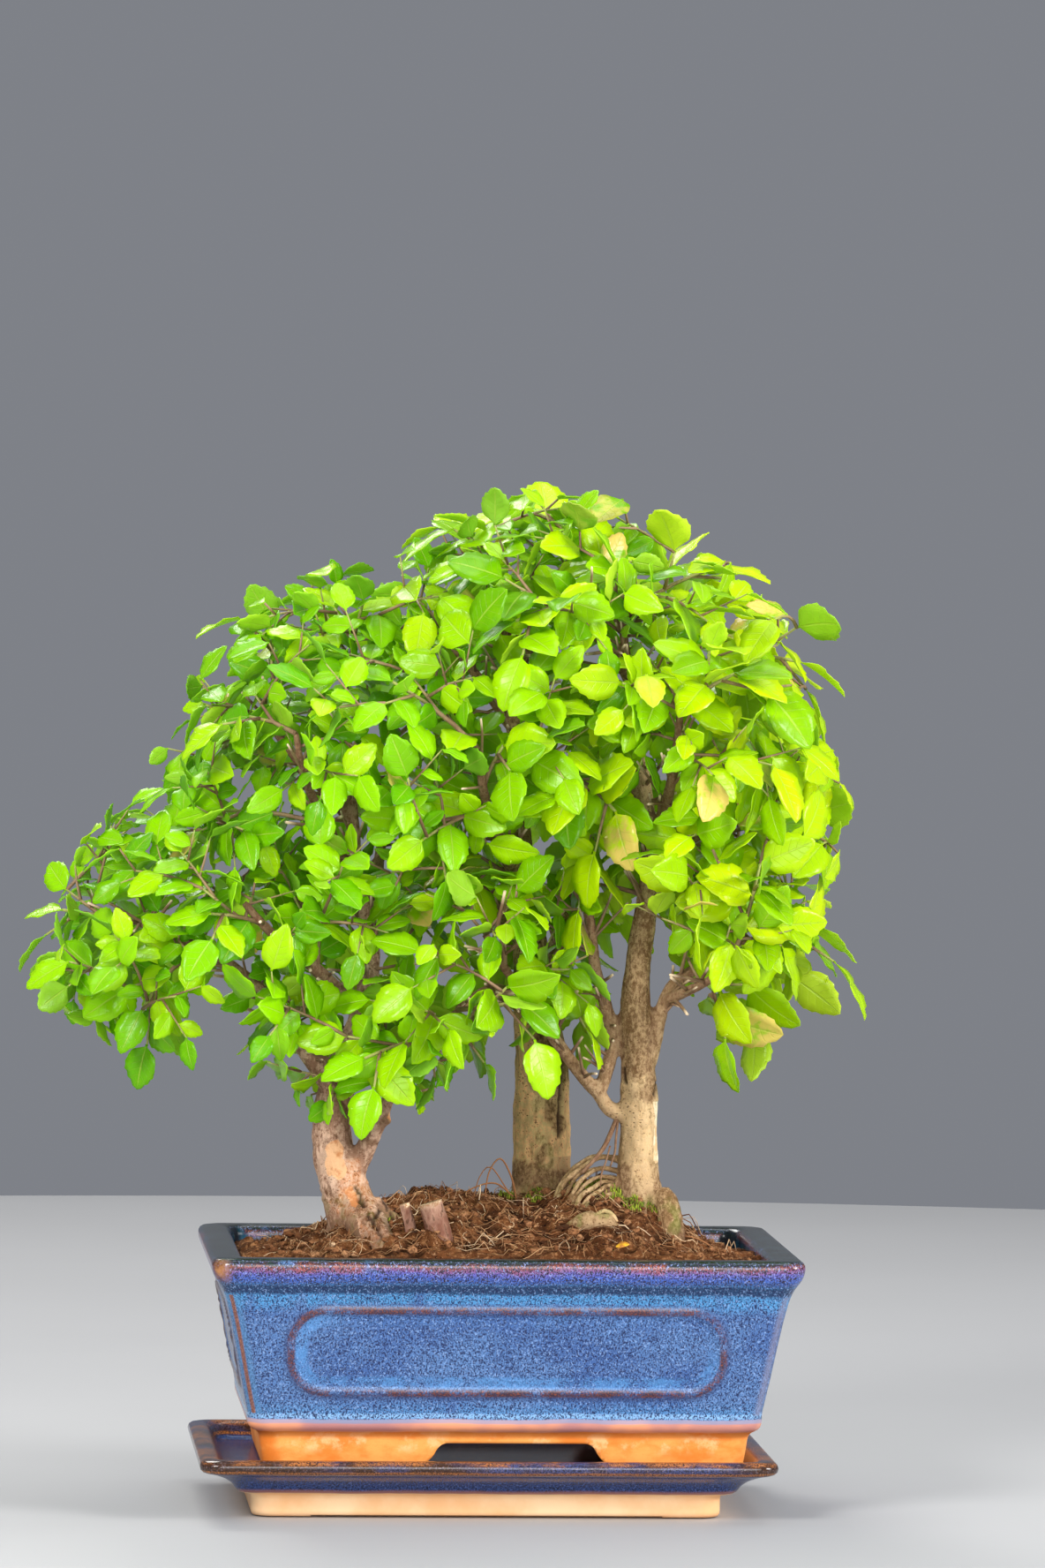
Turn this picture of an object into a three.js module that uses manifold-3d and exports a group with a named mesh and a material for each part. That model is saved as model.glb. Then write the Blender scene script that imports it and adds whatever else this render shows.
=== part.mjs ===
// A forest bonsai: three small leaved trees in a glazed pot that stands in its tray.
// Millimetres, +Z up, +X to the right and +Y to the back.
// The origin is the centre of the tray's underside.

import * as THREE from "three";
import { mergeVertices } from "three/addons/utils/BufferGeometryUtils.js";
import Module from "manifold-3d";

const wasm = await Module();
wasm.setup();

// Tray
const TRAY_HALF_X = 127;
const TRAY_HALF_Y = 89;
const TRAY_TOP = 27;
const TRAY_FLOOR = 19;
const TRAY_LIP_WIDTH = 9.4;
const TRAY_INNER_HALF_X = 112.8;
const TRAY_FOOT_HALF_X = 103.5;
const TRAY_FOOT_HEIGHT = 10.5;
const TRAY_CORNER = 9;
const TRAY_RELIEF_HEIGHT = 1.2;
const TRAY_RELIEF_DEPTH = 7;
const TRAY_PAD_LENGTH = 26;

// Pot
const POT_X = 7;
const POT_HALF_X = 130;
const POT_HALF_Y = 96.5;
const POT_TOP = 116;
const POT_RIM_WIDTH = 14.3;
const POT_FLOOR_UNDER = 38;
const POT_FLOOR_TOP = 45;
const POT_CORNER = 9;
const FOOT_WALL = 8;
const ARCH_HALF_X = 30;
const ARCH_SPRING_HALF_X = 38;
const ARCH_TOP = 34;
const ARCH_CENTRE_X = 12;
const DRAIN_RADIUS = 9;
const DRAIN_X = 52;
const PANEL_HALF_X = 96.5;
const PANEL_HALF_Z = 20;
const PANEL_CENTRE_Z = 75;
const PANEL_CORNER = 17;
const BEAD_WIDTH = 3.6;
const BEAD_HEIGHT = 1.1;
const BEAD_SUNK = 2.4;

// Drain screens
const SCREEN_HALF = 14;
const SCREEN_THICKNESS = 1.2;
const SCREEN_BAR = 1.4;
const SCREEN_CELLS = 2;

// Clearances
const GAP = 0.35;
const SOIL_HOLE_GAP = 0.45;

// Soil
const SOIL_EDGE_Z = 109;
const SOIL_CELLS_X = 12;
const SOIL_CELLS_Y = 8;
const SOIL_ROUGHNESS = 1.0;
const SOIL_SEED = 77;
const SOIL_UNDER_RIM = 3;
const SOIL_MOUNDS = [
  { x: -40, y: -6, height: 18, spreadX: 32, spreadY: 40 },
  { x: 15, y: 8, height: 21, spreadX: 40, spreadY: 42 },
  { x: 62, y: -6, height: 24, spreadX: 22, spreadY: 34 },
];
const SOIL_FRONT_RISE = 3.5;

// Crown: rounded masses of foliage, each with a centre and three radii
const CROWN = [
  { x: -125, y: -5, z: 256, rx: 76, ry: 92, rz: 60, tree: 0 },
  { x: -59, y: 0, z: 332, rx: 76, ry: 110, rz: 88, tree: 0 },
  { x: 27, y: 5, z: 368, rx: 76, ry: 112, rz: 86, tree: 1 },
  { x: 92, y: -5, z: 330, rx: 68, ry: 105, rz: 106, tree: 2 },
  { x: 117, y: 0, z: 258, rx: 38, ry: 62, rz: 48, tree: 2 },
  { x: -11, y: -20, z: 246, rx: 60, ry: 92, rz: 46, tree: 1 },
  { x: -50, y: -34, z: 206, rx: 42, ry: 62, rz: 34, tree: 0 },
];
const CROWN_DIRECTIONS = 90;
const CROWN_HIDDEN = 0.97;
const STEEPEST_DOWN = -0.8;
const ANCHOR_SCALE = 0.84;
const SPRAY_COUNT = 48;
const LOWEST_ANCHOR = 172;
const SPRAY_SEED = 5200;

// Leaves
const LEAF_THICKNESS = 0.7;
const LEAF_LENGTHS = [21, 25, 27];
const LEAF_WIDTH_RATIO = 0.7;
const LEAF_FOLD = 0.22;
const LEAF_CURL = 0.16;
const LEAF_WAVE = 0.035;
const LEAF_CLEARANCE = 1.7;
const LEAF_SPACING = 11;
const LEAF_ROWS = [0.16, 0.46, 0.8];
const LEAF_TRIES = 7;
const LEAF_TO_LIMB = 4;
const LEAF_TO_STEM = 1.1;
const STEM_RADIUS = 1.15;
const STEM_PARTS = 3;
const STEM_SPACING = 8;
const STEM_LEAVES = 4;
const STEM_TEST_STEP = 2.5;
const STEM_TO_LIMB = 2.2;
const STEM_TO_STEM = 2.4;
const STEM_FREE_LENGTH = 9;
const SHORTEST_STEM = 20;
const TWIG_RADIUS = 0.85;
const TWIG_ROOT_RADIUS = 0.75;
const TWIG_COUNT = 2;
const TWIG_FREE_LENGTH = 4;
const TWIG_LEAVES = 2;
const TWIG_SHORTEST = 17;
const TWIG_LONGEST = 25;
const TWIG_PLACES = [{ share: 0.5, turn: 0.6 }, { share: 0.78, turn: 2.9 }, { share: 0.6, turn: 4.9 }];
const ROOT_HALF_WIDTH = 0.5;
const ROOT_HALF_THICKNESS = 0.32;
const PLACE_MARGIN = 1.8;
const LOWEST_SHARE = 0.12;
const FACE_MARGIN = 0.06;

// The limbs of each tree, from its foot outwards, as x, y, z and radius
const TREES = [
  {
    name: "left",
    colour: 0x9a7f6a,
    limbs: [
      [[-50, -19, 100, 13.5], [-53, -20, 115, 13.4], [-57, -20, 126, 12.4], [-62, -20, 142, 10.7],
        [-67, -19, 157, 9.3], [-68, -18, 171, 8.6], [-66, -16, 184, 8.2], [-62, -13, 197, 7.2],
        [-56, -9, 212, 5.8], [-52, -5, 229, 5.0], [-51, 0, 252, 4.4], [-57, 3, 276, 3.8],
        [-59, 5, 303, 3.1], [-61, 5, 331, 2.4], [-63, 5, 360, 1.7]],
      [[-65, -16, 182, 5.4], [-77, -24, 199, 4.8], [-93, -30, 220, 3.8], [-111, -30, 238, 3.0],
        [-132, -25, 250, 2.4], [-154, -16, 258, 1.8]],
      [[-60, -20, 146, 6.0], [-52, -26, 162, 4.4], [-47, -30, 173, 3.4], [-42, -34, 186, 2.8],
        [-33, -46, 203, 2.3], [-24, -60, 219, 1.8]],
      [[-48, -29, 170, 2.6], [-43, -33, 173, 1.9]],
      [[-51, -27, 164, 2.0], [-63, -32, 183, 1.8], [-70, -36, 199, 1.6]],
      [[-52, -5, 233, 4.0], [-73, 25, 257, 3.2], [-96, 52, 277, 2.5], [-112, 66, 290, 1.8]],
      [[-54, -8, 217, 4.2], [-76, -45, 239, 3.2], [-97, -66, 256, 2.4], [-110, -72, 270, 1.8]],
      [[-51, 0, 252, 3.6], [-46, 36, 278, 2.8], [-42, 66, 303, 2.2], [-46, 78, 326, 1.7]],
      [[-57, 2, 276, 3.2], [-73, -34, 303, 2.6], [-84, -58, 326, 2.0], [-88, -66, 344, 1.6]],
      [[-59, 5, 303, 2.8], [-82, 10, 328, 2.2], [-98, 14, 348, 1.7]],
    ],
  },
  {
    name: "middle",
    colour: 0x8b7a58,
    limbs: [
      [[30, 15, 108, 14.5], [29, 15, 130, 14.2], [28, 15, 146, 13.4], [28, 15, 173, 12.7],
        [27, 15, 197, 12.0], [24, 15, 225, 9.6], [21, 15, 256, 7.4], [17, 15, 292, 5.6],
        [15, 15, 327, 4.2], [11, 12, 363, 2.9], [8, 10, 392, 1.9]],
      [[24, 15, 225, 6.0], [38, 46, 252, 4.2], [46, 66, 276, 3.0], [50, 76, 300, 2.0]],
      [[22, 15, 248, 4.8], [1, 14, 270, 3.4], [-13, 8, 292, 2.5], [-20, 2, 316, 1.8]],
      [[20, 15, 272, 4.6], [6, -28, 294, 3.4], [-4, -56, 316, 2.4], [-8, -70, 338, 1.8]],
      [[17, 15, 300, 4.2], [4, 46, 320, 3.0], [-5, 70, 342, 2.2], [-8, 78, 362, 1.7]],
      [[13, 14, 345, 3.2], [-4, 17, 369, 2.4], [-18, 18, 386, 1.8]],
      [[11, 12, 363, 2.6], [24, 42, 384, 2.1], [32, 58, 398, 1.6]],
      [[25, 15, 217, 5.0], [6, -14, 229, 3.4], [-8, -52, 228, 2.4], [-16, -72, 224, 1.8]],
    ],
  },
  {
    name: "right",
    colour: 0xb39a78,
    limbs: [
      [[70, -15, 106, 13.0], [70, -15, 128, 12.4], [69, -15, 140, 10.2], [69, -15, 164, 8.2],
        [69, -15, 183, 8.4], [68, -15, 203, 7.3], [67, -15, 223, 6.8], [68, -14, 242, 6.1],
        [71, -12, 264, 5.1], [73, -10, 285, 4.5], [71, -8, 313, 3.9], [67, -5, 340, 3.3],
        [63, -3, 368, 2.6], [60, 0, 394, 1.8]],
      [[68, -15, 174, 5.0], [56, -16, 177, 3.6], [51, -17, 184, 3.3], [44, -19, 191, 3.1],
        [33, -25, 205, 3.0], [21, -35, 221, 2.6], [6, -56, 241, 2.1], [-4, -68, 257, 1.7]],
      [[51, -17, 184, 3.2], [54, -16, 193, 3.1], [57, -14, 208, 3.1], [53, -12, 226, 2.9],
        [49, -10, 240, 2.7], [47, -8, 258, 2.5], [43, -12, 277, 2.2], [42, -22, 301, 1.9],
        [38, -40, 324, 1.6]],
      [[70, -15, 190, 4.6], [75, -15, 204, 3.5], [80, -12, 225, 3.1], [87, -10, 235, 2.8],
        [103, -5, 243, 2.2], [120, 4, 252, 1.7]],
      [[71, -12, 264, 4.0], [87, 22, 284, 3.1], [102, 46, 302, 2.4], [110, 58, 322, 1.8]],
      [[72, -10, 293, 3.6], [77, -42, 314, 2.8], [79, -64, 336, 2.2], [80, -74, 356, 1.7]],
      [[71, -8, 313, 3.4], [62, 24, 331, 2.7], [60, 52, 352, 2.1], [62, 68, 370, 1.6]],
      [[67, -5, 340, 2.9], [85, -6, 362, 2.3], [100, -4, 378, 1.7]],
      [[63, -3, 368, 2.4], [48, -34, 388, 2.0], [40, -50, 402, 1.6]],
      [[80, -12, 225, 2.8], [92, -38, 233, 2.2], [103, -58, 241, 1.7]],
    ],
  },
];
const TRUNK_SIDES = 8;
const BRANCH_SIDES = 4;
const ROOT_SIDES = 4;
const STUMP_SIDES = 7;
const LIMB_STEP = 7;

// Exposed roots between the middle and the right trunk: where each leaves the right
// trunk, its highest point and where it dives into the soil, as x, y and z
const ROOT_RADIUS = 1.25;
const ROOT_COUNT = 9;
const ROOT_SEED = 900;
const ROOTED_TREE = "right";
const ROOT_START = { x: 62, y: -17, zLow: 134, zHigh: 159 };
const ROOT_CREST = { xNear: 55, xFar: 42, zLow: 139, zHigh: 157 };
const ROOT_FOOT = { xNear: 53, xFar: 31, y: -34, depth: 6 };

// Cut stumps: foot, top and radii
const STUMPS = [
  { name: "stump_large", points: [[-19, -55, 108, 6.6], [-21, -55, 122, 6.4], [-26, -55, 138, 6.0]] },
  { name: "stump_small", points: [[-33, -49, 112, 4.0], [-34, -49, 126, 3.6], [-37, -49, 137, 3.2]] },
];

// Colours
const GLAZE = 0x3f5fa8;
const TRAY_GLAZE = 0x24344f;
const SOIL_COLOUR = 0x6b4a30;
const SCREEN_COLOUR = 0x2b2b2b;
const STUMP_COLOUR = 0x8f7a66;
const LEAF_COLOURS = [0x69b51e, 0x7cc41c, 0x9ad416];

// Repeatable random numbers from 0 to 1
function randomStream(seed) {
  let state = seed >>> 0;
  return () => {
    state = (Math.imul(state, 1664525) + 1013904223) >>> 0;
    return state / 4294967296;
  };
}

function vector(x, y, z) {
  return new THREE.Vector3(x, y, z);
}

function between(low, high, share) {
  return low + (high - low) * share;
}

// A closed solid from an indexed or plain geometry
function solid(geometry) {
  geometry.deleteAttribute("normal");
  geometry.deleteAttribute("uv");
  const merged = mergeVertices(geometry, 1e-4);
  return new wasm.Manifold(new wasm.Mesh({
    numProp: 3,
    vertProperties: new Float32Array(merged.attributes.position.array),
    triVerts: new Uint32Array(merged.index.array),
  }));
}

// A solid through a stack of rings with the same number of points, closed at both ends
function loft(rings) {
  const count = rings[0].length;
  const positions = rings.flat().flatMap((point) => [point.x, point.y, point.z]);
  const triangles = [];
  for (let level = 0; level + 1 < rings.length; level += 1) {
    for (let side = 0; side < count; side += 1) {
      const next = (side + 1) % count;
      const low = level * count;
      const high = low + count;
      triangles.push(low + side, low + next, high + next);
      triangles.push(low + side, high + next, high + side);
    }
  }
  const last = (rings.length - 1) * count;
  for (let side = 1; side + 1 < count; side += 1) {
    triangles.push(0, side + 1, side);
    triangles.push(last, last + side, last + side + 1);
  }
  const geometry = new THREE.BufferGeometry();
  geometry.setAttribute("position", new THREE.Float32BufferAttribute(positions, 3));
  geometry.setIndex(triangles);
  return solid(geometry);
}

// A level rectangle with rounded corners, as points that go round it from above
function roundedRing(halfX, halfY, corner, z, centreX = 0) {
  const steps = 2;
  const ring = [];
  for (let quarter = 0; quarter < 4; quarter += 1) {
    const signX = quarter === 0 || quarter === 3 ? 1 : -1;
    const signY = quarter < 2 ? 1 : -1;
    for (let step = 0; step <= steps; step += 1) {
      const angle = (quarter + step / steps) * Math.PI / 2;
      ring.push(vector(
        centreX + signX * (halfX - corner) + corner * Math.cos(angle),
        signY * (halfY - corner) + corner * Math.sin(angle),
        z,
      ));
    }
  }
  return ring;
}

// A stack of rounded rectangles from a profile of half lengths and heights
function stack(profile, corner, inset, centreX) {
  return loft(profile.map(([halfX, z]) => roundedRing(halfX, halfX - inset, corner, z, centreX)));
}

function boxSolid(minX, maxX, minY, maxY, minZ, maxZ) {
  const geometry = new THREE.BoxGeometry(maxX - minX, maxY - minY, maxZ - minZ);
  geometry.translate((minX + maxX) / 2, (minY + maxY) / 2, (minZ + maxZ) / 2);
  return solid(geometry);
}

function tray() {
  const inset = TRAY_HALF_X - TRAY_HALF_Y;
  const outer = stack([
    [TRAY_FOOT_HALF_X - 1.2, 0],
    [TRAY_FOOT_HALF_X, 1.5],
    [TRAY_FOOT_HALF_X, TRAY_FOOT_HEIGHT],
    [TRAY_FOOT_HALF_X + 6.5, TRAY_FOOT_HEIGHT + 0.6],
    [TRAY_FOOT_HALF_X + 7.7, 14.2],
    [TRAY_FOOT_HALF_X + 11.2, 17.2],
    [TRAY_FOOT_HALF_X + 16.5, 19.8],
    [TRAY_HALF_X - 1, 21.4],
    [TRAY_HALF_X, 22.8],
    [TRAY_HALF_X, 25.6],
    [TRAY_HALF_X - 1.4, TRAY_TOP],
  ], TRAY_CORNER, inset, 0);
  const hollow = stack([
    [TRAY_INNER_HALF_X, TRAY_FLOOR],
    [TRAY_HALF_X - TRAY_LIP_WIDTH - 0.4, TRAY_TOP - 1.2],
    [TRAY_HALF_X - TRAY_LIP_WIDTH + 0.8, TRAY_TOP + 1],
  ], TRAY_CORNER - 3, inset, 0);
  let body = outer.subtract(hollow);
  const footHalfY = TRAY_FOOT_HALF_X - inset;
  for (const side of [-1, 1]) {
    const edgeY = side * footHalfY;
    const edgeX = side * TRAY_FOOT_HALF_X;
    const reliefX = TRAY_FOOT_HALF_X - TRAY_PAD_LENGTH;
    const reliefY = footHalfY - TRAY_PAD_LENGTH;
    body = body.subtract(boxSolid(
      -reliefX, reliefX,
      Math.min(edgeY, edgeY - side * TRAY_RELIEF_DEPTH) - 1, Math.max(edgeY, edgeY - side * TRAY_RELIEF_DEPTH) + 1,
      -1, TRAY_RELIEF_HEIGHT,
    ));
    body = body.subtract(boxSolid(
      Math.min(edgeX, edgeX - side * TRAY_RELIEF_DEPTH) - 1, Math.max(edgeX, edgeX - side * TRAY_RELIEF_DEPTH) + 1,
      -reliefY, reliefY,
      -1, TRAY_RELIEF_HEIGHT,
    ));
  }
  return body;
}

// The outer wall of the pot, as half length and height
const POT_PROFILE = [
  [105, TRAY_FLOOR],
  [107.6, 36.6],
  [108.6, 38.4],
  [112.8, 41],
  [113.2, 47.5],
  [119.2, 78],
  [123.6, 98],
  [126.2, 104],
  [POT_HALF_X - 0.6, 109.5],
  [POT_HALF_X, 112.8],
  [POT_HALF_X - 1.4, POT_TOP],
];
const POT_CAVITY = [
  [103.5, POT_FLOOR_TOP],
  [106.5, 62],
  [113.5, 98],
  [POT_HALF_X - POT_RIM_WIDTH, 108],
  [POT_HALF_X - POT_RIM_WIDTH, POT_TOP + 2],
];
const POT_INSET = POT_HALF_X - POT_HALF_Y;

// Half length of a stack's wall at a height
function profileAt(profile, z) {
  for (let level = 0; level + 1 < profile.length; level += 1) {
    const [lowHalf, lowZ] = profile[level];
    const [highHalf, highZ] = profile[level + 1];
    if (z <= highZ) {
      return between(lowHalf, highHalf, (z - lowZ) / (highZ - lowZ));
    }
  }
  return profile[profile.length - 1][0];
}

// The outline of a panel as a shape: a long rectangle with round corners
function panelOutline(target, halfLength, halfHeight, corner) {
  target.moveTo(halfLength, corner - halfHeight);
  target.lineTo(halfLength, halfHeight - corner);
  target.absarc(halfLength - corner, halfHeight - corner, corner, 0, Math.PI / 2, false);
  target.absarc(corner - halfLength, halfHeight - corner, corner, Math.PI / 2, Math.PI, false);
  target.absarc(corner - halfLength, corner - halfHeight, corner, Math.PI, 1.5 * Math.PI, false);
  target.absarc(halfLength - corner, corner - halfHeight, corner, 1.5 * Math.PI, 2 * Math.PI, false);
  return target;
}

// A raised line round a panel, lying on one sloping wall of the pot
function panelBead(halfLength, wallHalf, turn) {
  const shape = panelOutline(new THREE.Shape(), halfLength, PANEL_HALF_Z, PANEL_CORNER);
  const hole = panelOutline(
    new THREE.Path(), halfLength - BEAD_WIDTH, PANEL_HALF_Z - BEAD_WIDTH, PANEL_CORNER - BEAD_WIDTH,
  );
  shape.holes.push(hole);
  const geometry = new THREE.ExtrudeGeometry(shape, {
    depth: BEAD_SUNK + BEAD_HEIGHT,
    bevelEnabled: false,
    curveSegments: 2,
  });
  const bottom = profileAt(POT_PROFILE, PANEL_CENTRE_Z - PANEL_HALF_Z);
  const top = profileAt(POT_PROFILE, PANEL_CENTRE_Z + PANEL_HALF_Z);
  const lean = Math.atan2(top - bottom, 2 * PANEL_HALF_Z);
  const outward = (bottom + top) / 2 - POT_HALF_X + wallHalf;
  geometry.translate(0, 0, -BEAD_SUNK);
  geometry.rotateX(Math.PI / 2 + lean);
  geometry.translate(0, -outward, PANEL_CENTRE_Z);
  geometry.rotateZ(turn);
  geometry.translate(POT_X, 0, 0);
  return solid(geometry);
}

// The bracket-shaped opening in the long sides of the pot's foot
function footArch() {
  const shape = new THREE.Shape();
  shape.moveTo(-ARCH_SPRING_HALF_X - 16, TRAY_FLOOR - 1);
  shape.lineTo(ARCH_SPRING_HALF_X + 16, TRAY_FLOOR - 1);
  shape.quadraticCurveTo(ARCH_SPRING_HALF_X + 2, TRAY_FLOOR + 4, ARCH_SPRING_HALF_X - 2, ARCH_TOP - 5);
  shape.quadraticCurveTo(ARCH_SPRING_HALF_X - 4, ARCH_TOP, ARCH_HALF_X, ARCH_TOP);
  shape.lineTo(-ARCH_HALF_X, ARCH_TOP);
  shape.quadraticCurveTo(4 - ARCH_SPRING_HALF_X, ARCH_TOP, 2 - ARCH_SPRING_HALF_X, ARCH_TOP - 5);
  shape.quadraticCurveTo(-2 - ARCH_SPRING_HALF_X, TRAY_FLOOR + 4, -ARCH_SPRING_HALF_X - 16, TRAY_FLOOR - 1);
  const geometry = new THREE.ExtrudeGeometry(shape, {
    depth: 2 * POT_HALF_Y,
    bevelEnabled: false,
    curveSegments: 3,
  });
  geometry.rotateX(Math.PI / 2);
  geometry.translate(ARCH_CENTRE_X, POT_HALF_Y, 0);
  return solid(geometry);
}

function pot() {
  let body = stack(POT_PROFILE, POT_CORNER, POT_INSET, POT_X);
  const longFaceHalf = POT_HALF_Y;
  const shortFaceHalf = POT_HALF_X;
  for (const turn of [0, Math.PI]) {
    body = body.add(panelBead(PANEL_HALF_X, longFaceHalf, turn));
    body = body.add(panelBead(PANEL_HALF_X - POT_INSET, shortFaceHalf, turn + Math.PI / 2));
  }
  body = body.subtract(stack(POT_CAVITY, POT_CORNER - 2, POT_INSET, POT_X));
  body = body.subtract(stack([
    [POT_PROFILE[0][0] - FOOT_WALL, TRAY_FLOOR - 1],
    [POT_PROFILE[1][0] - FOOT_WALL - 3, POT_FLOOR_UNDER],
  ], POT_CORNER - 4, POT_INSET, POT_X));
  body = body.subtract(footArch());
  for (const side of [-1, 1]) {
    const drain = new THREE.CylinderGeometry(DRAIN_RADIUS, DRAIN_RADIUS, 20, 10);
    drain.rotateX(Math.PI / 2);
    drain.translate(POT_X + side * DRAIN_X, 0, POT_FLOOR_TOP - 4);
    body = body.subtract(solid(drain));
  }
  return body;
}

// A small lattice that keeps the soil out of a drain hole
function drainScreen(side) {
  const bottom = POT_FLOOR_TOP + GAP;
  const centreX = POT_X + side * DRAIN_X;
  const pitch = (2 * SCREEN_HALF - SCREEN_BAR) / SCREEN_CELLS;
  let body = boxSolid(
    centreX - SCREEN_HALF, centreX + SCREEN_HALF, -SCREEN_HALF, SCREEN_HALF,
    bottom, bottom + SCREEN_THICKNESS,
  );
  for (let row = 0; row < SCREEN_CELLS; row += 1) {
    for (let column = 0; column < SCREEN_CELLS; column += 1) {
      const x = centreX - SCREEN_HALF + SCREEN_BAR + column * pitch;
      const y = -SCREEN_HALF + SCREEN_BAR + row * pitch;
      const size = pitch - SCREEN_BAR;
      body = body.subtract(boxSolid(x, x + size, y, y + size, bottom - 1, bottom + SCREEN_THICKNESS + 1));
    }
  }
  return body;
}

// Height of the soil's surface
function soilHeight(x, y) {
  let height = SOIL_EDGE_Z - SOIL_FRONT_RISE * y / POT_HALF_Y;
  for (const mound of SOIL_MOUNDS) {
    const alongX = (x - mound.x) / mound.spreadX;
    const alongY = (y - mound.y) / mound.spreadY;
    height += mound.height * Math.exp(-(alongX * alongX + alongY * alongY) / 2);
  }
  return height;
}

// The soil: a rough mound that fills the pot, with holes for all that stands in it
function soil(planted) {
  const draw = randomStream(SOIL_SEED);
  const halfY = POT_HALF_Y - POT_RIM_WIDTH + SOIL_UNDER_RIM;
  const halfX = POT_HALF_X - POT_RIM_WIDTH + SOIL_UNDER_RIM;
  const columns = SOIL_CELLS_X + 1;
  const rows = SOIL_CELLS_Y + 1;
  const positions = [];
  const triangles = [];
  for (let row = 0; row < rows; row += 1) {
    for (let column = 0; column < columns; column += 1) {
      const x = POT_X + halfX * (2 * column / SOIL_CELLS_X - 1);
      const y = halfY * (2 * row / SOIL_CELLS_Y - 1);
      positions.push(x, y, soilHeight(x, y) + SOIL_ROUGHNESS * (2 * draw() - 1));
    }
  }
  for (let row = 0; row + 1 < rows; row += 1) {
    for (let column = 0; column + 1 < columns; column += 1) {
      const corner = row * columns + column;
      triangles.push(corner, corner + 1, corner + columns + 1);
      triangles.push(corner, corner + columns + 1, corner + columns);
    }
  }
  const edge = [];
  for (let column = 0; column < columns - 1; column += 1) edge.push(column);
  for (let row = 0; row < rows - 1; row += 1) edge.push(row * columns + columns - 1);
  for (let column = columns - 1; column > 0; column -= 1) edge.push((rows - 1) * columns + column);
  for (let row = rows - 1; row > 0; row -= 1) edge.push(row * columns);
  const base = positions.length / 3;
  for (const index of edge) {
    positions.push(positions[3 * index], positions[3 * index + 1], POT_FLOOR_TOP - 4);
  }
  for (let side = 0; side < edge.length; side += 1) {
    const next = (side + 1) % edge.length;
    triangles.push(edge[side], base + side, base + next);
    triangles.push(edge[side], base + next, edge[next]);
    if (side > 0 && next > 0) triangles.push(base, base + next, base + side);
  }
  const geometry = new THREE.BufferGeometry();
  geometry.setAttribute("position", new THREE.Float32BufferAttribute(positions, 3));
  geometry.setIndex(triangles);
  const room = POT_CAVITY.map(([halfLength, z]) => [halfLength - GAP, z]);
  room[0][1] += GAP;
  room[room.length - 1][1] += 40;
  let body = solid(geometry).intersect(stack(room, POT_CORNER - 2, POT_INSET, POT_X));
  for (const side of [-1, 1]) {
    const x = POT_X + side * DRAIN_X;
    const reach = SCREEN_HALF + 2 * GAP;
    body = body.subtract(boxSolid(
      x - reach, x + reach, -reach, reach,
      POT_FLOOR_TOP - 1, POT_FLOOR_TOP + SCREEN_THICKNESS + 2 * GAP,
    ));
  }
  for (const piece of planted) body = body.subtract(piece);
  return body;
}

// A tapering limb through points of x, y, z and radius; grown makes it thicker all over
function limbSolid(points, sides, grown = 0) {
  const centres = points.map(([x, y, z]) => vector(x, y, z));
  const extra = grown / Math.cos(Math.PI / sides);
  const rings = [];
  let across = null;
  for (let index = 0; index < points.length; index += 1) {
    const before = centres[Math.max(index - 1, 0)];
    const after = centres[Math.min(index + 1, points.length - 1)];
    const along = after.clone().sub(before).normalize();
    const guide = across ?? (Math.abs(along.x) < 0.8 ? vector(1, 0, 0) : vector(0, 1, 0));
    across = guide.clone().addScaledVector(along, -guide.dot(along)).normalize();
    const third = along.clone().cross(across);
    const end = index === 0 ? -grown : index === points.length - 1 ? grown : 0;
    const centre = centres[index].clone().addScaledVector(along, end);
    const radius = points[index][3] + extra;
    const ring = [];
    for (let side = 0; side < sides; side += 1) {
      const angle = 2 * Math.PI * side / sides;
      ring.push(centre.clone()
        .addScaledVector(across, radius * Math.cos(angle))
        .addScaledVector(third, radius * Math.sin(angle)));
    }
    rings.push(ring);
  }
  return loft(rings);
}

// One of the thin roots that arch from the right trunk down to the soil
function rootPoints(index) {
  const draw = randomStream(ROOT_SEED + index);
  const share = index / (ROOT_COUNT - 1);
  const sway = 5 * (draw() - 0.5);
  const startZ = between(ROOT_START.zLow, ROOT_START.zHigh, share);
  const crestX = between(ROOT_CREST.xNear, ROOT_CREST.xFar, share);
  const crestZ = between(ROOT_CREST.zLow, ROOT_CREST.zHigh, share);
  const footX = between(ROOT_FOOT.xNear, ROOT_FOOT.xFar, share);
  const footY = ROOT_FOOT.y + 22 * share + sway;
  const footZ = soilHeight(footX, footY) - ROOT_FOOT.depth;
  const startY = ROOT_START.y + 6 * (share - 0.5);
  const crestY = (startY + footY) / 2 + sway / 2;
  return [
    [ROOT_START.x + 2, startY, startZ - 3, ROOT_RADIUS],
    [(ROOT_START.x + crestX) / 2, (startY + crestY) / 2, (startZ + crestZ) / 2 + 1, ROOT_RADIUS],
    [crestX, crestY, crestZ, ROOT_RADIUS],
    [between(crestX, footX, 0.6), between(crestY, footY, 0.6), between(crestZ, footZ, 0.4), ROOT_RADIUS],
    [footX, footY, footZ, ROOT_RADIUS],
  ];
}

function treeSolid(tree, grown = 0) {
  let body = null;
  tree.limbs.forEach((points, index) => {
    const limb = limbSolid(points, index === 0 ? TRUNK_SIDES : BRANCH_SIDES, grown);
    body = body ? body.add(limb) : limb;
  });
  if (tree.name === ROOTED_TREE) {
    for (let index = 0; index < ROOT_COUNT; index += 1) {
      body = body.add(limbSolid(rootPoints(index), ROOT_SIDES, grown));
    }
  }
  return body;
}

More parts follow.
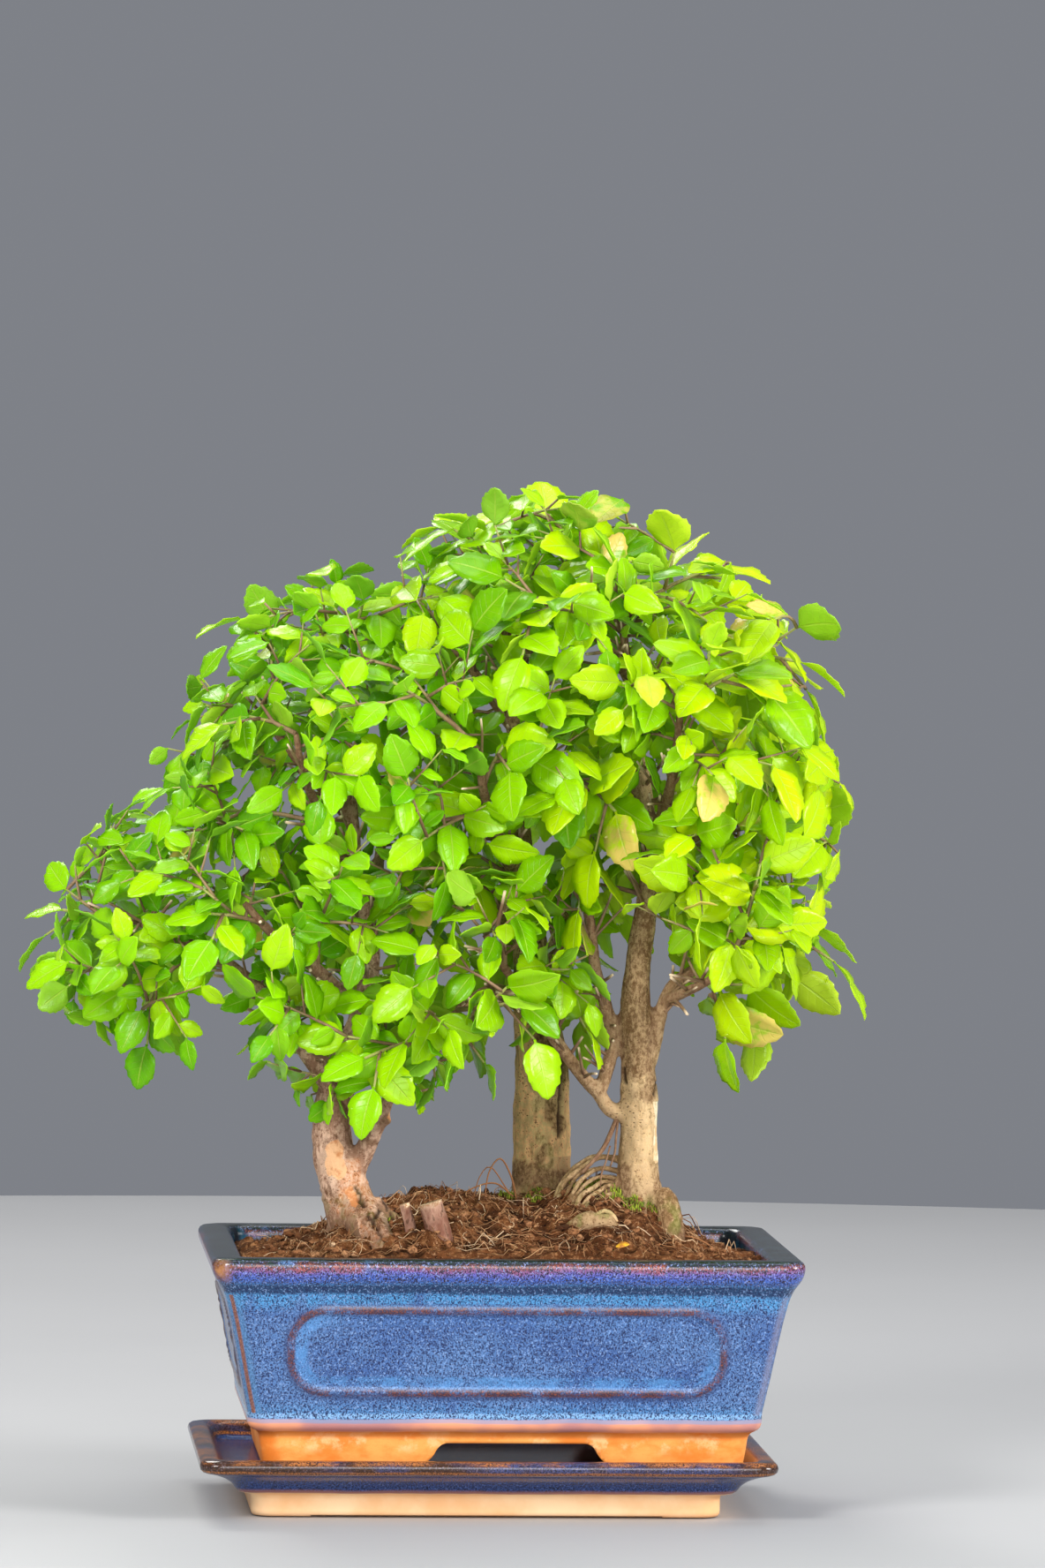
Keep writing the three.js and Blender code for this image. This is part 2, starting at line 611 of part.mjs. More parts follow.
// Points along every limb, with its radius and direction there
function limbSamples() {
  const samples = [];
  TREES.forEach((tree, treeIndex) => {
    tree.limbs.forEach((points, limbIndex) => {
      for (let index = 0; index + 1 < points.length; index += 1) {
        const [x0, y0, z0, r0] = points[index];
        const [x1, y1, z1, r1] = points[index + 1];
        const start = vector(x0, y0, z0);
        const step = vector(x1, y1, z1).sub(start);
        const count = Math.max(1, Math.round(step.length() / LIMB_STEP));
        const isLast = index + 2 === points.length;
        for (let part = 0; part < count + (isLast ? 1 : 0); part += 1) {
          const share = part / count;
          samples.push({
            point: start.clone().addScaledVector(step, share),
            radius: between(r0, r1, share),
            direction: step.clone().normalize(),
            tree: treeIndex,
            isTip: isLast && part === count,
            mayBear: index > 0 || limbIndex > 0,
          });
        }
      }
    });
  });
  return samples;
}

// How deep a point lies in a mass of foliage: below 1 it is inside
function massDepth(mass, point, scale) {
  const x = (point.x - mass.x) / (mass.rx * scale);
  const y = (point.y - mass.y) / (mass.ry * scale);
  const z = (point.z - mass.z) / (mass.rz * scale);
  return Math.sqrt(x * x + y * y + z * z);
}

// Where the sprays end: points spread evenly over the outside of the crown
function sprayAnchors() {
  const candidates = [];
  const goldenTurn = Math.PI * (3 - Math.sqrt(5));
  for (const mass of CROWN) {
    for (let index = 0; index < CROWN_DIRECTIONS; index += 1) {
      const rise = 1 - 2 * (index + 0.5) / CROWN_DIRECTIONS;
      const level = Math.sqrt(1 - rise * rise);
      const turn = goldenTurn * index;
      const point = vector(
        mass.x + mass.rx * ANCHOR_SCALE * level * Math.cos(turn),
        mass.y + mass.ry * ANCHOR_SCALE * level * Math.sin(turn),
        mass.z + mass.rz * ANCHOR_SCALE * rise,
      );
      const outward = vector(
        (point.x - mass.x) / (mass.rx * mass.rx),
        (point.y - mass.y) / (mass.ry * mass.ry),
        (point.z - mass.z) / (mass.rz * mass.rz),
      ).normalize();
      const hidden = CROWN.some((other) => other !== mass && massDepth(other, point, ANCHOR_SCALE) < CROWN_HIDDEN);
      if (!hidden && point.z > LOWEST_ANCHOR && outward.z > STEEPEST_DOWN) {
        candidates.push({ point, outward, tree: mass.tree, nearest: Infinity });
      }
    }
  }
  const chosen = [];
  let pick = candidates.reduce((best, next) => (next.point.x < best.point.x ? next : best));
  while (chosen.length < SPRAY_COUNT) {
    chosen.push(pick);
    for (const candidate of candidates) {
      candidate.nearest = Math.min(candidate.nearest, candidate.point.distanceTo(pick.point));
    }
    pick = candidates.reduce((best, next) => (next.nearest > best.nearest ? next : best));
  }
  return chosen;
}

// A stem or twig: the corners of its course, its radius, and points along it for the tests
function makeStem(knots, radius, owner) {
  const length = knots[0].distanceTo(knots[knots.length - 1]);
  const stem = { knots, radius, owner, length, points: [] };
  const count = Math.max(3, Math.round(length / STEM_TEST_STEP));
  for (let index = 0; index <= count; index += 1) stem.points.push(stemPoint(stem, index / count));
  return stem;
}

// A point at a share of a stem's course
function stemPoint(stem, share) {
  const parts = stem.knots.length - 1;
  const part = Math.min(parts - 1, Math.floor(share * parts));
  return stem.knots[part].clone().lerp(stem.knots[part + 1], share * parts - part);
}

// The direction of a stem at a share of its course
function stemDirection(stem, share) {
  const parts = stem.knots.length - 1;
  const part = Math.min(parts - 1, Math.floor(share * parts));
  return stem.knots[part + 1].clone().sub(stem.knots[part]).normalize();
}

// A gently bent course from start to end
function bentKnots(start, control, end, parts) {
  const knots = [];
  for (let index = 0; index <= parts; index += 1) {
    const share = index / parts;
    const rest = 1 - share;
    knots.push(start.clone().multiplyScalar(rest * rest)
      .addScaledVector(control, 2 * rest * share)
      .addScaledVector(end, share * share));
  }
  return knots;
}

// Whether a stem keeps clear of the limbs and of the other stems
function stemIsClear(stem, limbs, stems, freeLength) {
  return stem.points.every((point) => {
    if (point.distanceTo(stem.knots[0]) < freeLength) return true;
    const nearLimb = limbs.some((limb) => (
      limb.point.distanceTo(point) < limb.radius + stem.radius + STEM_TO_LIMB
    ));
    if (nearLimb) return false;
    return stems.every((other) => other.points.every((otherPoint) => (
      other.owner === stem.owner || otherPoint.distanceTo(point) > other.radius + stem.radius + STEM_TO_STEM
    )));
  });
}

// A unit vector square to a direction, near a guide
function squareTo(direction, guide) {
  return guide.clone().addScaledVector(direction, -guide.dot(direction)).normalize();
}

// The limbs that could bear a stem to an anchor, the best first
function limbChoices(anchor, limbs) {
  return limbs
    .filter((limb) => limb.mayBear)
    .map((limb) => {
      const toAnchor = anchor.point.clone().sub(limb.point);
      const distance = toAnchor.length();
      const along = toAnchor.dot(limb.direction) / distance;
      const penalty = limb.isTip ? 0 : 30 * Math.max(0, along - 0.7) + 30 * Math.max(0, 0.1 - along);
      return { limb, distance, cost: distance + penalty + 1.2 * limb.radius };
    })
    .filter((choice) => choice.distance > SHORTEST_STEM + choice.limb.radius)
    .sort((first, second) => first.cost - second.cost)
    .slice(0, 24);
}

// The main stem of a spray, from the best limb that leaves it a clear way to its anchor
function findStem(anchor, index, limbs, stems) {
  const swings = [vector(0, 0, 0), vector(0, 0, 0.3), vector(0.3, 0, 0), vector(-0.3, 0, 0),
    vector(0, 0.3, 0), vector(0, -0.3, 0), vector(0, 0, -0.3)];
  for (const { limb, distance } of limbChoices(anchor, limbs)) {
    if (stems.some((stem) => stem.knots[0].distanceTo(limb.point) < STEM_SPACING)) continue;
    for (const swing of swings) {
      const lead = anchor.point.clone().sub(limb.point).normalize();
      lead.addScaledVector(limb.direction, 0.35).add(swing).normalize();
      const control = limb.point.clone().addScaledVector(lead, 0.5 * distance);
      const knots = bentKnots(limb.point, control, anchor.point, STEM_PARTS);
      const stem = makeStem(knots, STEM_RADIUS, index);
      if (stemIsClear(stem, limbs, stems, limb.radius + STEM_FREE_LENGTH)) return stem;
    }
  }
  return null;
}

// The stems of the sprays, each with its twigs
function growStems(anchors, limbs) {
  const stems = [];
  const sprays = [];
  anchors.forEach((anchor, index) => {
    const main = findStem(anchor, index, limbs, stems);
    if (!main) return;
    const others = [...stems];
    stems.push(main);
    const spray = { index, anchor, stem: main, twigs: [] };
    const draw = randomStream(SPRAY_SEED + 31 * index);
    for (const { share, turn } of TWIG_PLACES) {
      const angle = turn + 1.2 * draw();
      const reach = between(TWIG_SHORTEST, TWIG_LONGEST, draw());
      if (spray.twigs.length === TWIG_COUNT) break;
      const from = stemPoint(main, share);
      const along = stemDirection(main, share);
      const first = squareTo(along, vector(0.3, 0.2, 1));
      const second = along.clone().cross(first);
      const direction = along.clone().multiplyScalar(0.55)
        .addScaledVector(first, Math.cos(angle))
        .addScaledVector(second, Math.sin(angle))
        .addScaledVector(anchor.outward, 0.5)
        .normalize();
      const twig = makeStem([from, from.clone().addScaledVector(direction, reach)], TWIG_RADIUS, index);
      twig.share = share;
      if (direction.dot(along) < 0.85 && stemIsClear(twig, limbs, others, TWIG_FREE_LENGTH)) {
        spray.twigs.push(twig);
        stems.push(twig);
      }
    }
    sprays.push(spray);
  });
  return { sprays, stems };
}

// Half width of a leaf at a share of its length, as a share of its greatest half width
function leafSpread(share) {
  if (share <= 0 || share >= 1) return 0;
  return Math.min(1, 2.42 * Math.pow(share, 0.55) * Math.pow(1 - share, 0.75));
}

// Height of a leaf's middle surface over its flat plane
function leafRise(leaf, along, across) {
  const share = along / leaf.length;
  const arch = LEAF_CURL * leaf.length * share * share;
  return LEAF_FOLD * Math.abs(across) - arch;
}

// A leaf at a stem, given where it points and faces
function makeLeaf(base, axis, face, length, owner, stem) {
  const normal = squareTo(axis, face);
  const side = axis.clone().cross(normal);
  return {
    base, axis, normal, side, length, owner, stem, halfWidth: length * LEAF_WIDTH_RATIO / 2,
    centre: base.clone().addScaledVector(axis, length / 2),
  };
}

// A point of a leaf's middle surface
function leafPoint(leaf, share, across) {
  const along = share * leaf.length;
  const offset = across * leaf.halfWidth;
  return leaf.base.clone()
    .addScaledVector(leaf.axis, along)
    .addScaledVector(leaf.side, offset)
    .addScaledVector(leaf.normal, leafRise(leaf, along, offset));
}

// Points spread over a leaf, for the tests below
function leafSamples(leaf) {
  const samples = [];
  for (let step = 1; step <= 8; step += 1) {
    const spread = leafSpread(step / 8);
    for (const across of [-1, -0.5, 0, 0.5, 1]) {
      samples.push(leafPoint(leaf, step / 8, across * spread));
    }
  }
  return samples;
}

// Whether a point lies in or close to a leaf's blade
function nearBlade(leaf, point, clearance) {
  const offset = point.clone().sub(leaf.base);
  const along = offset.dot(leaf.axis);
  if (along < -1 || along > leaf.length + 1) return false;
  const across = offset.dot(leaf.side);
  if (Math.abs(across) > leaf.halfWidth * leafSpread(Math.min(0.97, Math.max(0.03, along / leaf.length))) + 1.3) {
    return false;
  }
  return Math.abs(offset.dot(leaf.normal) - leafRise(leaf, along, across)) < clearance;
}

function leafIsClear(leaf, samples, leaves, stems, limbs) {
  for (const other of leaves) {
    if (other.leaf.centre.distanceTo(leaf.centre) > (leaf.length + other.leaf.length) / 2 + 3) continue;
    if (samples.some((point) => nearBlade(other.leaf, point, LEAF_CLEARANCE))) return false;
    if (other.samples.some((point) => nearBlade(leaf, point, LEAF_CLEARANCE))) return false;
  }
  for (const stem of stems) {
    if (stem === leaf.stem) continue;
    const clearance = stem.radius + LEAF_TO_STEM;
    const blocked = stem.points.some((point) => (
      point.distanceTo(leaf.base) > 4 && nearBlade(leaf, point, clearance)
    ));
    if (blocked) return false;
  }
  return limbs.every((limb) => (
    limb.point.distanceTo(leaf.centre) > leaf.length + limb.radius
      || samples.every((point) => point.distanceTo(limb.point) > limb.radius + LEAF_TO_LIMB)
  ));
}

// Whether a place on a stem is free of twigs and of the stem's corners
function placeIsFree(spray, stem, share) {
  const parts = stem.knots.length - 1;
  const toCorner = Math.abs(share * parts - Math.round(share * parts)) / parts * stem.length;
  if (toCorner < PLACE_MARGIN) return false;
  if (stem !== spray.stem) return true;
  return spray.twigs.every((twig) => Math.abs(twig.share - share) * stem.length > PLACE_MARGIN + 1);
}

// The leaves of one stem: one at its tip, the others by turns on its two sides
function growLeaves(spray, stem, count, draw, world) {
  const { anchor } = spray;
  const facing = anchor.outward.clone().multiplyScalar(0.8).add(vector(0, 0, 0.55)).normalize();
  let share = 1;
  for (let index = 0; index < count; index += 1) {
    if (index > 0) share -= LEAF_SPACING / stem.length;
    while (index > 0 && share > LOWEST_SHARE && !placeIsFree(spray, stem, share)) share -= 0.5 / stem.length;
    if (share < LOWEST_SHARE) return;
    const from = stemPoint(stem, share);
    const along = stemDirection(stem, Math.min(share, 0.99));
    const flat = along.clone().cross(facing);
    const spread = flat.length();
    const first = spread > 0.25 ? flat.normalize() : squareTo(along, vector(0.8, 0.3, 0.5));
    const second = along.clone().cross(first);
    const length = LEAF_LENGTHS[anchor.tree] * (0.86 + 0.28 * draw());
    for (let attempt = 0; attempt < LEAF_TRIES; attempt += 1) {
      const sway = (draw() - 0.5) * (0.8 + 2.4 * (1 - spread) + 0.5 * attempt);
      const angle = (index % 2) * Math.PI + sway;
      const axis = along.clone().multiplyScalar(0.6)
        .addScaledVector(first, (index === 0 ? 0.25 : 1) * Math.cos(angle))
        .addScaledVector(second, (index === 0 ? 0.25 : 1) * Math.sin(angle));
      axis.z -= 0.12 + 0.3 * draw();
      axis.normalize();
      const face = facing.clone().add(vector(0.5 * (draw() - 0.5), 0.5 * (draw() - 0.5), 0.5 * (draw() - 0.5)));
      if (index > 0 && axis.dot(along) > 0.72) continue;
      const leaf = makeLeaf(from, axis, face, length, spray.index, stem);
      leaf.share = share;
      leaf.isEnd = index === 0;
      const samples = leafSamples(leaf);
      if (leafIsClear(leaf, samples, world.leaves, world.stems, world.limbs)) {
        world.leaves.push({ leaf, samples });
        break;
      }
    }
  }
}

// Adds points to a mesh in the making and returns their numbers
function addPoints(build, points) {
  return points.map((point) => build.points.push(point) - 1);
}

function addQuad(build, a, b, c, d) {
  build.triangles.push([a, b, c], [a, c, d]);
}

// Adds a flat face with holes in it; the outline runs to the left and the holes to the right
function addFaceWithHoles(build, outline, holes) {
  const [first, second] = outline.map((number) => build.points[number]);
  const last = build.points[outline[outline.length - 1]];
  const alongX = second.clone().sub(first).normalize();
  const normal = alongX.clone().cross(last.clone().sub(first)).normalize();
  const alongY = normal.clone().cross(alongX);
  const flatten = (loop) => loop.map((number) => {
    const offset = build.points[number].clone().sub(first);
    return new THREE.Vector2(offset.dot(alongX), offset.dot(alongY));
  });
  const numbers = [...outline, ...holes.flat()];
  for (const [a, b, c] of THREE.ShapeUtils.triangulateShape(flatten(outline), holes.map(flatten))) {
    build.triangles.push([numbers[a], numbers[b], numbers[c]]);
  }
}

// Points round a centre, drawn in until all of them lie well inside a face, or null
function drawnIn(build, outline, normal, centre, offsets) {
  const corners = outline.map((number) => build.points[number]);
  const isInside = (point) => corners.every((corner, index) => {
    const next = corners[(index + 1) % corners.length];
    const inward = normal.clone().cross(next.clone().sub(corner)).normalize();
    return point.clone().sub(corner).dot(inward) > FACE_MARGIN;
  });
  for (let size = 1; size > 0.4; size *= 0.85) {
    const points = offsets.map((offset) => centre.clone().addScaledVector(offset, size));
    if (points.every(isInside)) return points;
  }
  return null;
}

// Adds a folded, waved blade whose two faces are split alike, grown from the points given
// for the right and left of its upper and of its lower root
function addBlade(build, leaf, upperRoot, lowerRoot) {
  const edge = (side) => LEAF_ROWS.map((share, row) => (
    leafPoint(leaf, share, side * leafSpread(share))
      .addScaledVector(leaf.normal, side * (row % 2 ? -1 : 1) * LEAF_WAVE * leaf.length)
  ));
  const outline = [...edge(1), leafPoint(leaf, 1, 0), ...edge(-1).reverse()];
  const half = leaf.normal.clone().multiplyScalar(LEAF_THICKNESS / 2);
  const upper = addPoints(build, outline.map((point) => point.clone().add(half)));
  const lower = addPoints(build, outline.map((point) => point.clone().sub(half)));
  const top = [upperRoot[0], ...upper, upperRoot[1]];
  const bottom = [lowerRoot[0], ...lower, lowerRoot[1]];
  const face = [[0, 1, 7], [0, 7, 8], [1, 2, 6], [1, 6, 7], [2, 3, 5], [2, 5, 6], [3, 4, 5]];
  for (const [a, b, c] of face) {
    build.triangles.push([top[a], top[b], top[c]]);
    if (bottom[a] !== bottom[c]) build.triangles.push([bottom[a], bottom[c], bottom[b]]);
  }
  for (let index = 0; index + 1 < top.length; index += 1) {
    addQuad(build, top[index], bottom[index], bottom[index + 1], top[index + 1]);
  }
}

// Adds a stem with three sides, the twigs and leaves that it bears, and the leaf at its end
function addStem(build, stem, baseRing, spray, leaves) {
  const own = leaves.filter((leaf) => leaf.stem === stem);
  const endLeaf = own.find((leaf) => leaf.isEnd);
  const parts = stem.knots.length - 1;
  const rings = new Array(parts + 1);
  let up = endLeaf ? endLeaf.normal : vector(0.3, 0.2, 1);
  for (let index = parts; index >= 0; index -= 1) {
    const along = stemDirection(stem, Math.min(0.999, Math.max(0.001, index / parts - 0.01)));
    up = squareTo(along, up);
    const left = up.clone().cross(along);
    const radius = stem.radius * between(1.25, 0.85, index / parts);
    if (index === 0 && baseRing) {
      rings[0] = baseRing(left, up);
    } else {
      rings[index] = addPoints(build, [30, 150, 270].map((degrees) => {
        const angle = degrees * Math.PI / 180;
        return stem.knots[index].clone()
          .addScaledVector(left, radius * Math.cos(angle))
          .addScaledVector(up, radius * Math.sin(angle));
      }));
    }
  }
  const borne = [
    ...own.filter((leaf) => !leaf.isEnd).map((leaf) => ({ share: leaf.share, leaf, direction: leaf.axis })),
    ...(stem === spray.stem ? spray.twigs : []).map((twig) => (
      { share: twig.share, twig, direction: stemDirection(twig, 0.5) }
    )),
  ];
  for (let part = 0; part < parts; part += 1) {
    const low = rings[part];
    const high = rings[part + 1];
    const sides = [0, 1, 2].map((side) => {
      const outline = [low[side], low[(side + 1) % 3], high[(side + 1) % 3], high[side]];
      const [a, b, , d] = outline.map((number) => build.points[number]);
      const normal = b.clone().sub(a).cross(d.clone().sub(a)).normalize();
      return { outline, normal, holes: [] };
    });
    for (const item of borne.filter(({ share }) => Math.floor(share * parts) === part)) {
      const side = sides.reduce((best, next) => (
        next.normal.dot(item.direction) > best.normal.dot(item.direction) ? next : best
      ));
      const [a, b, c, d] = side.outline.map((number) => build.points[number]);
      const low = a.clone().lerp(b, 0.5);
      const high = d.clone().lerp(c, 0.5);
      const centre = low.lerp(high, item.share * parts - part);
      if (item.leaf) {
        const up = squareTo(side.normal, item.leaf.normal);
        const right = side.normal.clone().cross(up).multiplyScalar(ROOT_HALF_WIDTH);
        up.multiplyScalar(ROOT_HALF_THICKNESS);
        const points = drawnIn(build, side.outline, side.normal, centre, [
          right.clone().add(up),
          up.clone().sub(right),
          right.clone().add(up).negate(),
          right.clone().sub(up),
        ]);
        if (!points) continue;
        const loop = addPoints(build, points);
        side.holes.push(loop);
        addBlade(build, item.leaf, [loop[0], loop[1]], [loop[3], loop[2]]);
      } else {
        addStem(build, item.twig, (left, up) => {
          const ring = addPoints(build, [30, 150, 270].map((degrees) => {
            const angle = degrees * Math.PI / 180;
            const inPlane = squareTo(side.normal, up);
            const across = inPlane.clone().cross(side.normal);
            return centre.clone()
              .addScaledVector(across, TWIG_ROOT_RADIUS * Math.cos(angle))
              .addScaledVector(inPlane, TWIG_ROOT_RADIUS * Math.sin(angle));
          }));
          side.holes.push([ring[0], ring[2], ring[1]]);
          return ring;
        }, spray, leaves);
      }
    }
    for (const { outline, holes } of sides) addFaceWithHoles(build, outline, holes);
  }
  if (!baseRing) build.triangles.push([rings[0][0], rings[0][2], rings[0][1]]);
  const end = rings[parts];
  if (endLeaf) {
    addBlade(build, endLeaf, [end[1], end[0]], [end[2], end[2]]);
  } else {
    build.triangles.push([end[0], end[1], end[2]]);
  }
}

function spraySolid(spray, leaves) {
  const build = { points: [], triangles: [] };
  addStem(build, spray.stem, null, spray, leaves);
  const geometry = new THREE.BufferGeometry();
  geometry.setAttribute("position", new THREE.Float32BufferAttribute(
    build.points.flatMap((point) => [point.x, point.y, point.z]), 3,
  ));
  geometry.setIndex(build.triangles.flat());
  return solid(geometry);
}

function mesh(name, body, colour, roughness) {
  const { vertProperties, triVerts } = body.getMesh();
  const geometry = new THREE.BufferGeometry();
  geometry.setAttribute("position", new THREE.Float32BufferAttribute(vertProperties, 3));
  geometry.setIndex(Array.from(triVerts));
  geometry.computeVertexNormals();
  const material = new THREE.MeshStandardMaterial({ color: colour, roughness, metalness: 0 });
  const piece = new THREE.Mesh(geometry, material);
  piece.name = name;
  return piece;
}

const bonsai = new THREE.Group();
bonsai.add(mesh("tray", tray(), TRAY_GLAZE, 0.3));
bonsai.add(mesh("pot", pot(), GLAZE, 0.25));
bonsai.add(mesh("drain_screen_left", drainScreen(-1), SCREEN_COLOUR, 0.6));
bonsai.add(mesh("drain_screen_right", drainScreen(1), SCREEN_COLOUR, 0.6));

const planted = [];
for (const tree of TREES) {
  bonsai.add(mesh(`trunk_${tree.name}`, treeSolid(tree), tree.colour, 0.85));
  planted.push(treeSolid(tree, SOIL_HOLE_GAP));
}
for (const stump of STUMPS) {
  bonsai.add(mesh(stump.name, limbSolid(stump.points, STUMP_SIDES), STUMP_COLOUR, 0.9));
  planted.push(limbSolid(stump.points, STUMP_SIDES, SOIL_HOLE_GAP));
}
bonsai.add(mesh("soil", soil(planted), SOIL_COLOUR, 1));

const limbs = limbSamples();
const { sprays, stems } = growStems(sprayAnchors(), limbs);
const world = { leaves: [], stems, limbs };
for (const spray of sprays) {
  const draw = randomStream(SPRAY_SEED + 7 + 31 * spray.index);
  growLeaves(spray, spray.stem, STEM_LEAVES, draw, world);
  for (const twig of spray.twigs) growLeaves(spray, twig, TWIG_LEAVES, draw, world);
}
const clearTrees = TREES.map((tree) => treeSolid(tree, GAP));
for (const spray of sprays) {
  const leaves = world.leaves.map(({ leaf }) => leaf).filter((leaf) => leaf.owner === spray.index);
  let body = spraySolid(spray, leaves);
  for (const tree of clearTrees) body = body.subtract(tree);
  const number = String(spray.index + 1).padStart(2, "0");
  bonsai.add(mesh(`spray_${TREES[spray.anchor.tree].name}_${number}`, body, LEAF_COLOURS[spray.anchor.tree], 0.5));
}

export default bonsai;
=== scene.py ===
# The look of a forest bonsai in Blender: glazed pot and tray, soil, bark, twigs and leaves.
# Sizes are in millimetres in the frame of the CAD model, and meshes are made in metres.

import math

import bpy
import numpy as np
from mathutils import Matrix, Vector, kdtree


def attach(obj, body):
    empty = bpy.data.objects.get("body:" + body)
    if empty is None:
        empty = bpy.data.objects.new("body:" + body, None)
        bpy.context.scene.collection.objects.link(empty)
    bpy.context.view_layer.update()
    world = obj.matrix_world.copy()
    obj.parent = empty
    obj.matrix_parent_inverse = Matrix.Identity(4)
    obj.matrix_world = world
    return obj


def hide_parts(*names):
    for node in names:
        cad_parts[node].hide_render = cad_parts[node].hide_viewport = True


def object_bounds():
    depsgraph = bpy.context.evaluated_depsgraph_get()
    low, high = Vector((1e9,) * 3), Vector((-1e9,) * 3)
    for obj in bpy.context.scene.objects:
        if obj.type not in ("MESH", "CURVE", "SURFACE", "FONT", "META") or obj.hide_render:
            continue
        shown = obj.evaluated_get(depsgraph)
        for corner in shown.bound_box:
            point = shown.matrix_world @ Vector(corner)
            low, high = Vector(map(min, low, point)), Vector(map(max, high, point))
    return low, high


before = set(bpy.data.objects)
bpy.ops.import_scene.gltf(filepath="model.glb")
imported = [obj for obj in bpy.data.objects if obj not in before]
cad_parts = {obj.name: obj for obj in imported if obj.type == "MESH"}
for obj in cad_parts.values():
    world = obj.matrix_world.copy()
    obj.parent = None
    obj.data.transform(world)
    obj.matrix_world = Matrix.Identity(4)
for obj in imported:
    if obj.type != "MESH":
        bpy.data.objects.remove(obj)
cad_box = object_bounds()
MM = 0.001

# Camera, fitted to the four corners of the pot's rim
CAMERA_PLACE = (-262.1, -3869.5, 445.7)
CAMERA_RIGHT = (0.99737, -0.07138, 0.01242)
CAMERA_UP = (-0.01009, 0.03299, 0.9994)
CAMERA_FORWARD = (0.07175, 0.9969, -0.03219)
CAMERA_LENS = 200
FLOOR_RADIUS = 1700
FLOOR_SIDES = 128
BACKDROP_COLOUR = (0.21, 0.22, 0.245, 1)

# Round area lights: place and target in metres, width, power and colour
LIGHTS = {
    "key": ((-1.3, -1.7, 1.35), (0, 0, 0.24), 0.8, 50, (1.0, 0.98, 0.95)),
    "side": ((1.7, -0.9, 0.9), (0, 0, 0.22), 0.8, 42, (1.0, 0.99, 0.97)),
    "front": ((0.2, -2.6, 0.7), (0, 0, 0.2), 1.3, 31, (0.99, 0.99, 1.0)),
    "top": ((0.1, 0.2, 1.9), (0, 0, 0.3), 1.4, 15, (1.0, 1.0, 1.0)),
    "back": ((-0.5, 1.5, 1.6), (0, 0, 0.3), 0.9, 20, (1.0, 0.98, 0.94)),
}


# The camera that sees the pot's rim as the photo shows it
def make_camera():
    data = bpy.data.cameras.new("camera")
    data.lens = CAMERA_LENS
    data.sensor_width = 36
    data.clip_start = 0.1
    data.clip_end = 100
    camera = bpy.data.objects.new("camera", data)
    bpy.context.scene.collection.objects.link(camera)
    turn = Matrix((CAMERA_RIGHT, CAMERA_UP, [-value for value in CAMERA_FORWARD])).transposed()
    camera.matrix_world = Matrix.Translation([MM * value for value in CAMERA_PLACE]) @ turn.to_4x4()
    bpy.context.scene.camera = camera


# A round light that points at a target
def make_area_light(name, place, target, size, power, colour):
    data = bpy.data.lights.new(name, "AREA")
    data.shape = "DISK"
    data.size = size
    data.energy = power
    data.color = colour
    light = bpy.data.objects.new(name, data)
    bpy.context.scene.collection.objects.link(light)
    light.location = place
    aim = (Matrix.Translation(target).translation - light.location).normalized()
    light.rotation_euler = aim.to_track_quat("-Z", "Y").to_euler()


# Lights, grey surroundings and the floor
def make_studio():
    for name, light in LIGHTS.items():
        make_area_light(name, *light)
    world = bpy.data.worlds.new("studio")
    world.use_nodes = True
    background = world.node_tree.nodes["Background"]
    background.inputs["Color"].default_value = BACKDROP_COLOUR
    background.inputs["Strength"].default_value = 1.0
    bpy.context.scene.world = world
    bpy.context.scene.view_settings.view_transform = "Standard"
    floor = mesh_object("floor", *disc(FLOOR_RADIUS, FLOOR_SIDES), smooth=False)
    floor.data.materials.append(floor_material())


# Points and the one face of a level disc
def disc(radius, sides):
    turns = np.arange(sides) * 2 * math.pi / sides
    points = np.stack([radius * np.cos(turns), radius * np.sin(turns), np.zeros(sides)], axis=1)
    return points, [list(range(sides))]


# A mesh object from points in millimetres and faces
def mesh_object(name, points, faces, smooth=True):
    data = bpy.data.meshes.new(name)
    if isinstance(faces, np.ndarray):
        fill_mesh(data, np.asarray(points), faces)
    else:
        data.from_pydata((np.asarray(points) * MM).tolist(), [], faces)
    data.polygons.foreach_set("use_smooth", np.full(len(data.polygons), smooth))
    data.update()
    piece = bpy.data.objects.new(name, data)
    bpy.context.scene.collection.objects.link(piece)
    return piece


# Fills a mesh with faces that all have the same number of corners
def fill_mesh(data, points, faces):
    count, corners = faces.shape
    data.vertices.add(len(points))
    data.vertices.foreach_set("co", (points * MM).astype(np.float32).ravel())
    data.loops.add(count * corners)
    data.loops.foreach_set("vertex_index", faces.astype(np.int32).ravel())
    data.polygons.add(count)
    data.polygons.foreach_set("loop_start", np.arange(0, count * corners, corners, dtype=np.int32))
    data.update(calc_edges=True)


# Hands a finished piece to the frame
def settle(piece, material, nodes=()):
    if not piece.data.materials:
        piece.data.materials.append(material)
    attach(piece, "root")
    if nodes:
        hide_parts(*nodes)
    return piece


# A value per point, for a material to read by its name
def add_values(piece, name, values):
    layer = piece.data.attributes.new(name, "FLOAT", "POINT")
    layer.data.foreach_set("value", np.asarray(values, dtype=np.float32))


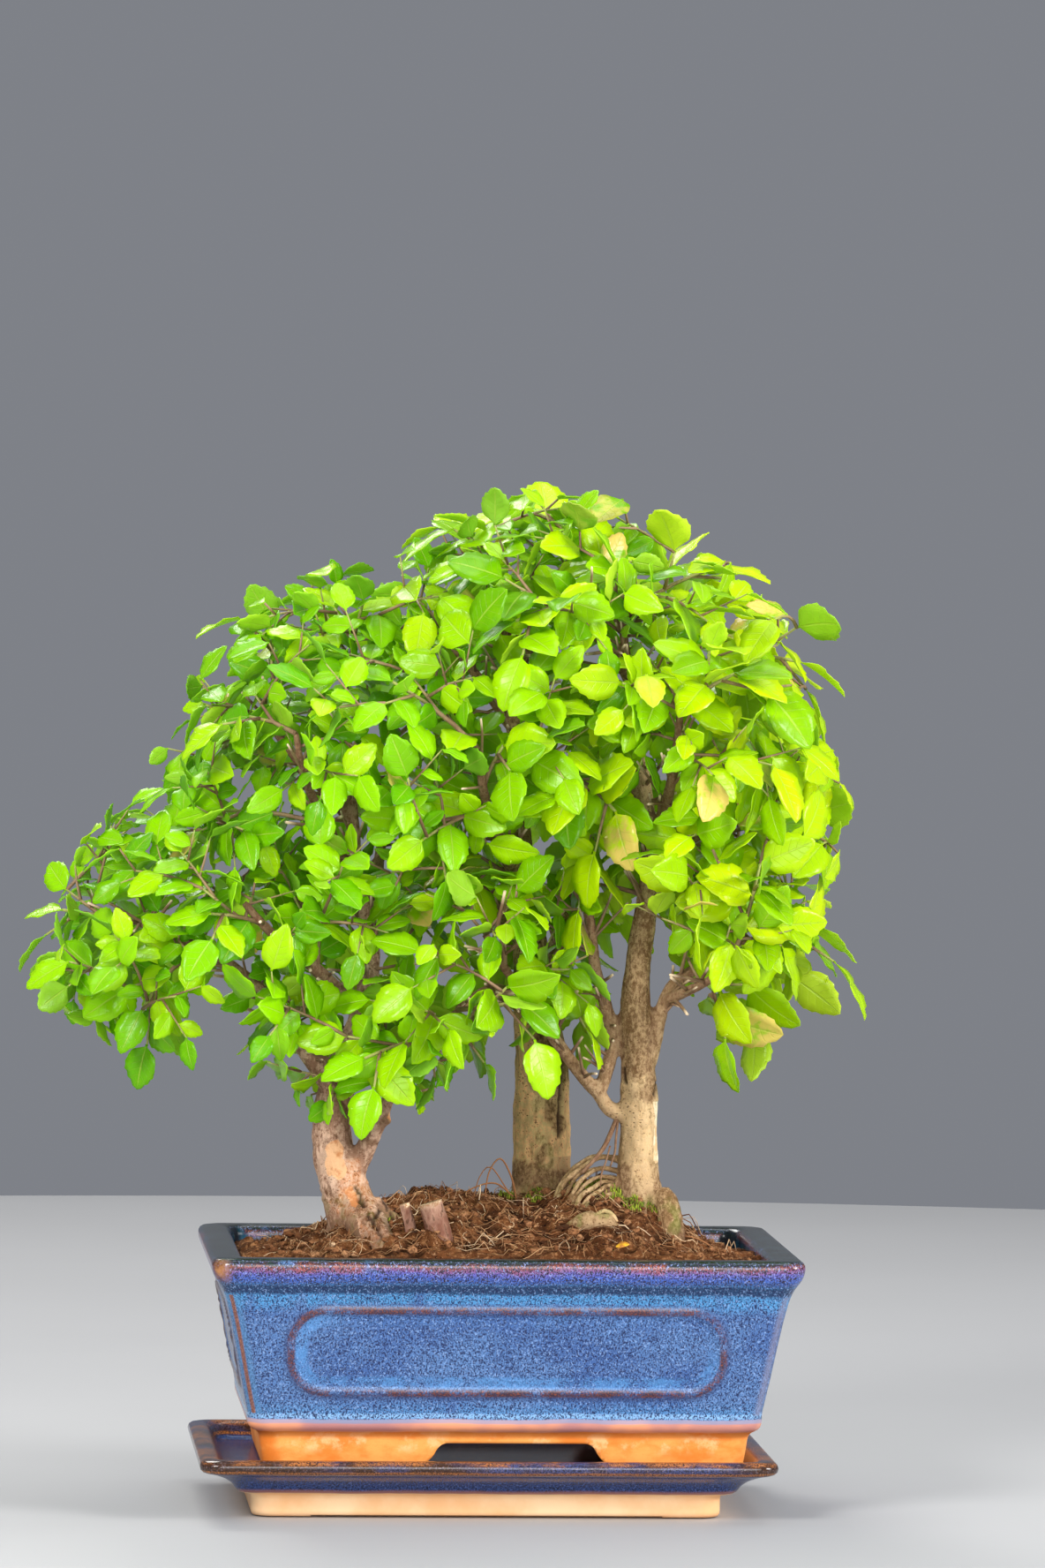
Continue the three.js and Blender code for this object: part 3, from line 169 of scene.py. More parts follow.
# Smooth random values from 0 to 1 at points, with features of the size given
def noise(points, size, seed):
    scaled = np.asarray(points, dtype=float) / size
    cell = np.floor(scaled).astype(np.int64)
    part = scaled - cell
    part = part * part * (3 - 2 * part)
    total = np.zeros(len(scaled))
    for corner in range(8):
        step = np.array([corner & 1, corner >> 1 & 1, corner >> 2 & 1])
        at = cell + step
        mixed = at[:, 0] * 374761393 + at[:, 1] * 668265263 + at[:, 2] * 1274126177 + seed * 97463477
        mixed &= 0xFFFFFFFF
        mixed = (mixed ^ (mixed >> 13)) * 1103515245 & 0xFFFFFFFF
        mixed = (mixed ^ (mixed >> 15)) * 2654435761 & 0xFFFFFFFF
        value = ((mixed ^ (mixed >> 16)) & 0xFFFF) / 65535
        weight = np.where(step == 1, part, 1 - part).prod(axis=1)
        total += value * weight
    return total


# Noise in layers, each finer and weaker than the last
def layered_noise(points, size, seed, layers=3):
    total = np.zeros(len(points))
    weight = 1.0
    most = 0.0
    for layer in range(layers):
        total += weight * noise(points, size / 2 ** layer, seed + 17 * layer)
        most += weight
        weight *= 0.5
    return total / most


# Short ways to build a material's nodes
class Nodes:
    def __init__(self, name):
        self.material = bpy.data.materials.new(name)
        self.material.use_nodes = True
        self.tree = self.material.node_tree
        self.shader = self.tree.nodes["Principled BSDF"]
        self.output = self.tree.nodes["Material Output"]

    def add(self, kind, **inputs):
        node = self.tree.nodes.new(kind)
        for key, value in inputs.items():
            self.set(node.inputs[key.replace("_", " ")], value)
        return node

    def set(self, socket, value):
        if isinstance(value, bpy.types.NodeSocket):
            self.tree.links.new(value, socket)
        elif hasattr(socket, "default_value"):
            socket.default_value = value

    def math(self, operation, first, second=0.0, third=0.0, clamp=False):
        node = self.tree.nodes.new("ShaderNodeMath")
        node.operation = operation
        node.use_clamp = clamp
        for socket, value in zip(node.inputs, (first, second, third)):
            self.set(socket, value)
        return node.outputs[0]

    def times(self, first, second):
        return self.math("MULTIPLY", first, second)

    def plus(self, first, second):
        return self.math("ADD", first, second)

    def minus(self, first, second):
        return self.math("SUBTRACT", first, second)

    def mix(self, share, first, second):
        node = self.tree.nodes.new("ShaderNodeMix")
        node.data_type = "RGBA"
        for socket, value in zip((node.inputs[0], node.inputs[6], node.inputs[7]), (share, first, second)):
            self.set(socket, value)
        return node.outputs[2]

    def ramp(self, value, stops):
        node = self.tree.nodes.new("ShaderNodeValToRGB")
        node.color_ramp.interpolation = "EASE"
        elements = node.color_ramp.elements
        while len(elements) < len(stops):
            elements.new(0.5)
        for element, (place, colour) in zip(elements, stops):
            element.position = place
            element.color = colour
        self.set(node.inputs[0], value)
        return node.outputs[0]

    # 0 below low and 1 above high, smooth between them
    def step(self, value, low, high):
        node = self.tree.nodes.new("ShaderNodeMapRange")
        node.interpolation_type = "SMOOTHSTEP"
        for key, number in (("From Min", low), ("From Max", high)):
            node.inputs[key].default_value = number
        self.set(node.inputs["Value"], value)
        return node.outputs["Result"]

    # One colour where a value is below low, another where it is above high
    def fade(self, value, low, high, first, second):
        return self.mix(self.step(value, low, high), first, second)

    # A colour with another laid over it, as strongly as a value says times an amount
    def tint(self, value, amount, first, second):
        return self.mix(self.times(value, amount), first, second)

    def place(self, scale=(1, 1, 1)):
        coordinates = self.tree.nodes.new("ShaderNodeTexCoord")
        mapping = self.add("ShaderNodeMapping", Vector=coordinates.outputs["Object"])
        mapping.inputs["Scale"].default_value = scale
        return mapping.outputs[0]

    def axes(self):
        coordinates = self.tree.nodes.new("ShaderNodeTexCoord")
        split = self.add("ShaderNodeSeparateXYZ", Vector=coordinates.outputs["Object"])
        return split.outputs

    def noise(self, where, scale, detail=3.0, roughness=0.55, distortion=0.0):
        node = self.add("ShaderNodeTexNoise", Vector=where, Scale=scale, Detail=detail,
                        Roughness=roughness, Distortion=distortion)
        return node.outputs["Fac"]

    def cells(self, where, scale):
        return self.add("ShaderNodeTexVoronoi", Vector=where, Scale=scale).outputs["Distance"]

    def value(self, name):
        node = self.tree.nodes.new("ShaderNodeAttribute")
        node.attribute_name = name
        return node.outputs["Fac"]

    def bump(self, height, distance, strength=1.0):
        node = self.add("ShaderNodeBump", Height=height, Distance=distance, Strength=strength)
        return node.outputs["Normal"]

    def finish(self, **inputs):
        for key, value in inputs.items():
            self.set(self.shader.inputs[key.replace("_", " ")], value)
        return self.material

    # A dull surface with a relief, such as bark or soil
    def matte(self, colour, roughness, height, distance):
        return self.finish(Base_Color=colour, Roughness=roughness, Normal=self.bump(height, distance),
                           Specular_IOR_Level=MATTE_SHINE)


# Specular level of dull things
MATTE_SHINE = 0.15


# A colour in the form that nodes take
def rgb(red, green, blue):
    return (red, green, blue, 1)


def floor_material():
    nodes = Nodes("floor")
    tone = nodes.noise(nodes.place(), 3.0)
    colour = nodes.mix(tone, rgb(0.40, 0.405, 0.415), rgb(0.44, 0.445, 0.455))
    return nodes.finish(Base_Color=colour, Roughness=0.6)


# Clearances and sizes shared with the CAD model, whose sprays are here in finer form
CROWN = [
    dict(x=-125, y=-5, z=256, rx=76, ry=92, rz=60, tree=0),
    dict(x=-59, y=0, z=332, rx=76, ry=110, rz=88, tree=0),
    dict(x=27, y=5, z=368, rx=76, ry=112, rz=86, tree=1),
    dict(x=92, y=-5, z=330, rx=68, ry=105, rz=106, tree=2),
    dict(x=117, y=0, z=258, rx=38, ry=62, rz=48, tree=2),
    dict(x=-11, y=-20, z=246, rx=60, ry=92, rz=46, tree=1),
    dict(x=-50, y=-34, z=206, rx=42, ry=62, rz=34, tree=0),
]
CROWN_DIRECTIONS = 90
CROWN_HIDDEN = 0.97
STEEPEST_DOWN = -0.8
ANCHOR_SCALE = 0.84
SPRAY_COUNT = 48
LOWEST_ANCHOR = 172
SPRAY_SEED = 5200
LEAF_LENGTHS = [21, 25, 27]
LEAF_WIDTH_RATIO = 0.7
LEAF_FOLD = 0.22
LEAF_CURL = 0.16
LEAF_CLEARANCE = 1.7
LEAF_SPACING = 11
LEAF_TRIES = 7
LEAF_TO_LIMB = 4
LEAF_TO_STEM = 1.1
STEM_RADIUS = 1.15
STEM_PARTS = 3
STEM_SPACING = 8
STEM_LEAVES = 4
STEM_TEST_STEP = 2.5
STEM_TO_LIMB = 2.2
STEM_TO_STEM = 2.4
STEM_FREE_LENGTH = 9
SHORTEST_STEM = 20
TWIG_RADIUS = 0.85
TWIG_COUNT = 2
TWIG_FREE_LENGTH = 4
TWIG_LEAVES = 2
TWIG_SHORTEST = 17
TWIG_LONGEST = 25
TWIG_PLACES = [(0.5, 0.6), (0.78, 2.9), (0.6, 4.9)]
PLACE_MARGIN = 1.8
LOWEST_SHARE = 0.12
LIMB_STEP = 7
LIMBS_TRIED = 24
SIDEWAYS_GUIDE = (0.3, 0.2, 1)
TWIG_FORWARD_LIMIT = 0.85
# What makes a limb a worse start for a stem: a way that runs along it or back, and its thickness
TURN_COST = 30
ALONG_LIMITS = (0.1, 0.7)
GIRTH_COST = 1.2
LIMB_PULL = 0.35
# Ways that a stem may swing aside when the straight one isn't free
SWINGS = [(0, 0, 0), (0, 0, 0.3), (0.3, 0, 0), (-0.3, 0, 0), (0, 0.3, 0), (0, -0.3, 0), (0, 0, -0.3)]
# How far leaves lean forwards and sideways, the first of a stem less than the others
LEAF_FORWARD = 0.6
FIRST_SIDEWAYS = 0.25
LEAF_FORWARD_LIMIT = 0.72

# How leaves face, how long they are and how they sway, droop and turn, here and on the extra stems
OWN_HABIT = dict(outward=0.8, up=(0, 0, 0.55), length=(0.86, 0.28), sway=(0.8, 0.5), droop=(0.12, 0.3),
                 turn=0.5, lowest=LOWEST_SHARE, clearance=LEAF_CLEARANCE)
FILL_HABIT = dict(outward=0.75, up=(0, -0.15, 0.6), length=(0.5, 0.55), sway=(1.0, 0.6), droop=(0.1, 0.4),
                  turn=1.7, lowest=0.1, clearance=0.55)
FILL_SPACING = 6.5
FILL_SPACING_SPREAD = 2


# Repeatable random numbers from 0 to 1
class Stream:
    def __init__(self, seed):
        self.state = seed & 0xFFFFFFFF

    def __call__(self):
        self.state = (self.state * 1664525 + 1013904223) & 0xFFFFFFFF
        return self.state / 4294967296


def vector(x, y, z):
    return np.array([x, y, z], dtype=float)


def unit(values):
    return values / math.sqrt(float(values @ values))


def between(low, high, share):
    return low + (high - low) * share


# A direction's part that is square to another direction, near a guide
def square_to(direction, guide):
    return unit(guide - direction * float(guide @ direction))


# A stem or twig as the corners of its course
class Stem:
    def __init__(self, knots, radius, owner):
        self.knots = [np.asarray(knot, dtype=float) for knot in knots]
        self.radius = radius
        self.owner = owner
        self.length = float(np.linalg.norm(self.knots[-1] - self.knots[0]))
        count = max(3, math.floor(self.length / STEM_TEST_STEP + 0.5))
        self.points = np.array([self.point(index / count) for index in range(count + 1)])
        self.share = 0.0

    def point(self, share):
        parts = len(self.knots) - 1
        part = min(parts - 1, math.floor(share * parts))
        return between(self.knots[part], self.knots[part + 1], share * parts - part)

    def direction(self, share):
        parts = len(self.knots) - 1
        part = min(parts - 1, math.floor(share * parts))
        return unit(self.knots[part + 1] - self.knots[part])


def bent_knots(start, control, end, parts):
    shares = [index / parts for index in range(parts + 1)]
    return [start * (1 - s) ** 2 + control * 2 * (1 - s) * s + end * s * s for s in shares]


# Points along every limb, with the radius and direction there
class Limbs:
    def __init__(self, trees):
        rows = []
        for tree_index, tree in enumerate(trees):
            for limb_index, points in enumerate(tree["limbs"]):
                for index in range(len(points) - 1):
                    start = vector(*points[index][:3])
                    step = vector(*points[index + 1][:3]) - start
                    low, high = points[index][3], points[index + 1][3]
                    count = max(1, math.floor(float(np.linalg.norm(step)) / LIMB_STEP + 0.5))
                    is_last = index + 2 == len(points)
                    for part in range(count + (1 if is_last else 0)):
                        share = part / count
                        bears = index > 0 or limb_index > 0
                        rows.append((*(start + step * share), between(low, high, share), *unit(step),
                                     tree_index, is_last and part == count, bears))
        table = np.array(rows, dtype=float)
        self.points = table[:, 0:3]
        self.radii = table[:, 3]
        self.directions = table[:, 4:7]
        self.trees = table[:, 7].astype(int)
        self.is_tip = table[:, 8] > 0
        self.may_bear = table[:, 9] > 0


# How deep points lie in a mass of foliage: below 1 they are inside
def mass_depth(mass, point, scale):
    x = (point[..., 0] - mass["x"]) / (mass["rx"] * scale)
    y = (point[..., 1] - mass["y"]) / (mass["ry"] * scale)
    z = (point[..., 2] - mass["z"]) / (mass["rz"] * scale)
    return np.sqrt(x * x + y * y + z * z)


# Points spread evenly over the crown at a share of its size, each with its way out and tree
def crown_anchors(count, scale, directions, first=None):
    golden_turn = math.pi * (3 - math.sqrt(5))
    places = []
    outwards = []
    trees = []
    for mass in CROWN:
        for index in range(directions):
            rise = 1 - 2 * (index + 0.5) / directions
            level = math.sqrt(1 - rise * rise)
            turn = golden_turn * index
            point = vector(
                mass["x"] + mass["rx"] * scale * level * math.cos(turn),
                mass["y"] + mass["ry"] * scale * level * math.sin(turn),
                mass["z"] + mass["rz"] * scale * rise,
            )
            outward = unit(vector(
                (point[0] - mass["x"]) / (mass["rx"] * mass["rx"]),
                (point[1] - mass["y"]) / (mass["ry"] * mass["ry"]),
                (point[2] - mass["z"]) / (mass["rz"] * mass["rz"]),
            ))
            hidden = any(
                other is not mass and mass_depth(other, point, scale) < CROWN_HIDDEN for other in CROWN
            )
            if not hidden and point[2] > LOWEST_ANCHOR and outward[2] > STEEPEST_DOWN:
                places.append(point)
                outwards.append(outward)
                trees.append(mass["tree"])
    places = np.array(places)
    nearest = np.full(len(places), np.inf)
    if first is not None:
        for point in first:
            nearest = np.minimum(nearest, np.linalg.norm(places - point, axis=1))
        pick = int(np.argmax(nearest))
    else:
        pick = int(np.argmin(places[:, 0]))
    chosen = []
    while len(chosen) < count:
        chosen.append(dict(point=places[pick], outward=outwards[pick], tree=trees[pick]))
        nearest = np.minimum(nearest, np.linalg.norm(places - places[pick], axis=1))
        pick = int(np.argmax(nearest))
    return chosen


def stem_is_clear(stem, limbs, stems, free_length):
    far = np.linalg.norm(stem.points - stem.knots[0], axis=1) >= free_length
    points = stem.points[far]
    if not len(points):
        return True
    gaps = np.linalg.norm(points[:, None] - limbs.points[None], axis=2)
    if (gaps < limbs.radii[None] + stem.radius + STEM_TO_LIMB).any():
        return False
    for other in stems:
        if other.owner == stem.owner:
            continue
        gaps = np.linalg.norm(points[:, None] - other.points[None], axis=2)
        if (gaps <= other.radius + stem.radius + STEM_TO_STEM).any():
            return False
    return True


# The main stem of a spray, from the best limb that leaves it a clear way to its anchor
def find_stem(anchor, index, limbs, stems):
    to_anchor = anchor["point"] - limbs.points
    distance = np.linalg.norm(to_anchor, axis=1)
    along = (to_anchor * limbs.directions).sum(axis=1) / distance
    low, high = ALONG_LIMITS
    penalty = TURN_COST * np.maximum(0, along - high) + TURN_COST * np.maximum(0, low - along)
    cost = distance + np.where(limbs.is_tip, 0, penalty) + GIRTH_COST * limbs.radii
    allowed = limbs.may_bear & (distance > SHORTEST_STEM + limbs.radii)
    order = [number for number in np.argsort(cost, kind="stable") if allowed[number]][:LIMBS_TRIED]
    for number in order:
        start = limbs.points[number]
        if any(np.linalg.norm(stem.knots[0] - start) < STEM_SPACING for stem in stems):
            continue
        for swing in SWINGS:
            lead = unit(anchor["point"] - start)
            lead = unit(lead + LIMB_PULL * limbs.directions[number] + vector(*swing))
            control = start + lead * (0.5 * distance[number])
            knots = bent_knots(start, control, anchor["point"], STEM_PARTS)
            stem = Stem(knots, STEM_RADIUS, index)
            if stem_is_clear(stem, limbs, stems, limbs.radii[number] + STEM_FREE_LENGTH):
                return stem
    return None


# A straight twig of a stem, and how nearly it points along that stem
def grow_twig(stem, share, angle, reach, forward, outward, radius):
    along = stem.direction(share)
    first = square_to(along, vector(*SIDEWAYS_GUIDE))
    second = np.cross(along, first)
    way = unit(forward * along + math.cos(angle) * first + math.sin(angle) * second + 0.5 * outward)
    start = stem.point(share)
    twig = Stem([start, start + way * reach], radius, stem.owner)
    twig.share = share
    return twig, way @ along


# The stems of the sprays, each with its twigs
def grow_stems(anchors, limbs):
    stems = []
    sprays = []
    for index, anchor in enumerate(anchors):
        main = find_stem(anchor, index, limbs, stems)
        if main is None:
            continue
        others = list(stems)
        stems.append(main)
        spray = dict(index=index, anchor=anchor, stem=main, twigs=[])
        draw = Stream(SPRAY_SEED + 31 * index)
        for share, turn in TWIG_PLACES:
            angle = turn + 1.2 * draw()
            reach = between(TWIG_SHORTEST, TWIG_LONGEST, draw())
            if len(spray["twigs"]) == TWIG_COUNT:
                break
            twig, forwardness = grow_twig(main, share, angle, reach, 0.55, anchor["outward"], TWIG_RADIUS)
            leaves_stem = forwardness < TWIG_FORWARD_LIMIT
            if leaves_stem and stem_is_clear(twig, limbs, others, TWIG_FREE_LENGTH):
                spray["twigs"].append(twig)
                stems.append(twig)
        sprays.append(spray)
    return sprays, stems


# Half width of a leaf at a share of its length, as a share of its greatest half width
def leaf_spread(share):
    share = np.clip(share, 0, 1)
    return np.minimum(1, 2.42 * share ** 0.55 * (1 - share) ** 0.75)


# A leaf at a stem, given where it points and faces
class Leaf:
    def __init__(self, base, axis, face, length, owner, stem):
        self.base = base
        self.axis = axis
        self.normal = square_to(axis, face)
        self.side = np.cross(axis, self.normal)
        self.length = length
        self.half_width = length * LEAF_WIDTH_RATIO / 2
        self.centre = base + axis * (length / 2)
        self.owner = owner
        self.stem = stem
        self.share = 0.0
        self.reach = 1.0
        self.samples = self.spread_samples()

    def rise(self, along, across):
        share = along / self.length
        return LEAF_FOLD * np.abs(across) - LEAF_CURL * self.length * share * share

    def spread_samples(self):
        shares = np.repeat(np.arange(1, 9) / 8, 5)
        across = np.tile([-1, -0.5, 0, 0.5, 1], 8) * leaf_spread(shares)
        along = shares * self.length
        offset = across * self.half_width
        return (self.base + along[:, None] * self.axis + offset[:, None] * self.side
                + self.rise(along, offset)[:, None] * self.normal)

    # Which points lie in or close to the blade
    def near(self, points, clearance):
        offset = points - self.base
        along = offset @ self.axis
        across = offset @ self.side
        share = np.clip(along / self.length, 0.03, 0.97)
        inside = (along >= -1) & (along <= self.length + 1)
        inside &= np.abs(across) <= self.half_width * leaf_spread(share) + 1.3
        return inside & (np.abs(offset @ self.normal - self.rise(along, across)) < clearance)


# Everything that leaves keep clear of
class World:
    def __init__(self, limbs, stems):
        self.limbs = limbs
        self.stems = list(stems)
        self.leaves = []
        self.centres = np.zeros((4096, 3))
        self.lengths = np.zeros(4096)

    def add_leaf(self, leaf):
        number = len(self.leaves)
        self.centres[number] = leaf.centre
        self.lengths[number] = leaf.length
        self.leaves.append(leaf)

    def is_clear(self, leaf, clearance):
        count = len(self.leaves)
        gaps = np.linalg.norm(self.centres[:count] - leaf.centre, axis=1)
        for number in np.nonzero(gaps <= (leaf.length + self.lengths[:count]) / 2 + 3)[0]:
            other = self.leaves[number]
            if other.near(leaf.samples, clearance).any() or leaf.near(other.samples, clearance).any():
                return False
        for stem in self.stems:
            if stem is leaf.stem:
                continue
            if np.abs(stem.points[0] - leaf.centre).max() > leaf.length + stem.length + 4:
                continue
            away = np.linalg.norm(stem.points - leaf.base, axis=1) > 4
            if (away & leaf.near(stem.points, stem.radius + LEAF_TO_STEM)).any():
                return False
        limb_gaps = np.linalg.norm(self.limbs.points - leaf.centre, axis=1)
        for number in np.nonzero(limb_gaps <= leaf.length + self.limbs.radii)[0]:
            gaps = np.linalg.norm(leaf.samples - self.limbs.points[number], axis=1)
            if (gaps < self.limbs.radii[number] + LEAF_TO_LIMB).any():
                return False
        return True


# Whether a place on a stem is free of twigs and of the stem's corners
def place_is_free(spray, stem, share):
    parts = len(stem.knots) - 1
    nearest_corner = math.floor(share * parts + 0.5)
    if abs(share * parts - nearest_corner) / parts * stem.length < PLACE_MARGIN:
        return False
    if stem is not spray["stem"]:
        return True
    return all(abs(twig.share - share) * stem.length > PLACE_MARGIN + 1 for twig in spray["twigs"])


# The leaves of one stem: one at its tip, the others by turns on its two sides
def grow_leaves(spray, stem, count, draw, world, habit, reach=1.0):
    anchor = spray["anchor"]
    fills = habit is FILL_HABIT
    facing = unit(habit["outward"] * anchor["outward"] + vector(*habit["up"]))
    share = 1.0
    for index in range(count):
        if index > 0:
            spacing = FILL_SPACING + FILL_SPACING_SPREAD * draw() if fills else LEAF_SPACING
            share -= spacing / stem.length
        while not fills and index > 0 and share > LOWEST_SHARE and not place_is_free(spray, stem, share):
            share -= 0.5 / stem.length
        if share < habit["lowest"]:
            return
        start = stem.point(share)
        along = stem.direction(min(share, 0.99))
        flat = np.cross(along, facing)
        spread = float(np.linalg.norm(flat))
        first = unit(flat) if spread > 0.25 else square_to(along, vector(0.8, 0.3, 0.5))
        second = np.cross(along, first)
        shortest, longer = habit["length"]
        length = LEAF_LENGTHS[anchor["tree"]] * (shortest + longer * draw())
        side_reach = FIRST_SIDEWAYS if index == 0 else 1
        for attempt in range(LEAF_TRIES):
            sway = (draw() - 0.5) * (habit["sway"][0] + 2.4 * (1 - spread) + habit["sway"][1] * attempt)
            angle = (index % 2) * math.pi + sway
            axis = LEAF_FORWARD * along + side_reach * (math.cos(angle) * first + math.sin(angle) * second)
            axis[2] -= habit["droop"][0] + habit["droop"][1] * draw()
            axis = unit(axis)
            face = facing + habit["turn"] * vector(draw() - 0.5, draw() - 0.5, draw() - 0.5)
            if not fills and index > 0 and axis @ along > LEAF_FORWARD_LIMIT:
                continue
            leaf = Leaf(start, axis, face, length, spray["index"], stem)
            leaf.share = share
            leaf.reach = reach
            if fills:
                leaf.half_width *= 0.84 + 0.22 * draw()
            if (not fills or crown_room(leaf, draw)) and world.is_clear(leaf, habit["clearance"]):
                world.add_leaf(leaf)
                break


# The limbs of each tree, from its foot outwards, as x, y, z and radius
TREES = [
  {
    "name": "left",
    "limbs": [
      [[-50, -19, 100, 13.5], [-53, -20, 115, 13.4], [-57, -20, 126, 12.4], [-62, -20, 142, 10.7],
        [-67, -19, 157, 9.3], [-68, -18, 171, 8.6], [-66, -16, 184, 8.2], [-62, -13, 197, 7.2],
        [-56, -9, 212, 5.8], [-52, -5, 229, 5.0], [-51, 0, 252, 4.4], [-57, 3, 276, 3.8],
        [-59, 5, 303, 3.1], [-61, 5, 331, 2.4], [-63, 5, 360, 1.7]],
      [[-65, -16, 182, 5.4], [-77, -24, 199, 4.8], [-93, -30, 220, 3.8], [-111, -30, 238, 3.0],
        [-132, -25, 250, 2.4], [-154, -16, 258, 1.8]],
      [[-60, -20, 146, 6.0], [-52, -26, 162, 4.4], [-47, -30, 173, 3.4], [-42, -34, 186, 2.8],
        [-33, -46, 203, 2.3], [-24, -60, 219, 1.8]],
      [[-48, -29, 170, 2.6], [-43, -33, 173, 1.9]],
      [[-51, -27, 164, 2.0], [-63, -32, 183, 1.8], [-70, -36, 199, 1.6]],
      [[-52, -5, 233, 4.0], [-73, 25, 257, 3.2], [-96, 52, 277, 2.5], [-112, 66, 290, 1.8]],
      [[-54, -8, 217, 4.2], [-76, -45, 239, 3.2], [-97, -66, 256, 2.4], [-110, -72, 270, 1.8]],
      [[-51, 0, 252, 3.6], [-46, 36, 278, 2.8], [-42, 66, 303, 2.2], [-46, 78, 326, 1.7]],
      [[-57, 2, 276, 3.2], [-73, -34, 303, 2.6], [-84, -58, 326, 2.0], [-88, -66, 344, 1.6]],
      [[-59, 5, 303, 2.8], [-82, 10, 328, 2.2], [-98, 14, 348, 1.7]],
    ],
  },
  {
    "name": "middle",
    "limbs": [
      [[30, 15, 108, 14.5], [29, 15, 130, 14.2], [28, 15, 146, 13.4], [28, 15, 173, 12.7],
        [27, 15, 197, 12.0], [24, 15, 225, 9.6], [21, 15, 256, 7.4], [17, 15, 292, 5.6],
        [15, 15, 327, 4.2], [11, 12, 363, 2.9], [8, 10, 392, 1.9]],
      [[24, 15, 225, 6.0], [38, 46, 252, 4.2], [46, 66, 276, 3.0], [50, 76, 300, 2.0]],
      [[22, 15, 248, 4.8], [1, 14, 270, 3.4], [-13, 8, 292, 2.5], [-20, 2, 316, 1.8]],
      [[20, 15, 272, 4.6], [6, -28, 294, 3.4], [-4, -56, 316, 2.4], [-8, -70, 338, 1.8]],
      [[17, 15, 300, 4.2], [4, 46, 320, 3.0], [-5, 70, 342, 2.2], [-8, 78, 362, 1.7]],
      [[13, 14, 345, 3.2], [-4, 17, 369, 2.4], [-18, 18, 386, 1.8]],
      [[11, 12, 363, 2.6], [24, 42, 384, 2.1], [32, 58, 398, 1.6]],
      [[25, 15, 217, 5.0], [6, -14, 229, 3.4], [-8, -52, 228, 2.4], [-16, -72, 224, 1.8]],
    ],
  },
  {
    "name": "right",
    "limbs": [
      [[70, -15, 106, 13.0], [70, -15, 128, 12.4], [69, -15, 140, 10.2], [69, -15, 164, 8.2],
        [69, -15, 183, 8.4], [68, -15, 203, 7.3], [67, -15, 223, 6.8], [68, -14, 242, 6.1],
        [71, -12, 264, 5.1], [73, -10, 285, 4.5], [71, -8, 313, 3.9], [67, -5, 340, 3.3],
        [63, -3, 368, 2.6], [60, 0, 394, 1.8]],
      [[68, -15, 174, 5.0], [56, -16, 177, 3.6], [51, -17, 184, 3.3], [44, -19, 191, 3.1],
        [33, -25, 205, 3.0], [21, -35, 221, 2.6], [6, -56, 241, 2.1], [-4, -68, 257, 1.7]],
      [[51, -17, 184, 3.2], [54, -16, 193, 3.1], [57, -14, 208, 3.1], [53, -12, 226, 2.9],
        [49, -10, 240, 2.7], [47, -8, 258, 2.5], [43, -12, 277, 2.2], [42, -22, 301, 1.9],
        [38, -40, 324, 1.6]],
      [[70, -15, 190, 4.6], [75, -15, 204, 3.5], [80, -12, 225, 3.1], [87, -10, 235, 2.8],
        [103, -5, 243, 2.2], [120, 4, 252, 1.7]],
      [[71, -12, 264, 4.0], [87, 22, 284, 3.1], [102, 46, 302, 2.4], [110, 58, 322, 1.8]],
      [[72, -10, 293, 3.6], [77, -42, 314, 2.8], [79, -64, 336, 2.2], [80, -74, 356, 1.7]],
      [[71, -8, 313, 3.4], [62, 24, 331, 2.7], [60, 52, 352, 2.1], [62, 68, 370, 1.6]],
      [[67, -5, 340, 2.9], [85, -6, 362, 2.3], [100, -4, 378, 1.7]],
      [[63, -3, 368, 2.4], [48, -34, 388, 2.0], [40, -50, 402, 1.6]],
      [[80, -12, 225, 2.8], [92, -38, 233, 2.2], [103, -58, 241, 1.7]],
    ],
  },
]


# The thin roots that arch from the right trunk, the stumps and the soil, as in the CAD model
ROOT_RADIUS = 1.25
ROOT_COUNT = 9
ROOT_SEED = 900
ROOT_START = dict(x=62, y=-17, z_low=134, z_high=159)
ROOT_CREST = dict(x_near=55, x_far=42, z_low=139, z_high=157)
ROOT_FOOT = dict(x_near=53, x_far=31, y=-34, depth=6)
STUMPS = {
    "stump_large": [[-19, -55, 108, 6.6], [-21, -55, 122, 6.4], [-26, -55, 138, 6.0]],
    "stump_small": [[-33, -49, 112, 4.0], [-34, -49, 126, 3.6], [-37, -49, 137, 3.2]],
}
POT_X = 7
POT_HALF_X = 130
POT_HALF_Y = 96.5
POT_TOP = 116
POT_RIM_WIDTH = 14.3
POT_CORNER = 9
POT_FLOOR_TOP = 45
TRAY_FLOOR = 19
SOIL_EDGE_Z = 109
SOIL_FRONT_RISE = 3.5
SOIL_MOUNDS = [
    dict(x=-40, y=-6, height=18, spread_x=32, spread_y=40),
    dict(x=15, y=8, height=21, spread_x=40, spread_y=42),
    dict(x=62, y=-6, height=24, spread_x=22, spread_y=34),
]


# Height of the soil's surface
def soil_height(x, y):
    height = SOIL_EDGE_Z - SOIL_FRONT_RISE * y / POT_HALF_Y
    for mound in SOIL_MOUNDS:
        along_x = (x - mound["x"]) / mound["spread_x"]
        along_y = (y - mound["y"]) / mound["spread_y"]
        height = height + mound["height"] * np.exp(-(along_x * along_x + along_y * along_y) / 2)
    return height


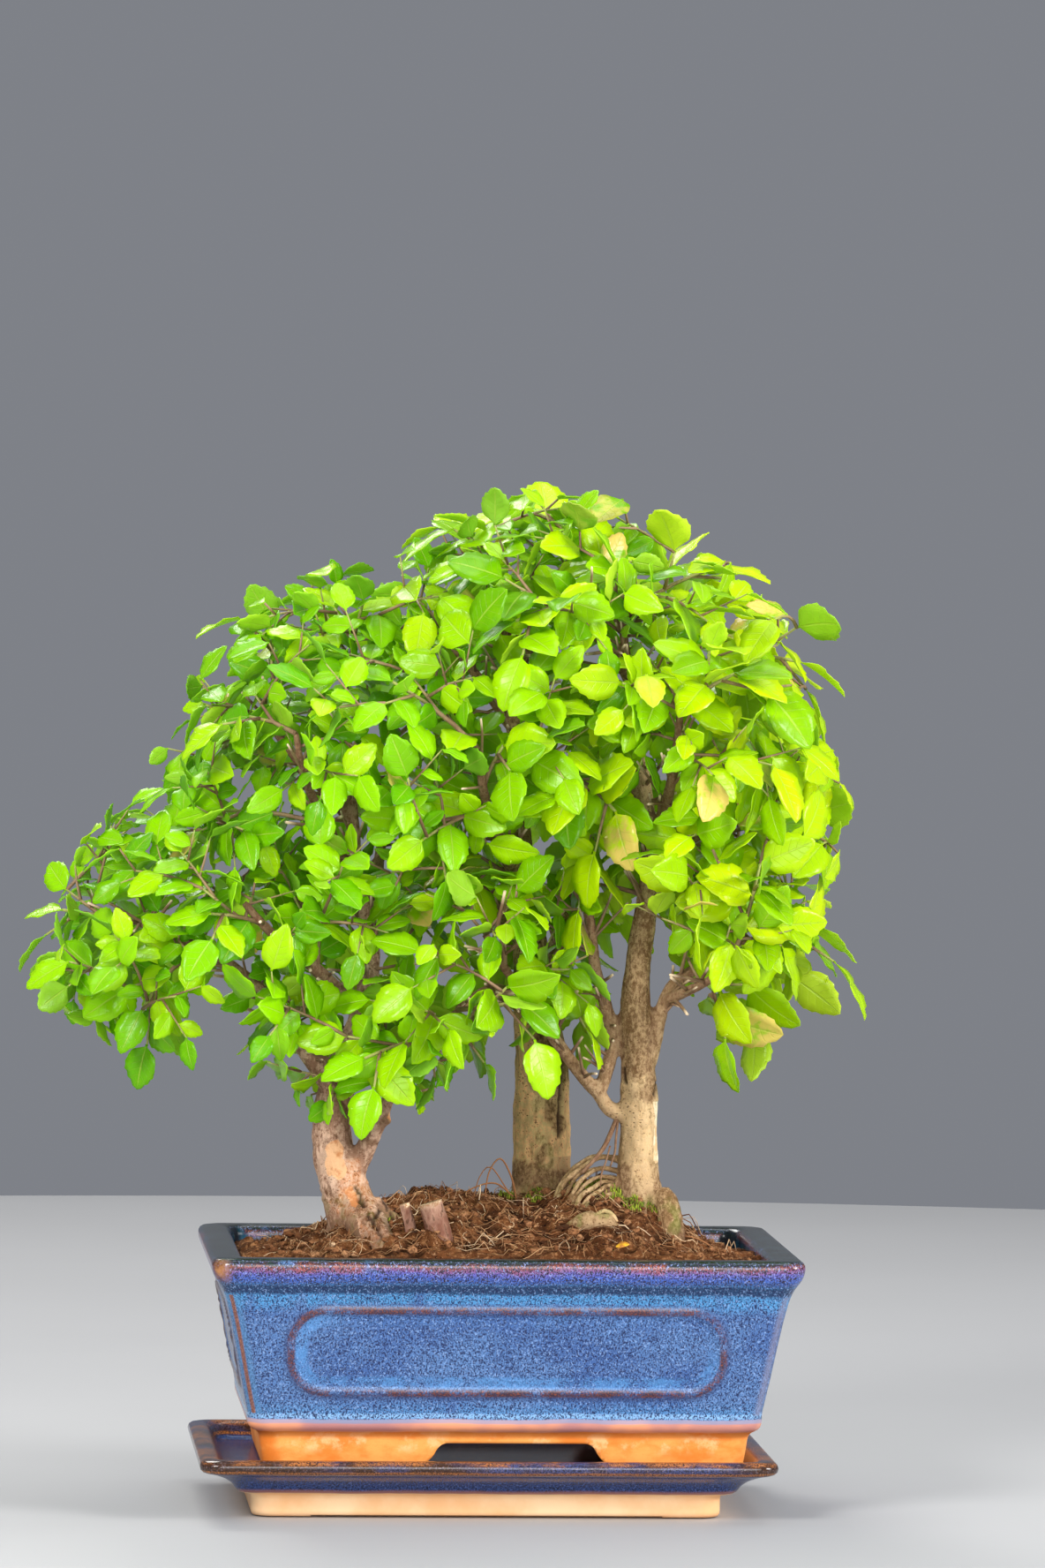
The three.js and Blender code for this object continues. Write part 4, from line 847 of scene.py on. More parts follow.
# One of the thin roots that arch from the right trunk down to the soil
def root_points(index, count=ROOT_COUNT):
    draw = Stream(ROOT_SEED + index)
    share = index / (count - 1)
    sway = 5 * (draw() - 0.5)
    start_z = between(ROOT_START["z_low"], ROOT_START["z_high"], share)
    crest_x = between(ROOT_CREST["x_near"], ROOT_CREST["x_far"], share)
    crest_z = between(ROOT_CREST["z_low"], ROOT_CREST["z_high"], share)
    foot_x = between(ROOT_FOOT["x_near"], ROOT_FOOT["x_far"], share)
    foot_y = ROOT_FOOT["y"] + 22 * share + sway
    foot_z = float(soil_height(foot_x, foot_y)) - ROOT_FOOT["depth"]
    start_y = ROOT_START["y"] + 6 * (share - 0.5)
    crest_y = (start_y + foot_y) / 2 + sway / 2
    radius = ROOT_RADIUS
    return [
        [ROOT_START["x"] + 2, start_y, start_z - 3, radius],
        [(ROOT_START["x"] + crest_x) / 2, (start_y + crest_y) / 2, (start_z + crest_z) / 2 + 1, radius],
        [crest_x, crest_y, crest_z, radius],
        [between(crest_x, foot_x, 0.6), between(crest_y, foot_y, 0.6), between(crest_z, foot_z, 0.4), radius],
        [foot_x, foot_y, foot_z, radius],
    ]


# The faces of a closed body, turned so that they look outwards
def turned_out(points, faces):
    a, b, c = (points[faces[:, corner]] for corner in range(3))
    volume = float((a * np.cross(b, c)).sum())
    return points, faces if volume > 0 else faces[:, ::-1]


# Many bodies gathered for one mesh, with values for each of their points
class Pile:
    def __init__(self):
        self.points = []
        self.faces = []
        self.values = {}
        self.count = 0

    def add(self, points, faces, **values):
        self.points.append(np.asarray(points, dtype=float))
        self.faces.append(np.asarray(faces) + self.count)
        for name, value in values.items():
            spread = np.broadcast_to(np.asarray(value, float), (len(points),))
            self.values.setdefault(name, []).append(spread)
        self.count += len(points)

    def piece(self, name, smooth=True):
        piece = mesh_object(name, np.concatenate(self.points), np.concatenate(self.faces), smooth)
        for key, parts in self.values.items():
            add_values(piece, key, np.concatenate(parts))
        return piece


# A smooth course through points, of any number of columns, with a row for each step
def smooth_course(points, step):
    table = np.array(points, dtype=float)
    padded = np.vstack([2 * table[0] - table[1], table, 2 * table[-1] - table[-2]])
    rows = []
    for index in range(len(table) - 1):
        before, start, end, after = padded[index:index + 4]
        count = max(1, int(round(float(np.linalg.norm((end - start)[:3])) / step)))
        for part in range(count):
            s = part / count
            square = (2 * before - 5 * start + 4 * end - after) * s * s
            cube = (3 * start - before - 3 * end + after) * s ** 3
            rows.append(0.5 * (2 * start + (end - before) * s + square + cube))
    rows.append(table[-1])
    return np.array(rows)


# Points and triangles of a closed body from rings of equal counts and the middles of its two ends
def stitched(rings, ends):
    sides = len(rings[0])
    count = len(rings)
    side = np.arange(sides)
    after = (side + 1) % sides
    level = (np.arange(count - 1) * sides)[:, None]
    low, low_next = (level + side).ravel(), (level + after).ravel()
    last = (count - 1) * sides
    faces = [
        np.stack([low, low_next, low_next + sides], 1), np.stack([low, low_next + sides, low + sides], 1),
        np.stack([after, side, np.full(sides, count * sides)], 1),
        np.stack([last + side, last + after, np.full(sides, count * sides + 1)], 1),
    ]
    return np.concatenate(rings + [np.array(ends)]), np.concatenate(faces)


# A closed tube along a course of x, y, z and radius; returns points and triangles
def tube(course, sides):
    centres = course[:, :3]
    along = np.gradient(centres, axis=0)
    along /= np.linalg.norm(along, axis=1)[:, None]
    guide = vector(1, 0, 0) if abs(along[0][0]) < 0.8 else vector(0, 1, 0)
    rings = []
    turns = 2 * math.pi * np.arange(sides) / sides
    for centre, direction, radius in zip(centres, along, course[:, 3]):
        guide = square_to(direction, guide)
        third = np.cross(direction, guide)
        rings.append(centre + radius * (np.cos(turns)[:, None] * guide + np.sin(turns)[:, None] * third))
    return stitched(rings, [centres[0], centres[-1]])


# Puts a piece's modifiers into its mesh
def apply_modifiers(piece):
    graph = bpy.context.evaluated_depsgraph_get()
    data = bpy.data.meshes.new_from_object(piece.evaluated_get(graph))
    old = piece.data
    piece.modifiers.clear()
    piece.data = data
    bpy.data.meshes.remove(old)
    data.polygons.foreach_set("use_smooth", np.ones(len(data.polygons), dtype=bool))


# Joins overlapping bodies of a piece in one skin
def join_skin(piece, voxel):
    remesh = piece.modifiers.new("skin", "REMESH")
    remesh.mode = "VOXEL"
    remesh.voxel_size = voxel * MM
    apply_modifiers(piece)


# Three numbers for each point of a mesh
def read_rows(rows, key):
    values = np.zeros(len(rows) * 3, dtype=np.float32)
    rows.foreach_get(key, values)
    return values.reshape(-1, 3).astype(float)


def mesh_points(piece):
    return read_rows(piece.data.vertices, "co") / MM


def mesh_normals(piece):
    return read_rows(piece.data.vertex_normals, "vector")


def set_points(piece, points):
    piece.data.vertices.foreach_set("co", (points * MM).astype(np.float32).ravel())
    piece.data.update()


BARK_VOXEL = 1.3
TRUNK_SIDES = 20
LIMB_SIDES = 12
LIMB_COURSE_STEP = 3.0
# How far lumps and plates move the bark, and roughness, with more of it near the soil
LUMP_HEIGHT = 2.2
PLATE_DEPTH = 0.9
BARK_ROUGHNESS = 0.9
FOOT_ROUGHNESS = 1.5
FOOT_HEIGHT = 146
THICK_GIRTH = 9
FOOT_ROOTS = 6
FOOT_ROOT_SEED = 300
FINE_ROOTS = 10
FINE_ROOT_SEED = 1700
# Thin roots that hang from the joint of the low branch, as x, y, z and radius
HANGING_ROOTS = [
    [[59, -17, 173, 1.0], [56, -19, 166, 1.1], [53, -20, 160, 1.0], [48, -22, 154, 0.9], [43, -23, 149, 0.8]],
    [[59.5, -18, 172, 0.5], [58.5, -20, 164, 0.5], [58, -21, 158, 0.5], [56, -22, 152, 0.4]],
    [[56, -20, 161, 0.4], [54, -22, 154, 0.4], [52, -24, 149, 0.4], [51.5, -25, 143, 0.3]],
]


# Roots that lie on the soil before the right trunk, as x, y, z and radius: a pale loop and a lump
LYING_ROOTS = [
    [[45, -41, 125, 0.8], [48, -43, 131.5, 1.0], [52, -44, 134, 1.0], [56, -43, 131.5, 0.9],
     [59, -41, 125, 0.7]],
    [[35, -38, 125, 2.4], [41, -42, 128, 3.8], [48, -43, 129, 4.4], [54, -42, 128, 3.6], [59, -38, 125, 2.2]],
]
# Thick roots at the feet of the trunks, as x, y, z and radius
THICK_ROOTS = {
    "left": [[[-57, -24, 133, 9.6], [-53, -34, 127, 9.4], [-49, -46, 121, 8.2], [-45, -57, 115.5, 6.6],
              [-43, -62, 110, 5.0]]],
    "middle": [],
    "right": [[[79, -23, 141, 4.0], [82, -28, 134, 5.6], [82.5, -31, 125, 6.2], [83, -34, 114, 6.2]]],
}
# Which way a root of the left trunk is left out, where the photo shows bare soil
BARE_SIDE = {"left": 0}


# Nearest limb radius to each point
def local_girth(points, courses):
    samples = np.concatenate(courses)
    finder = kdtree.KDTree(len(samples))
    for number, row in enumerate(samples):
        finder.insert(row[:3], number)
    finder.balance()
    return np.array([samples[finder.find(point)[1]][3] for point in points])


# Shortest way from points to a line of x and z places, as the front shows them
def front_distance(points, path):
    best = np.full(len(points), np.inf)
    flat = points[:, [0, 2]]
    for start, end in zip(np.array(path[:-1], dtype=float), np.array(path[1:], dtype=float)):
        way = end - start
        share = np.clip(((flat - start) @ way) / max(float(way @ way), 1e-9), 0, 1)
        best = np.minimum(best, np.linalg.norm(flat - start - share[:, None] * way, axis=1))
    return best


# A mark on the front of a trunk with a ragged edge: 1 in its middle and 0 past its edge
def front_mark(points, normals, path, half_width, raggedness=0.55):
    ragged = 1 + raggedness * 2 * (layered_noise(points, 4.5, 91, 3) - 0.5)
    near = np.clip(4.5 * (1 - front_distance(points, path) / (half_width * ragged)), 0, 1)
    return near * np.clip(1.6 - 4.0 * np.maximum(normals[:, 1] + 0.15, 0), 0, 1)


# Marks of each trunk: how deep each goes, how wide it is, and its line of x and z places
TRUNK_MARKS = {
    "left": dict(
        peel=[(0.6, 4.8, [(-66.6, 159), (-65.4, 150)]), (0.0, 2.2, [(-42, 174), (-38, 176)]),
              (0.3, 2.2, [(-60, 141), (-58, 137)])],
        hollow=[(2.6, 1.9, [(-55.3, 137.5), (-54.2, 135.5)]), (0.8, 0.9, [(-57.5, 142), (-55, 139)]),
                (1.1, 0.9, [(-53, 131), (-51, 129.5), (-47, 133)]),
                (1.3, 0.9, [(-51, 129), (-47, 123), (-43, 116)]),
                (0.6, 0.8, [(-45, 137), (-42, 130), (-39, 120)])],
        warm=[(0, 7.5, [(-61, 149), (-57, 135), (-51, 122)]), (0, 4.8, [(-65, 135), (-60, 131)]),
              (0, 3.5, [(-51, 143), (-50, 138)]), (0, 3, [(-56, 121), (-52, 118)])],
        dim=[(0, 4, [(-55, 133), (-50, 128)]), (0, 4, [(-62, 117), (-50, 114)]),
             (0, 2.5, [(-50, 146), (-48, 140)]), (0, 2.2, [(-69, 141), (-66, 136)])],
    ),
    "middle": dict(
        peel=[],
        hollow=[(1.7, 1.2, [(36.6, 199), (36.0, 187), (35.8, 175), (35.4, 163)])],
        warm=[(0, 7.5, [(17, 212), (17, 175), (19, 142)]), (-1.4, 3.0, [(25.2, 158), (28.4, 153)]),
              (0, 5, [(28, 172), (36, 160), (37, 146)]), (0, 3, [(40, 185), (40, 165)])],
        dim=[(0, 4.6, [(27, 212), (30, 196), (31, 184)]), (0.8, 2.4, [(28.5, 157.5), (26, 153)]),
             (0, 4, [(31, 176), (35, 168)]), (0, 7, [(20, 146), (36, 141)]),
             (0, 3.5, [(24, 197), (25, 186)])],
    ),
    "right": dict(
        # The right trunk's first mark below is a painted highlight: a pale strip along the trunk's right
        # edge, not peeled bark
        peel=[(0.2, 1.3, [(76.3, 180), (77, 168), (76.3, 155)])],
        hollow=[(0.6, 0.6, [(62, 196), (62.4, 189)]), (0.5, 0.5, [(76.5, 189), (75.4, 184)])],
        warm=[(0, 6.5, [(66, 176), (69, 168), (69, 152)]), (0, 4.8, [(54, 179), (60, 174)])],
        dim=[(0, 8, [(68, 262), (68, 230), (68, 196)]), (0, 9, [(82, 142), (84, 112)]),
             (0, 4, [(61, 140), (62, 128)]), (0, 4, [(74, 192), (73, 184)]), (0, 3, [(62, 150), (63, 142)])],
    ),
}


# One skin round the limbs and roots of a tree, with rough bark and the trunk's marks
def make_tree(tree, material):
    pile = Pile()
    courses = [smooth_course(points, LIMB_COURSE_STEP) for points in tree["limbs"]] + foot_roots(tree)
    for index, course in enumerate(courses):
        pile.add(*tube(course, TRUNK_SIDES if index == 0 else LIMB_SIDES))
    name = "trunk_" + tree["name"]
    piece = pile.piece("fine_" + name)
    join_skin(piece, BARK_VOXEL)
    points = mesh_points(piece)
    normals = mesh_normals(piece)
    girth = local_girth(points, courses)
    stretched = points * np.array([1, 1, 0.35])
    lumps = layered_noise(points * np.array([1, 1, 0.6]), 13, 3) - 0.5
    plates = 0.5 - np.abs(layered_noise(stretched, 3.4, 8) - 0.5) * 4
    depth = np.minimum(1.0, girth / THICK_GIRTH) ** 1.3
    lift = (LUMP_HEIGHT * lumps - PLATE_DEPTH * np.clip(plates, 0, 1)) * depth
    marks = {}
    for key, rows in TRUNK_MARKS[tree["name"]].items():
        marks[key] = np.zeros(len(points))
        for deep, wide, path in rows:
            mark = front_mark(points, normals, path, wide)
            lift -= deep * mark
            marks[key] = np.maximum(marks[key], mark)
    rough = layered_noise(points, 2.6, 44, 2) - 0.5
    low = np.clip((FOOT_HEIGHT - points[:, 2]) / 12, 0, 1)
    lift += (BARK_ROUGHNESS + FOOT_ROUGHNESS * low) * rough * depth * (1 - marks["peel"])
    points = points + normals * lift[:, None]
    set_points(piece, points)
    add_values(piece, "girth", girth)
    add_values(piece, "crease", np.clip(plates, 0, 1) * depth)
    for key, mark in marks.items():
        add_values(piece, key, mark)
    return settle(piece, material, [name])


# A root as a tube, with the values that the bark material reads
def add_root(pile, course, sides, girth=THICK_GIRTH, crease=0.0, warm=0.0, dim=0.0):
    points, faces = tube(course, sides)
    pile.add(points, faces, girth=girth, crease=crease, peel=0.0, hollow=0.0, warm=warm, dim=dim)


# The thin roots between the middle and the right trunk, more of them than in the CAD model
def make_arched_roots(material):
    pile = Pile()
    draw = Stream(FINE_ROOT_SEED)
    for index in range(FINE_ROOTS):
        rows = np.array(root_points(index, FINE_ROOTS))
        near_trunk = 1 - index / (FINE_ROOTS - 1)
        rows[1:3, 2] -= np.array([1.0, 3.0]) + 2 * draw()
        rows[3:, 0] -= np.array([3.0, 6.0]) * near_trunk
        rows[3, :3] = (rows[2, :3] + rows[4, :3]) / 2 + vector(-1.2, 0, 1.5)
        rows[1:-1, :3] += np.array([[draw() - 0.5 for _ in range(3)] for _ in rows[1:-1]]) * [2.4, 5.0, 2.4]
        rows[:, 3] *= 0.60 + 0.34 * draw()
        rows[0, :3] += np.array([4, 1, -2])
        course = smooth_course(rows, 2.0)
        wild = layered_noise(course[:, :3] + 50 * index, 9, 14) - 0.5
        course[1:-1, 1] += 2.0 * wild[1:-1]
        course[1:-1, 3] *= 0.85 + 0.5 * noise(course[1:-1, :3], 3.0, 15)
        add_root(pile, course, 8, crease=0.6 * draw(), dim=0.7 * draw())
    for rows in HANGING_ROOTS:
        add_root(pile, smooth_course(rows, 2.0), 6, girth=0.8, warm=0.6)
    for rows, pale in zip(LYING_ROOTS, (1.0, 0.0)):
        course = smooth_course(rows, 2.0)
        course[:, 3] *= 0.8 + 0.5 * noise(course[:, :3], 3.5, 16)
        add_root(pile, course, 9, crease=0.5 - 0.5 * pale, warm=pale, dim=0.4 - 0.4 * pale)
    settle(pile.piece("arched_roots"), material)


# Short roots that spread from the foot of a trunk into the soil
def foot_roots(tree):
    foot = np.array(tree["limbs"][0][1], dtype=float)
    draw = Stream(FOOT_ROOT_SEED + len(tree["limbs"]) + int(foot[0]))
    courses = []
    for index in range(FOOT_ROOTS):
        turn = (index + 0.6 * draw()) * math.pi / 3
        if index == BARE_SIDE.get(tree["name"]):
            continue
        way = vector(math.cos(turn), math.sin(turn), 0)
        reach = foot[3] * (1.25 + 0.35 * draw())
        end = foot[:3] + way * reach
        ground = float(soil_height(end[0], end[1]))
        top = float(soil_height(foot[0], foot[1])) + 5 + 3 * draw()
        rows = [
            [*(foot[:2] + way[:2] * foot[3] * 0.45), top, 4.0],
            [*(foot[:2] + way[:2] * foot[3] * 0.9), between(top, ground, 0.75), 3.0],
            [*(end[:2]), ground - 1.6, 2.0],
            [*(end[:2] + way[:2] * 4), ground - 5.0, 1.2],
        ]
        courses.append(smooth_course(rows, 2.5))
    return courses + [smooth_course(rows, 3.0) for rows in THICK_ROOTS[tree["name"]]]


# Mottled, cracked and specked bark with a trunk's marks, painted shade in its hollows and, on the right
# trunk, a painted highlight along its right edge, and moss and soil at its foot
def bark_material(name, looks):
    light, dark, crack, speck, bare, peel_and_highlight_colour, moss = looks
    nodes = Nodes(name)
    where = nodes.place((1, 1, 0.4))
    patches = nodes.noise(where, 75, 5, 0.6)
    fine = nodes.noise(nodes.place((1, 1, 0.7)), 560, 5, 0.75)
    mottle = nodes.plus(patches, nodes.times(fine, 0.9))
    colour = nodes.fade(mottle, 0.86, 1.06, dark, light)
    colour = nodes.tint(nodes.value("warm"), 0.95, colour, nodes.fade(fine, 0.36, 0.62, bare, light))
    dim = nodes.value("dim")
    colour = nodes.tint(dim, 0.45, colour, rgb(0.25, 0.125, 0.055))
    colour = nodes.tint(nodes.times(dim, 0.75), nodes.step(fine, 0.60, 0.42), colour, crack)
    colour = nodes.tint(nodes.step(fine, 0.42, 0.34), 0.85, colour, crack)
    specks = nodes.cells(nodes.place((1, 1, 1.8)), 420)
    wanted = nodes.step(nodes.noise(nodes.place(), 60, 3), 0.42, 0.60)
    colour = nodes.tint(nodes.step(specks, 0.26, 0.14), wanted, colour, speck)
    colour = nodes.tint(nodes.value("crease"), 0.7, colour, crack)
    girth = nodes.step(nodes.value("girth"), 1.5, 5.0)
    thin = nodes.fade(fine, 0.4, 0.6, rgb(0.23, 0.115, 0.065), rgb(0.34, 0.20, 0.115))
    colour = nodes.mix(nodes.minus(1.0, girth), colour, thin)
    spots = nodes.noise(nodes.place(), 210, 4, 0.65)
    # Pale peeled bark where the first kind of mark lies; on the right trunk that mark is a painted highlight
    # along its right edge
    peel_and_highlight_tone = nodes.fade(nodes.plus(spots, patches), 0.88, 1.12, bare, peel_and_highlight_colour)
    ragged = nodes.plus(nodes.value("peel"), nodes.times(fine, 0.8))
    colour = nodes.fade(ragged, 0.76, 0.92, colour, peel_and_highlight_tone)
    # Painted shade: near-black in the carved hollows and grooves of the trunks
    colour = nodes.tint(nodes.value("hollow"), 0.9, colour, rgb(0.045, 0.022, 0.012))
    height = nodes.axes()[2]
    low = nodes.step(height, 0.148, 0.126)
    tufts = nodes.step(nodes.noise(nodes.place(), 130, 4), 0.48, 0.62)
    green = nodes.times(nodes.times(low, tufts), moss)
    colour = nodes.mix(green, colour, rgb(0.16, 0.20, 0.03))
    soiled = nodes.step(nodes.plus(height, nodes.times(patches, 0.012)), 0.136, 0.126)
    colour = nodes.tint(soiled, 0.55, colour, rgb(0.15, 0.075, 0.045))
    relief = nodes.plus(fine, nodes.times(patches, 0.6))
    return nodes.matte(colour, 0.8, relief, 0.0014)


# For each trunk its light, dark, cracked, specked and warm colours, its peeled colour, which on the right
# trunk is the colour of a painted highlight along its right edge, and its share of moss
BARK_LOOKS = {
    "left": (rgb(0.78, 0.52, 0.37), rgb(0.40, 0.22, 0.14), rgb(0.13, 0.050, 0.024), rgb(0.20, 0.10, 0.06),
             rgb(0.62, 0.24, 0.09), rgb(0.86, 0.50, 0.27), 0.35),
    "middle": (rgb(0.62, 0.46, 0.20), rgb(0.27, 0.20, 0.065), rgb(0.085, 0.048, 0.016), rgb(0.15, 0.08, 0.03),
               rgb(0.92, 0.52, 0.24), rgb(0.40, 0.14, 0.03), 0.8),
    # The right trunk's peeled colour, the last but one, is the colour of its painted edge highlight
    "right": (rgb(0.76, 0.53, 0.29), rgb(0.42, 0.27, 0.125), rgb(0.17, 0.085, 0.035), rgb(0.16, 0.08, 0.035),
              rgb(0.82, 0.55, 0.28), rgb(1.0, 0.88, 0.62), 0.6),
}


# The three trees with their own bark, and the arched roots of the right one
def make_trees():
    for tree in TREES:
        name = tree["name"]
        material = bark_material("bark_" + name, BARK_LOOKS[name])
        make_tree(tree, material)
        if name == "right":
            make_arched_roots(material)


# How much thinner the stumps look than in the CAD model
STUMP_THINNED = {"stump_large": 0.84, "stump_small": 0.72}


# Old brown wood with a paler cut top
def stump_material():
    nodes = Nodes("stump_wood")
    where = nodes.place((1, 1, 0.5))
    patches = nodes.noise(where, 150, 4)
    fine = nodes.noise(where, 600, 4)
    colour = nodes.fade(patches, 0.4, 0.62, rgb(0.20, 0.085, 0.055), rgb(0.46, 0.27, 0.19))
    colour = nodes.fade(fine, 0.5, 0.7, colour, rgb(0.11, 0.05, 0.03))
    cut = nodes.value("cut")
    rings = nodes.noise(nodes.place(), 900, 2)
    pale = nodes.fade(rings, 0.35, 0.65, rgb(0.80, 0.60, 0.40), rgb(0.40, 0.20, 0.09))
    pale = nodes.tint(nodes.step(patches, 0.45, 0.6), 0.6, pale, rgb(0.26, 0.14, 0.08))
    colour = nodes.mix(cut, colour, pale)
    return nodes.matte(colour, 0.85, fine, 0.0009)


# The cut stumps, with ragged tops
def make_stumps():
    material = stump_material()
    for name, points in STUMPS.items():
        course = smooth_course(points, 1.2)
        course[:, 3] *= STUMP_THINNED[name]
        body, faces = tube(course, 28)
        centre_top = course[-1][:3]
        along = unit(course[-1][:3] - course[-2][:3])
        off = (body - centre_top) @ along
        ragged = 2.4 * layered_noise(body, 3.0, 33, 2)
        cut = np.clip((off + ragged + 0.3) / 0.8, 0, 1)
        gaps = np.linalg.norm(body[:, None] - course[None, :, :3], axis=2)
        outward = body - course[np.argmin(gaps, axis=1)][:, :3]
        bumps = 0.22 * (layered_noise(body * np.array([1, 1, 0.5]), 4.5, 21) - 0.5)
        body = body + outward * bumps[:, None]
        pile = Pile()
        pile.add(body, faces, cut=cut)
        settle(pile.piece("fine_" + name), material, [name])


LEAF_THICKNESS = 0.34
OUTER_ROWS = 12
OUTER_COLUMNS = 4
INNER_ROWS = 8
INNER_COLUMNS = 2
LEAF_SHINE = 0.32
STALK_HALF_WIDTH = 0.55
TIP_HALF_WIDTH = 0.05
LEAF_TOOTH = 0.024
TOOTH_LEAN = 0.22
LEAF_WAVE = 0.03
TIP_NARROWED = 0.35
PETIOLE_SHARE = 0.055


# Half width of a finer leaf at a share of its length, from a pointed leaf to a round one
def fine_spread(share, roundness):
    blade = np.clip((share - PETIOLE_SHARE) / (1 - PETIOLE_SHARE), 0, 1)
    round_leaf = np.minimum(1, 2.13 * blade ** 0.55 * (1 - blade) ** 0.55)
    pointed = 1 - TIP_NARROWED * blade ** 6
    return (leaf_spread(blade) * (1 - roundness) + round_leaf * roundness) * pointed


# A leaf blade of unit length: shares along and across, top face quads and edge loop
def leaf_template(rows, columns):
    blade = np.arange(1, rows + 1) / rows
    shares = np.concatenate([[0.0, PETIOLE_SHARE], PETIOLE_SHARE + (1 - PETIOLE_SHARE) * blade ** 0.94])
    across = np.linspace(-1, 1, columns + 1)
    s, t = np.meshgrid(shares, across, indexing="ij")
    width = columns + 1
    number = np.arange(len(shares) * width).reshape(len(shares), width)
    quads = np.stack([number[:-1, :-1], number[:-1, 1:], number[1:, 1:], number[1:, :-1]], -1).reshape(-1, 4)
    loop = np.concatenate([number[0, :], number[1:, -1], number[-1, -2::-1], number[-2:0:-1, 0]])
    return s.ravel(), t.ravel(), quads, loop


# One mesh of many thin closed leaves
def leaf_mesh(name, leaves, rows, columns, material, draw, nodes=()):
    s, t, quads, loop = leaf_template(rows, columns)
    size = len(s)
    count = len(leaves)
    base, axis, side, normal, length, half = (
        np.array([getattr(leaf, key) for leaf in leaves])[:, None]
        for key in ("base", "axis", "side", "normal", "length", "half_width"))
    wild = np.array([[draw() for _ in range(8)] for _ in leaves])[:, None]
    tooth = np.where(np.arange(len(np.unique(s))) % 2 == 0, 1.0, -1.0)
    row_of = np.repeat(np.arange(size // (columns + 1)), columns + 1)
    teeth = LEAF_TOOTH * tooth[row_of % len(tooth)] * (np.abs(t) > 0.99) * (s > 0.12) * (s < 0.97)
    roundness = 0.42 * wild[..., 7]
    spread = fine_spread(s[None], roundness) * (1 + teeth[None]) * (0.94 + 0.12 * wild[..., 0])
    share = s[None]
    offset = t[None] * np.maximum(spread * half, STALK_HALF_WIDTH * (share < 0.9))
    offset = np.where(share >= 0.999, t[None] * TIP_HALF_WIDTH, offset)
    forward = TOOTH_LEAN / LEAF_TOOTH / rows * teeth
    along = (share + forward[None]) * length
    fold = LEAF_FOLD * (0.6 + 0.9 * wild[..., 1])
    cup = fold * (np.abs(offset) - 0.35 * offset * offset / half)
    arch = LEAF_CURL * (0.75 + 0.9 * wild[..., 2]) * length * share * share
    phase = 1.9 * share + wild[..., 3] + 0.3 * t[None]
    wave = LEAF_WAVE * length * np.sin(2 * math.pi * phase) * (offset / half) ** 2
    twist = 0.35 * (wild[..., 4] - 0.5) * offset * share
    rise = cup - arch + wave + twist
    middle = base + along[..., None] * axis + offset[..., None] * side + rise[..., None] * normal
    thick = LEAF_THICKNESS / 2 * np.where(s < 0.05, 2.2, 1.0)[None, :, None]
    top = middle + thick * normal
    bottom = middle - thick * normal
    points = np.concatenate([top, bottom], axis=1).reshape(-1, 3)
    rim = np.stack([loop, np.roll(loop, -1), np.roll(loop, -1) + size, loop + size], 1)
    body = np.concatenate([quads, quads[:, ::-1] + size, rim[:, ::-1]])
    faces = (body[None] + (np.arange(count) * 2 * size)[:, None, None]).reshape(-1, 4)
    piece = mesh_object(name, points, faces)

    def both(values):
        values = np.broadcast_to(values, (count, size))
        return np.concatenate([values, values], axis=1).ravel()

    add_values(piece, "across", both(t[None]))
    add_values(piece, "along", both(s[None]))
    under = np.concatenate([np.zeros((count, size)), np.ones((count, size))], axis=1).ravel()
    add_values(piece, "under", under)
    for number, key in ((5, "tone"), (6, "age"), (7, "shade")):
        add_values(piece, key, both(wild[..., number]))
    return settle(piece, material, nodes)


# Leaf green with a pale midrib and side veins, paler beneath, and some leaves yellowed
def leaf_material(name, deep, bright, young, yellow_from):
    nodes = Nodes(name)
    across = nodes.value("across")
    along = nodes.value("along")
    tone = nodes.value("tone")
    age = nodes.value("age")
    under = nodes.value("under")
    away = nodes.math("ABSOLUTE", across)
    rib = nodes.step(away, 0.075, 0.02)
    slant = nodes.minus(nodes.times(along, 7.0), nodes.times(away, 1.5))
    ripple = nodes.math("ABSOLUTE", nodes.minus(nodes.math("FRACT", slant), 0.5))
    side_vein = nodes.times(nodes.step(ripple, 0.085, 0.02), nodes.step(away, 0.98, 0.5))
    where = nodes.place()
    blotch = nodes.noise(where, 130, 3)
    colour = nodes.fade(tone, 0.1, 0.9, deep, bright)
    colour = nodes.tint(nodes.step(age, 0.62, 0.98), 0.8, colour, young)
    colour = nodes.tint(nodes.step(blotch, 0.45, 0.75), 0.22, colour, bright)
    old = nodes.times(nodes.step(nodes.value("shade"), yellow_from, yellow_from + 0.012),
                     nodes.step(nodes.plus(blotch, nodes.times(along, 0.35)), 0.5, 0.72))
    colour = nodes.mix(old, colour, rgb(0.88, 0.66, 0.16))
    veins = nodes.math("MAXIMUM", rib, nodes.times(side_vein, 0.3))
    colour = nodes.tint(veins, 0.5, colour, rgb(0.62, 0.80, 0.10))
    colour = nodes.tint(under, 0.3, colour, rgb(0.50, 0.68, 0.12))
    relief = nodes.plus(nodes.times(rib, -1.0), nodes.times(side_vein, -0.5))
    grain = nodes.noise(where, 900, 2)
    normal = nodes.bump(nodes.plus(relief, nodes.times(grain, 0.25)), 0.0003, 0.7)
    nodes.finish(Base_Color=colour, Roughness=0.25, Normal=normal, Specular_IOR_Level=LEAF_SHINE)
    glow = nodes.add("ShaderNodeBsdfTranslucent", Color=nodes.mix(0.35, colour, rgb(0.74, 0.96, 0.015)))
    mixer = nodes.tree.nodes.new("ShaderNodeMixShader")
    mixer.inputs[0].default_value = 0.38
    nodes.tree.links.new(nodes.shader.outputs[0], mixer.inputs[1])
    nodes.tree.links.new(glow.outputs[0], mixer.inputs[2])
    nodes.tree.links.new(mixer.outputs[0], nodes.output.inputs["Surface"])
    return nodes.material


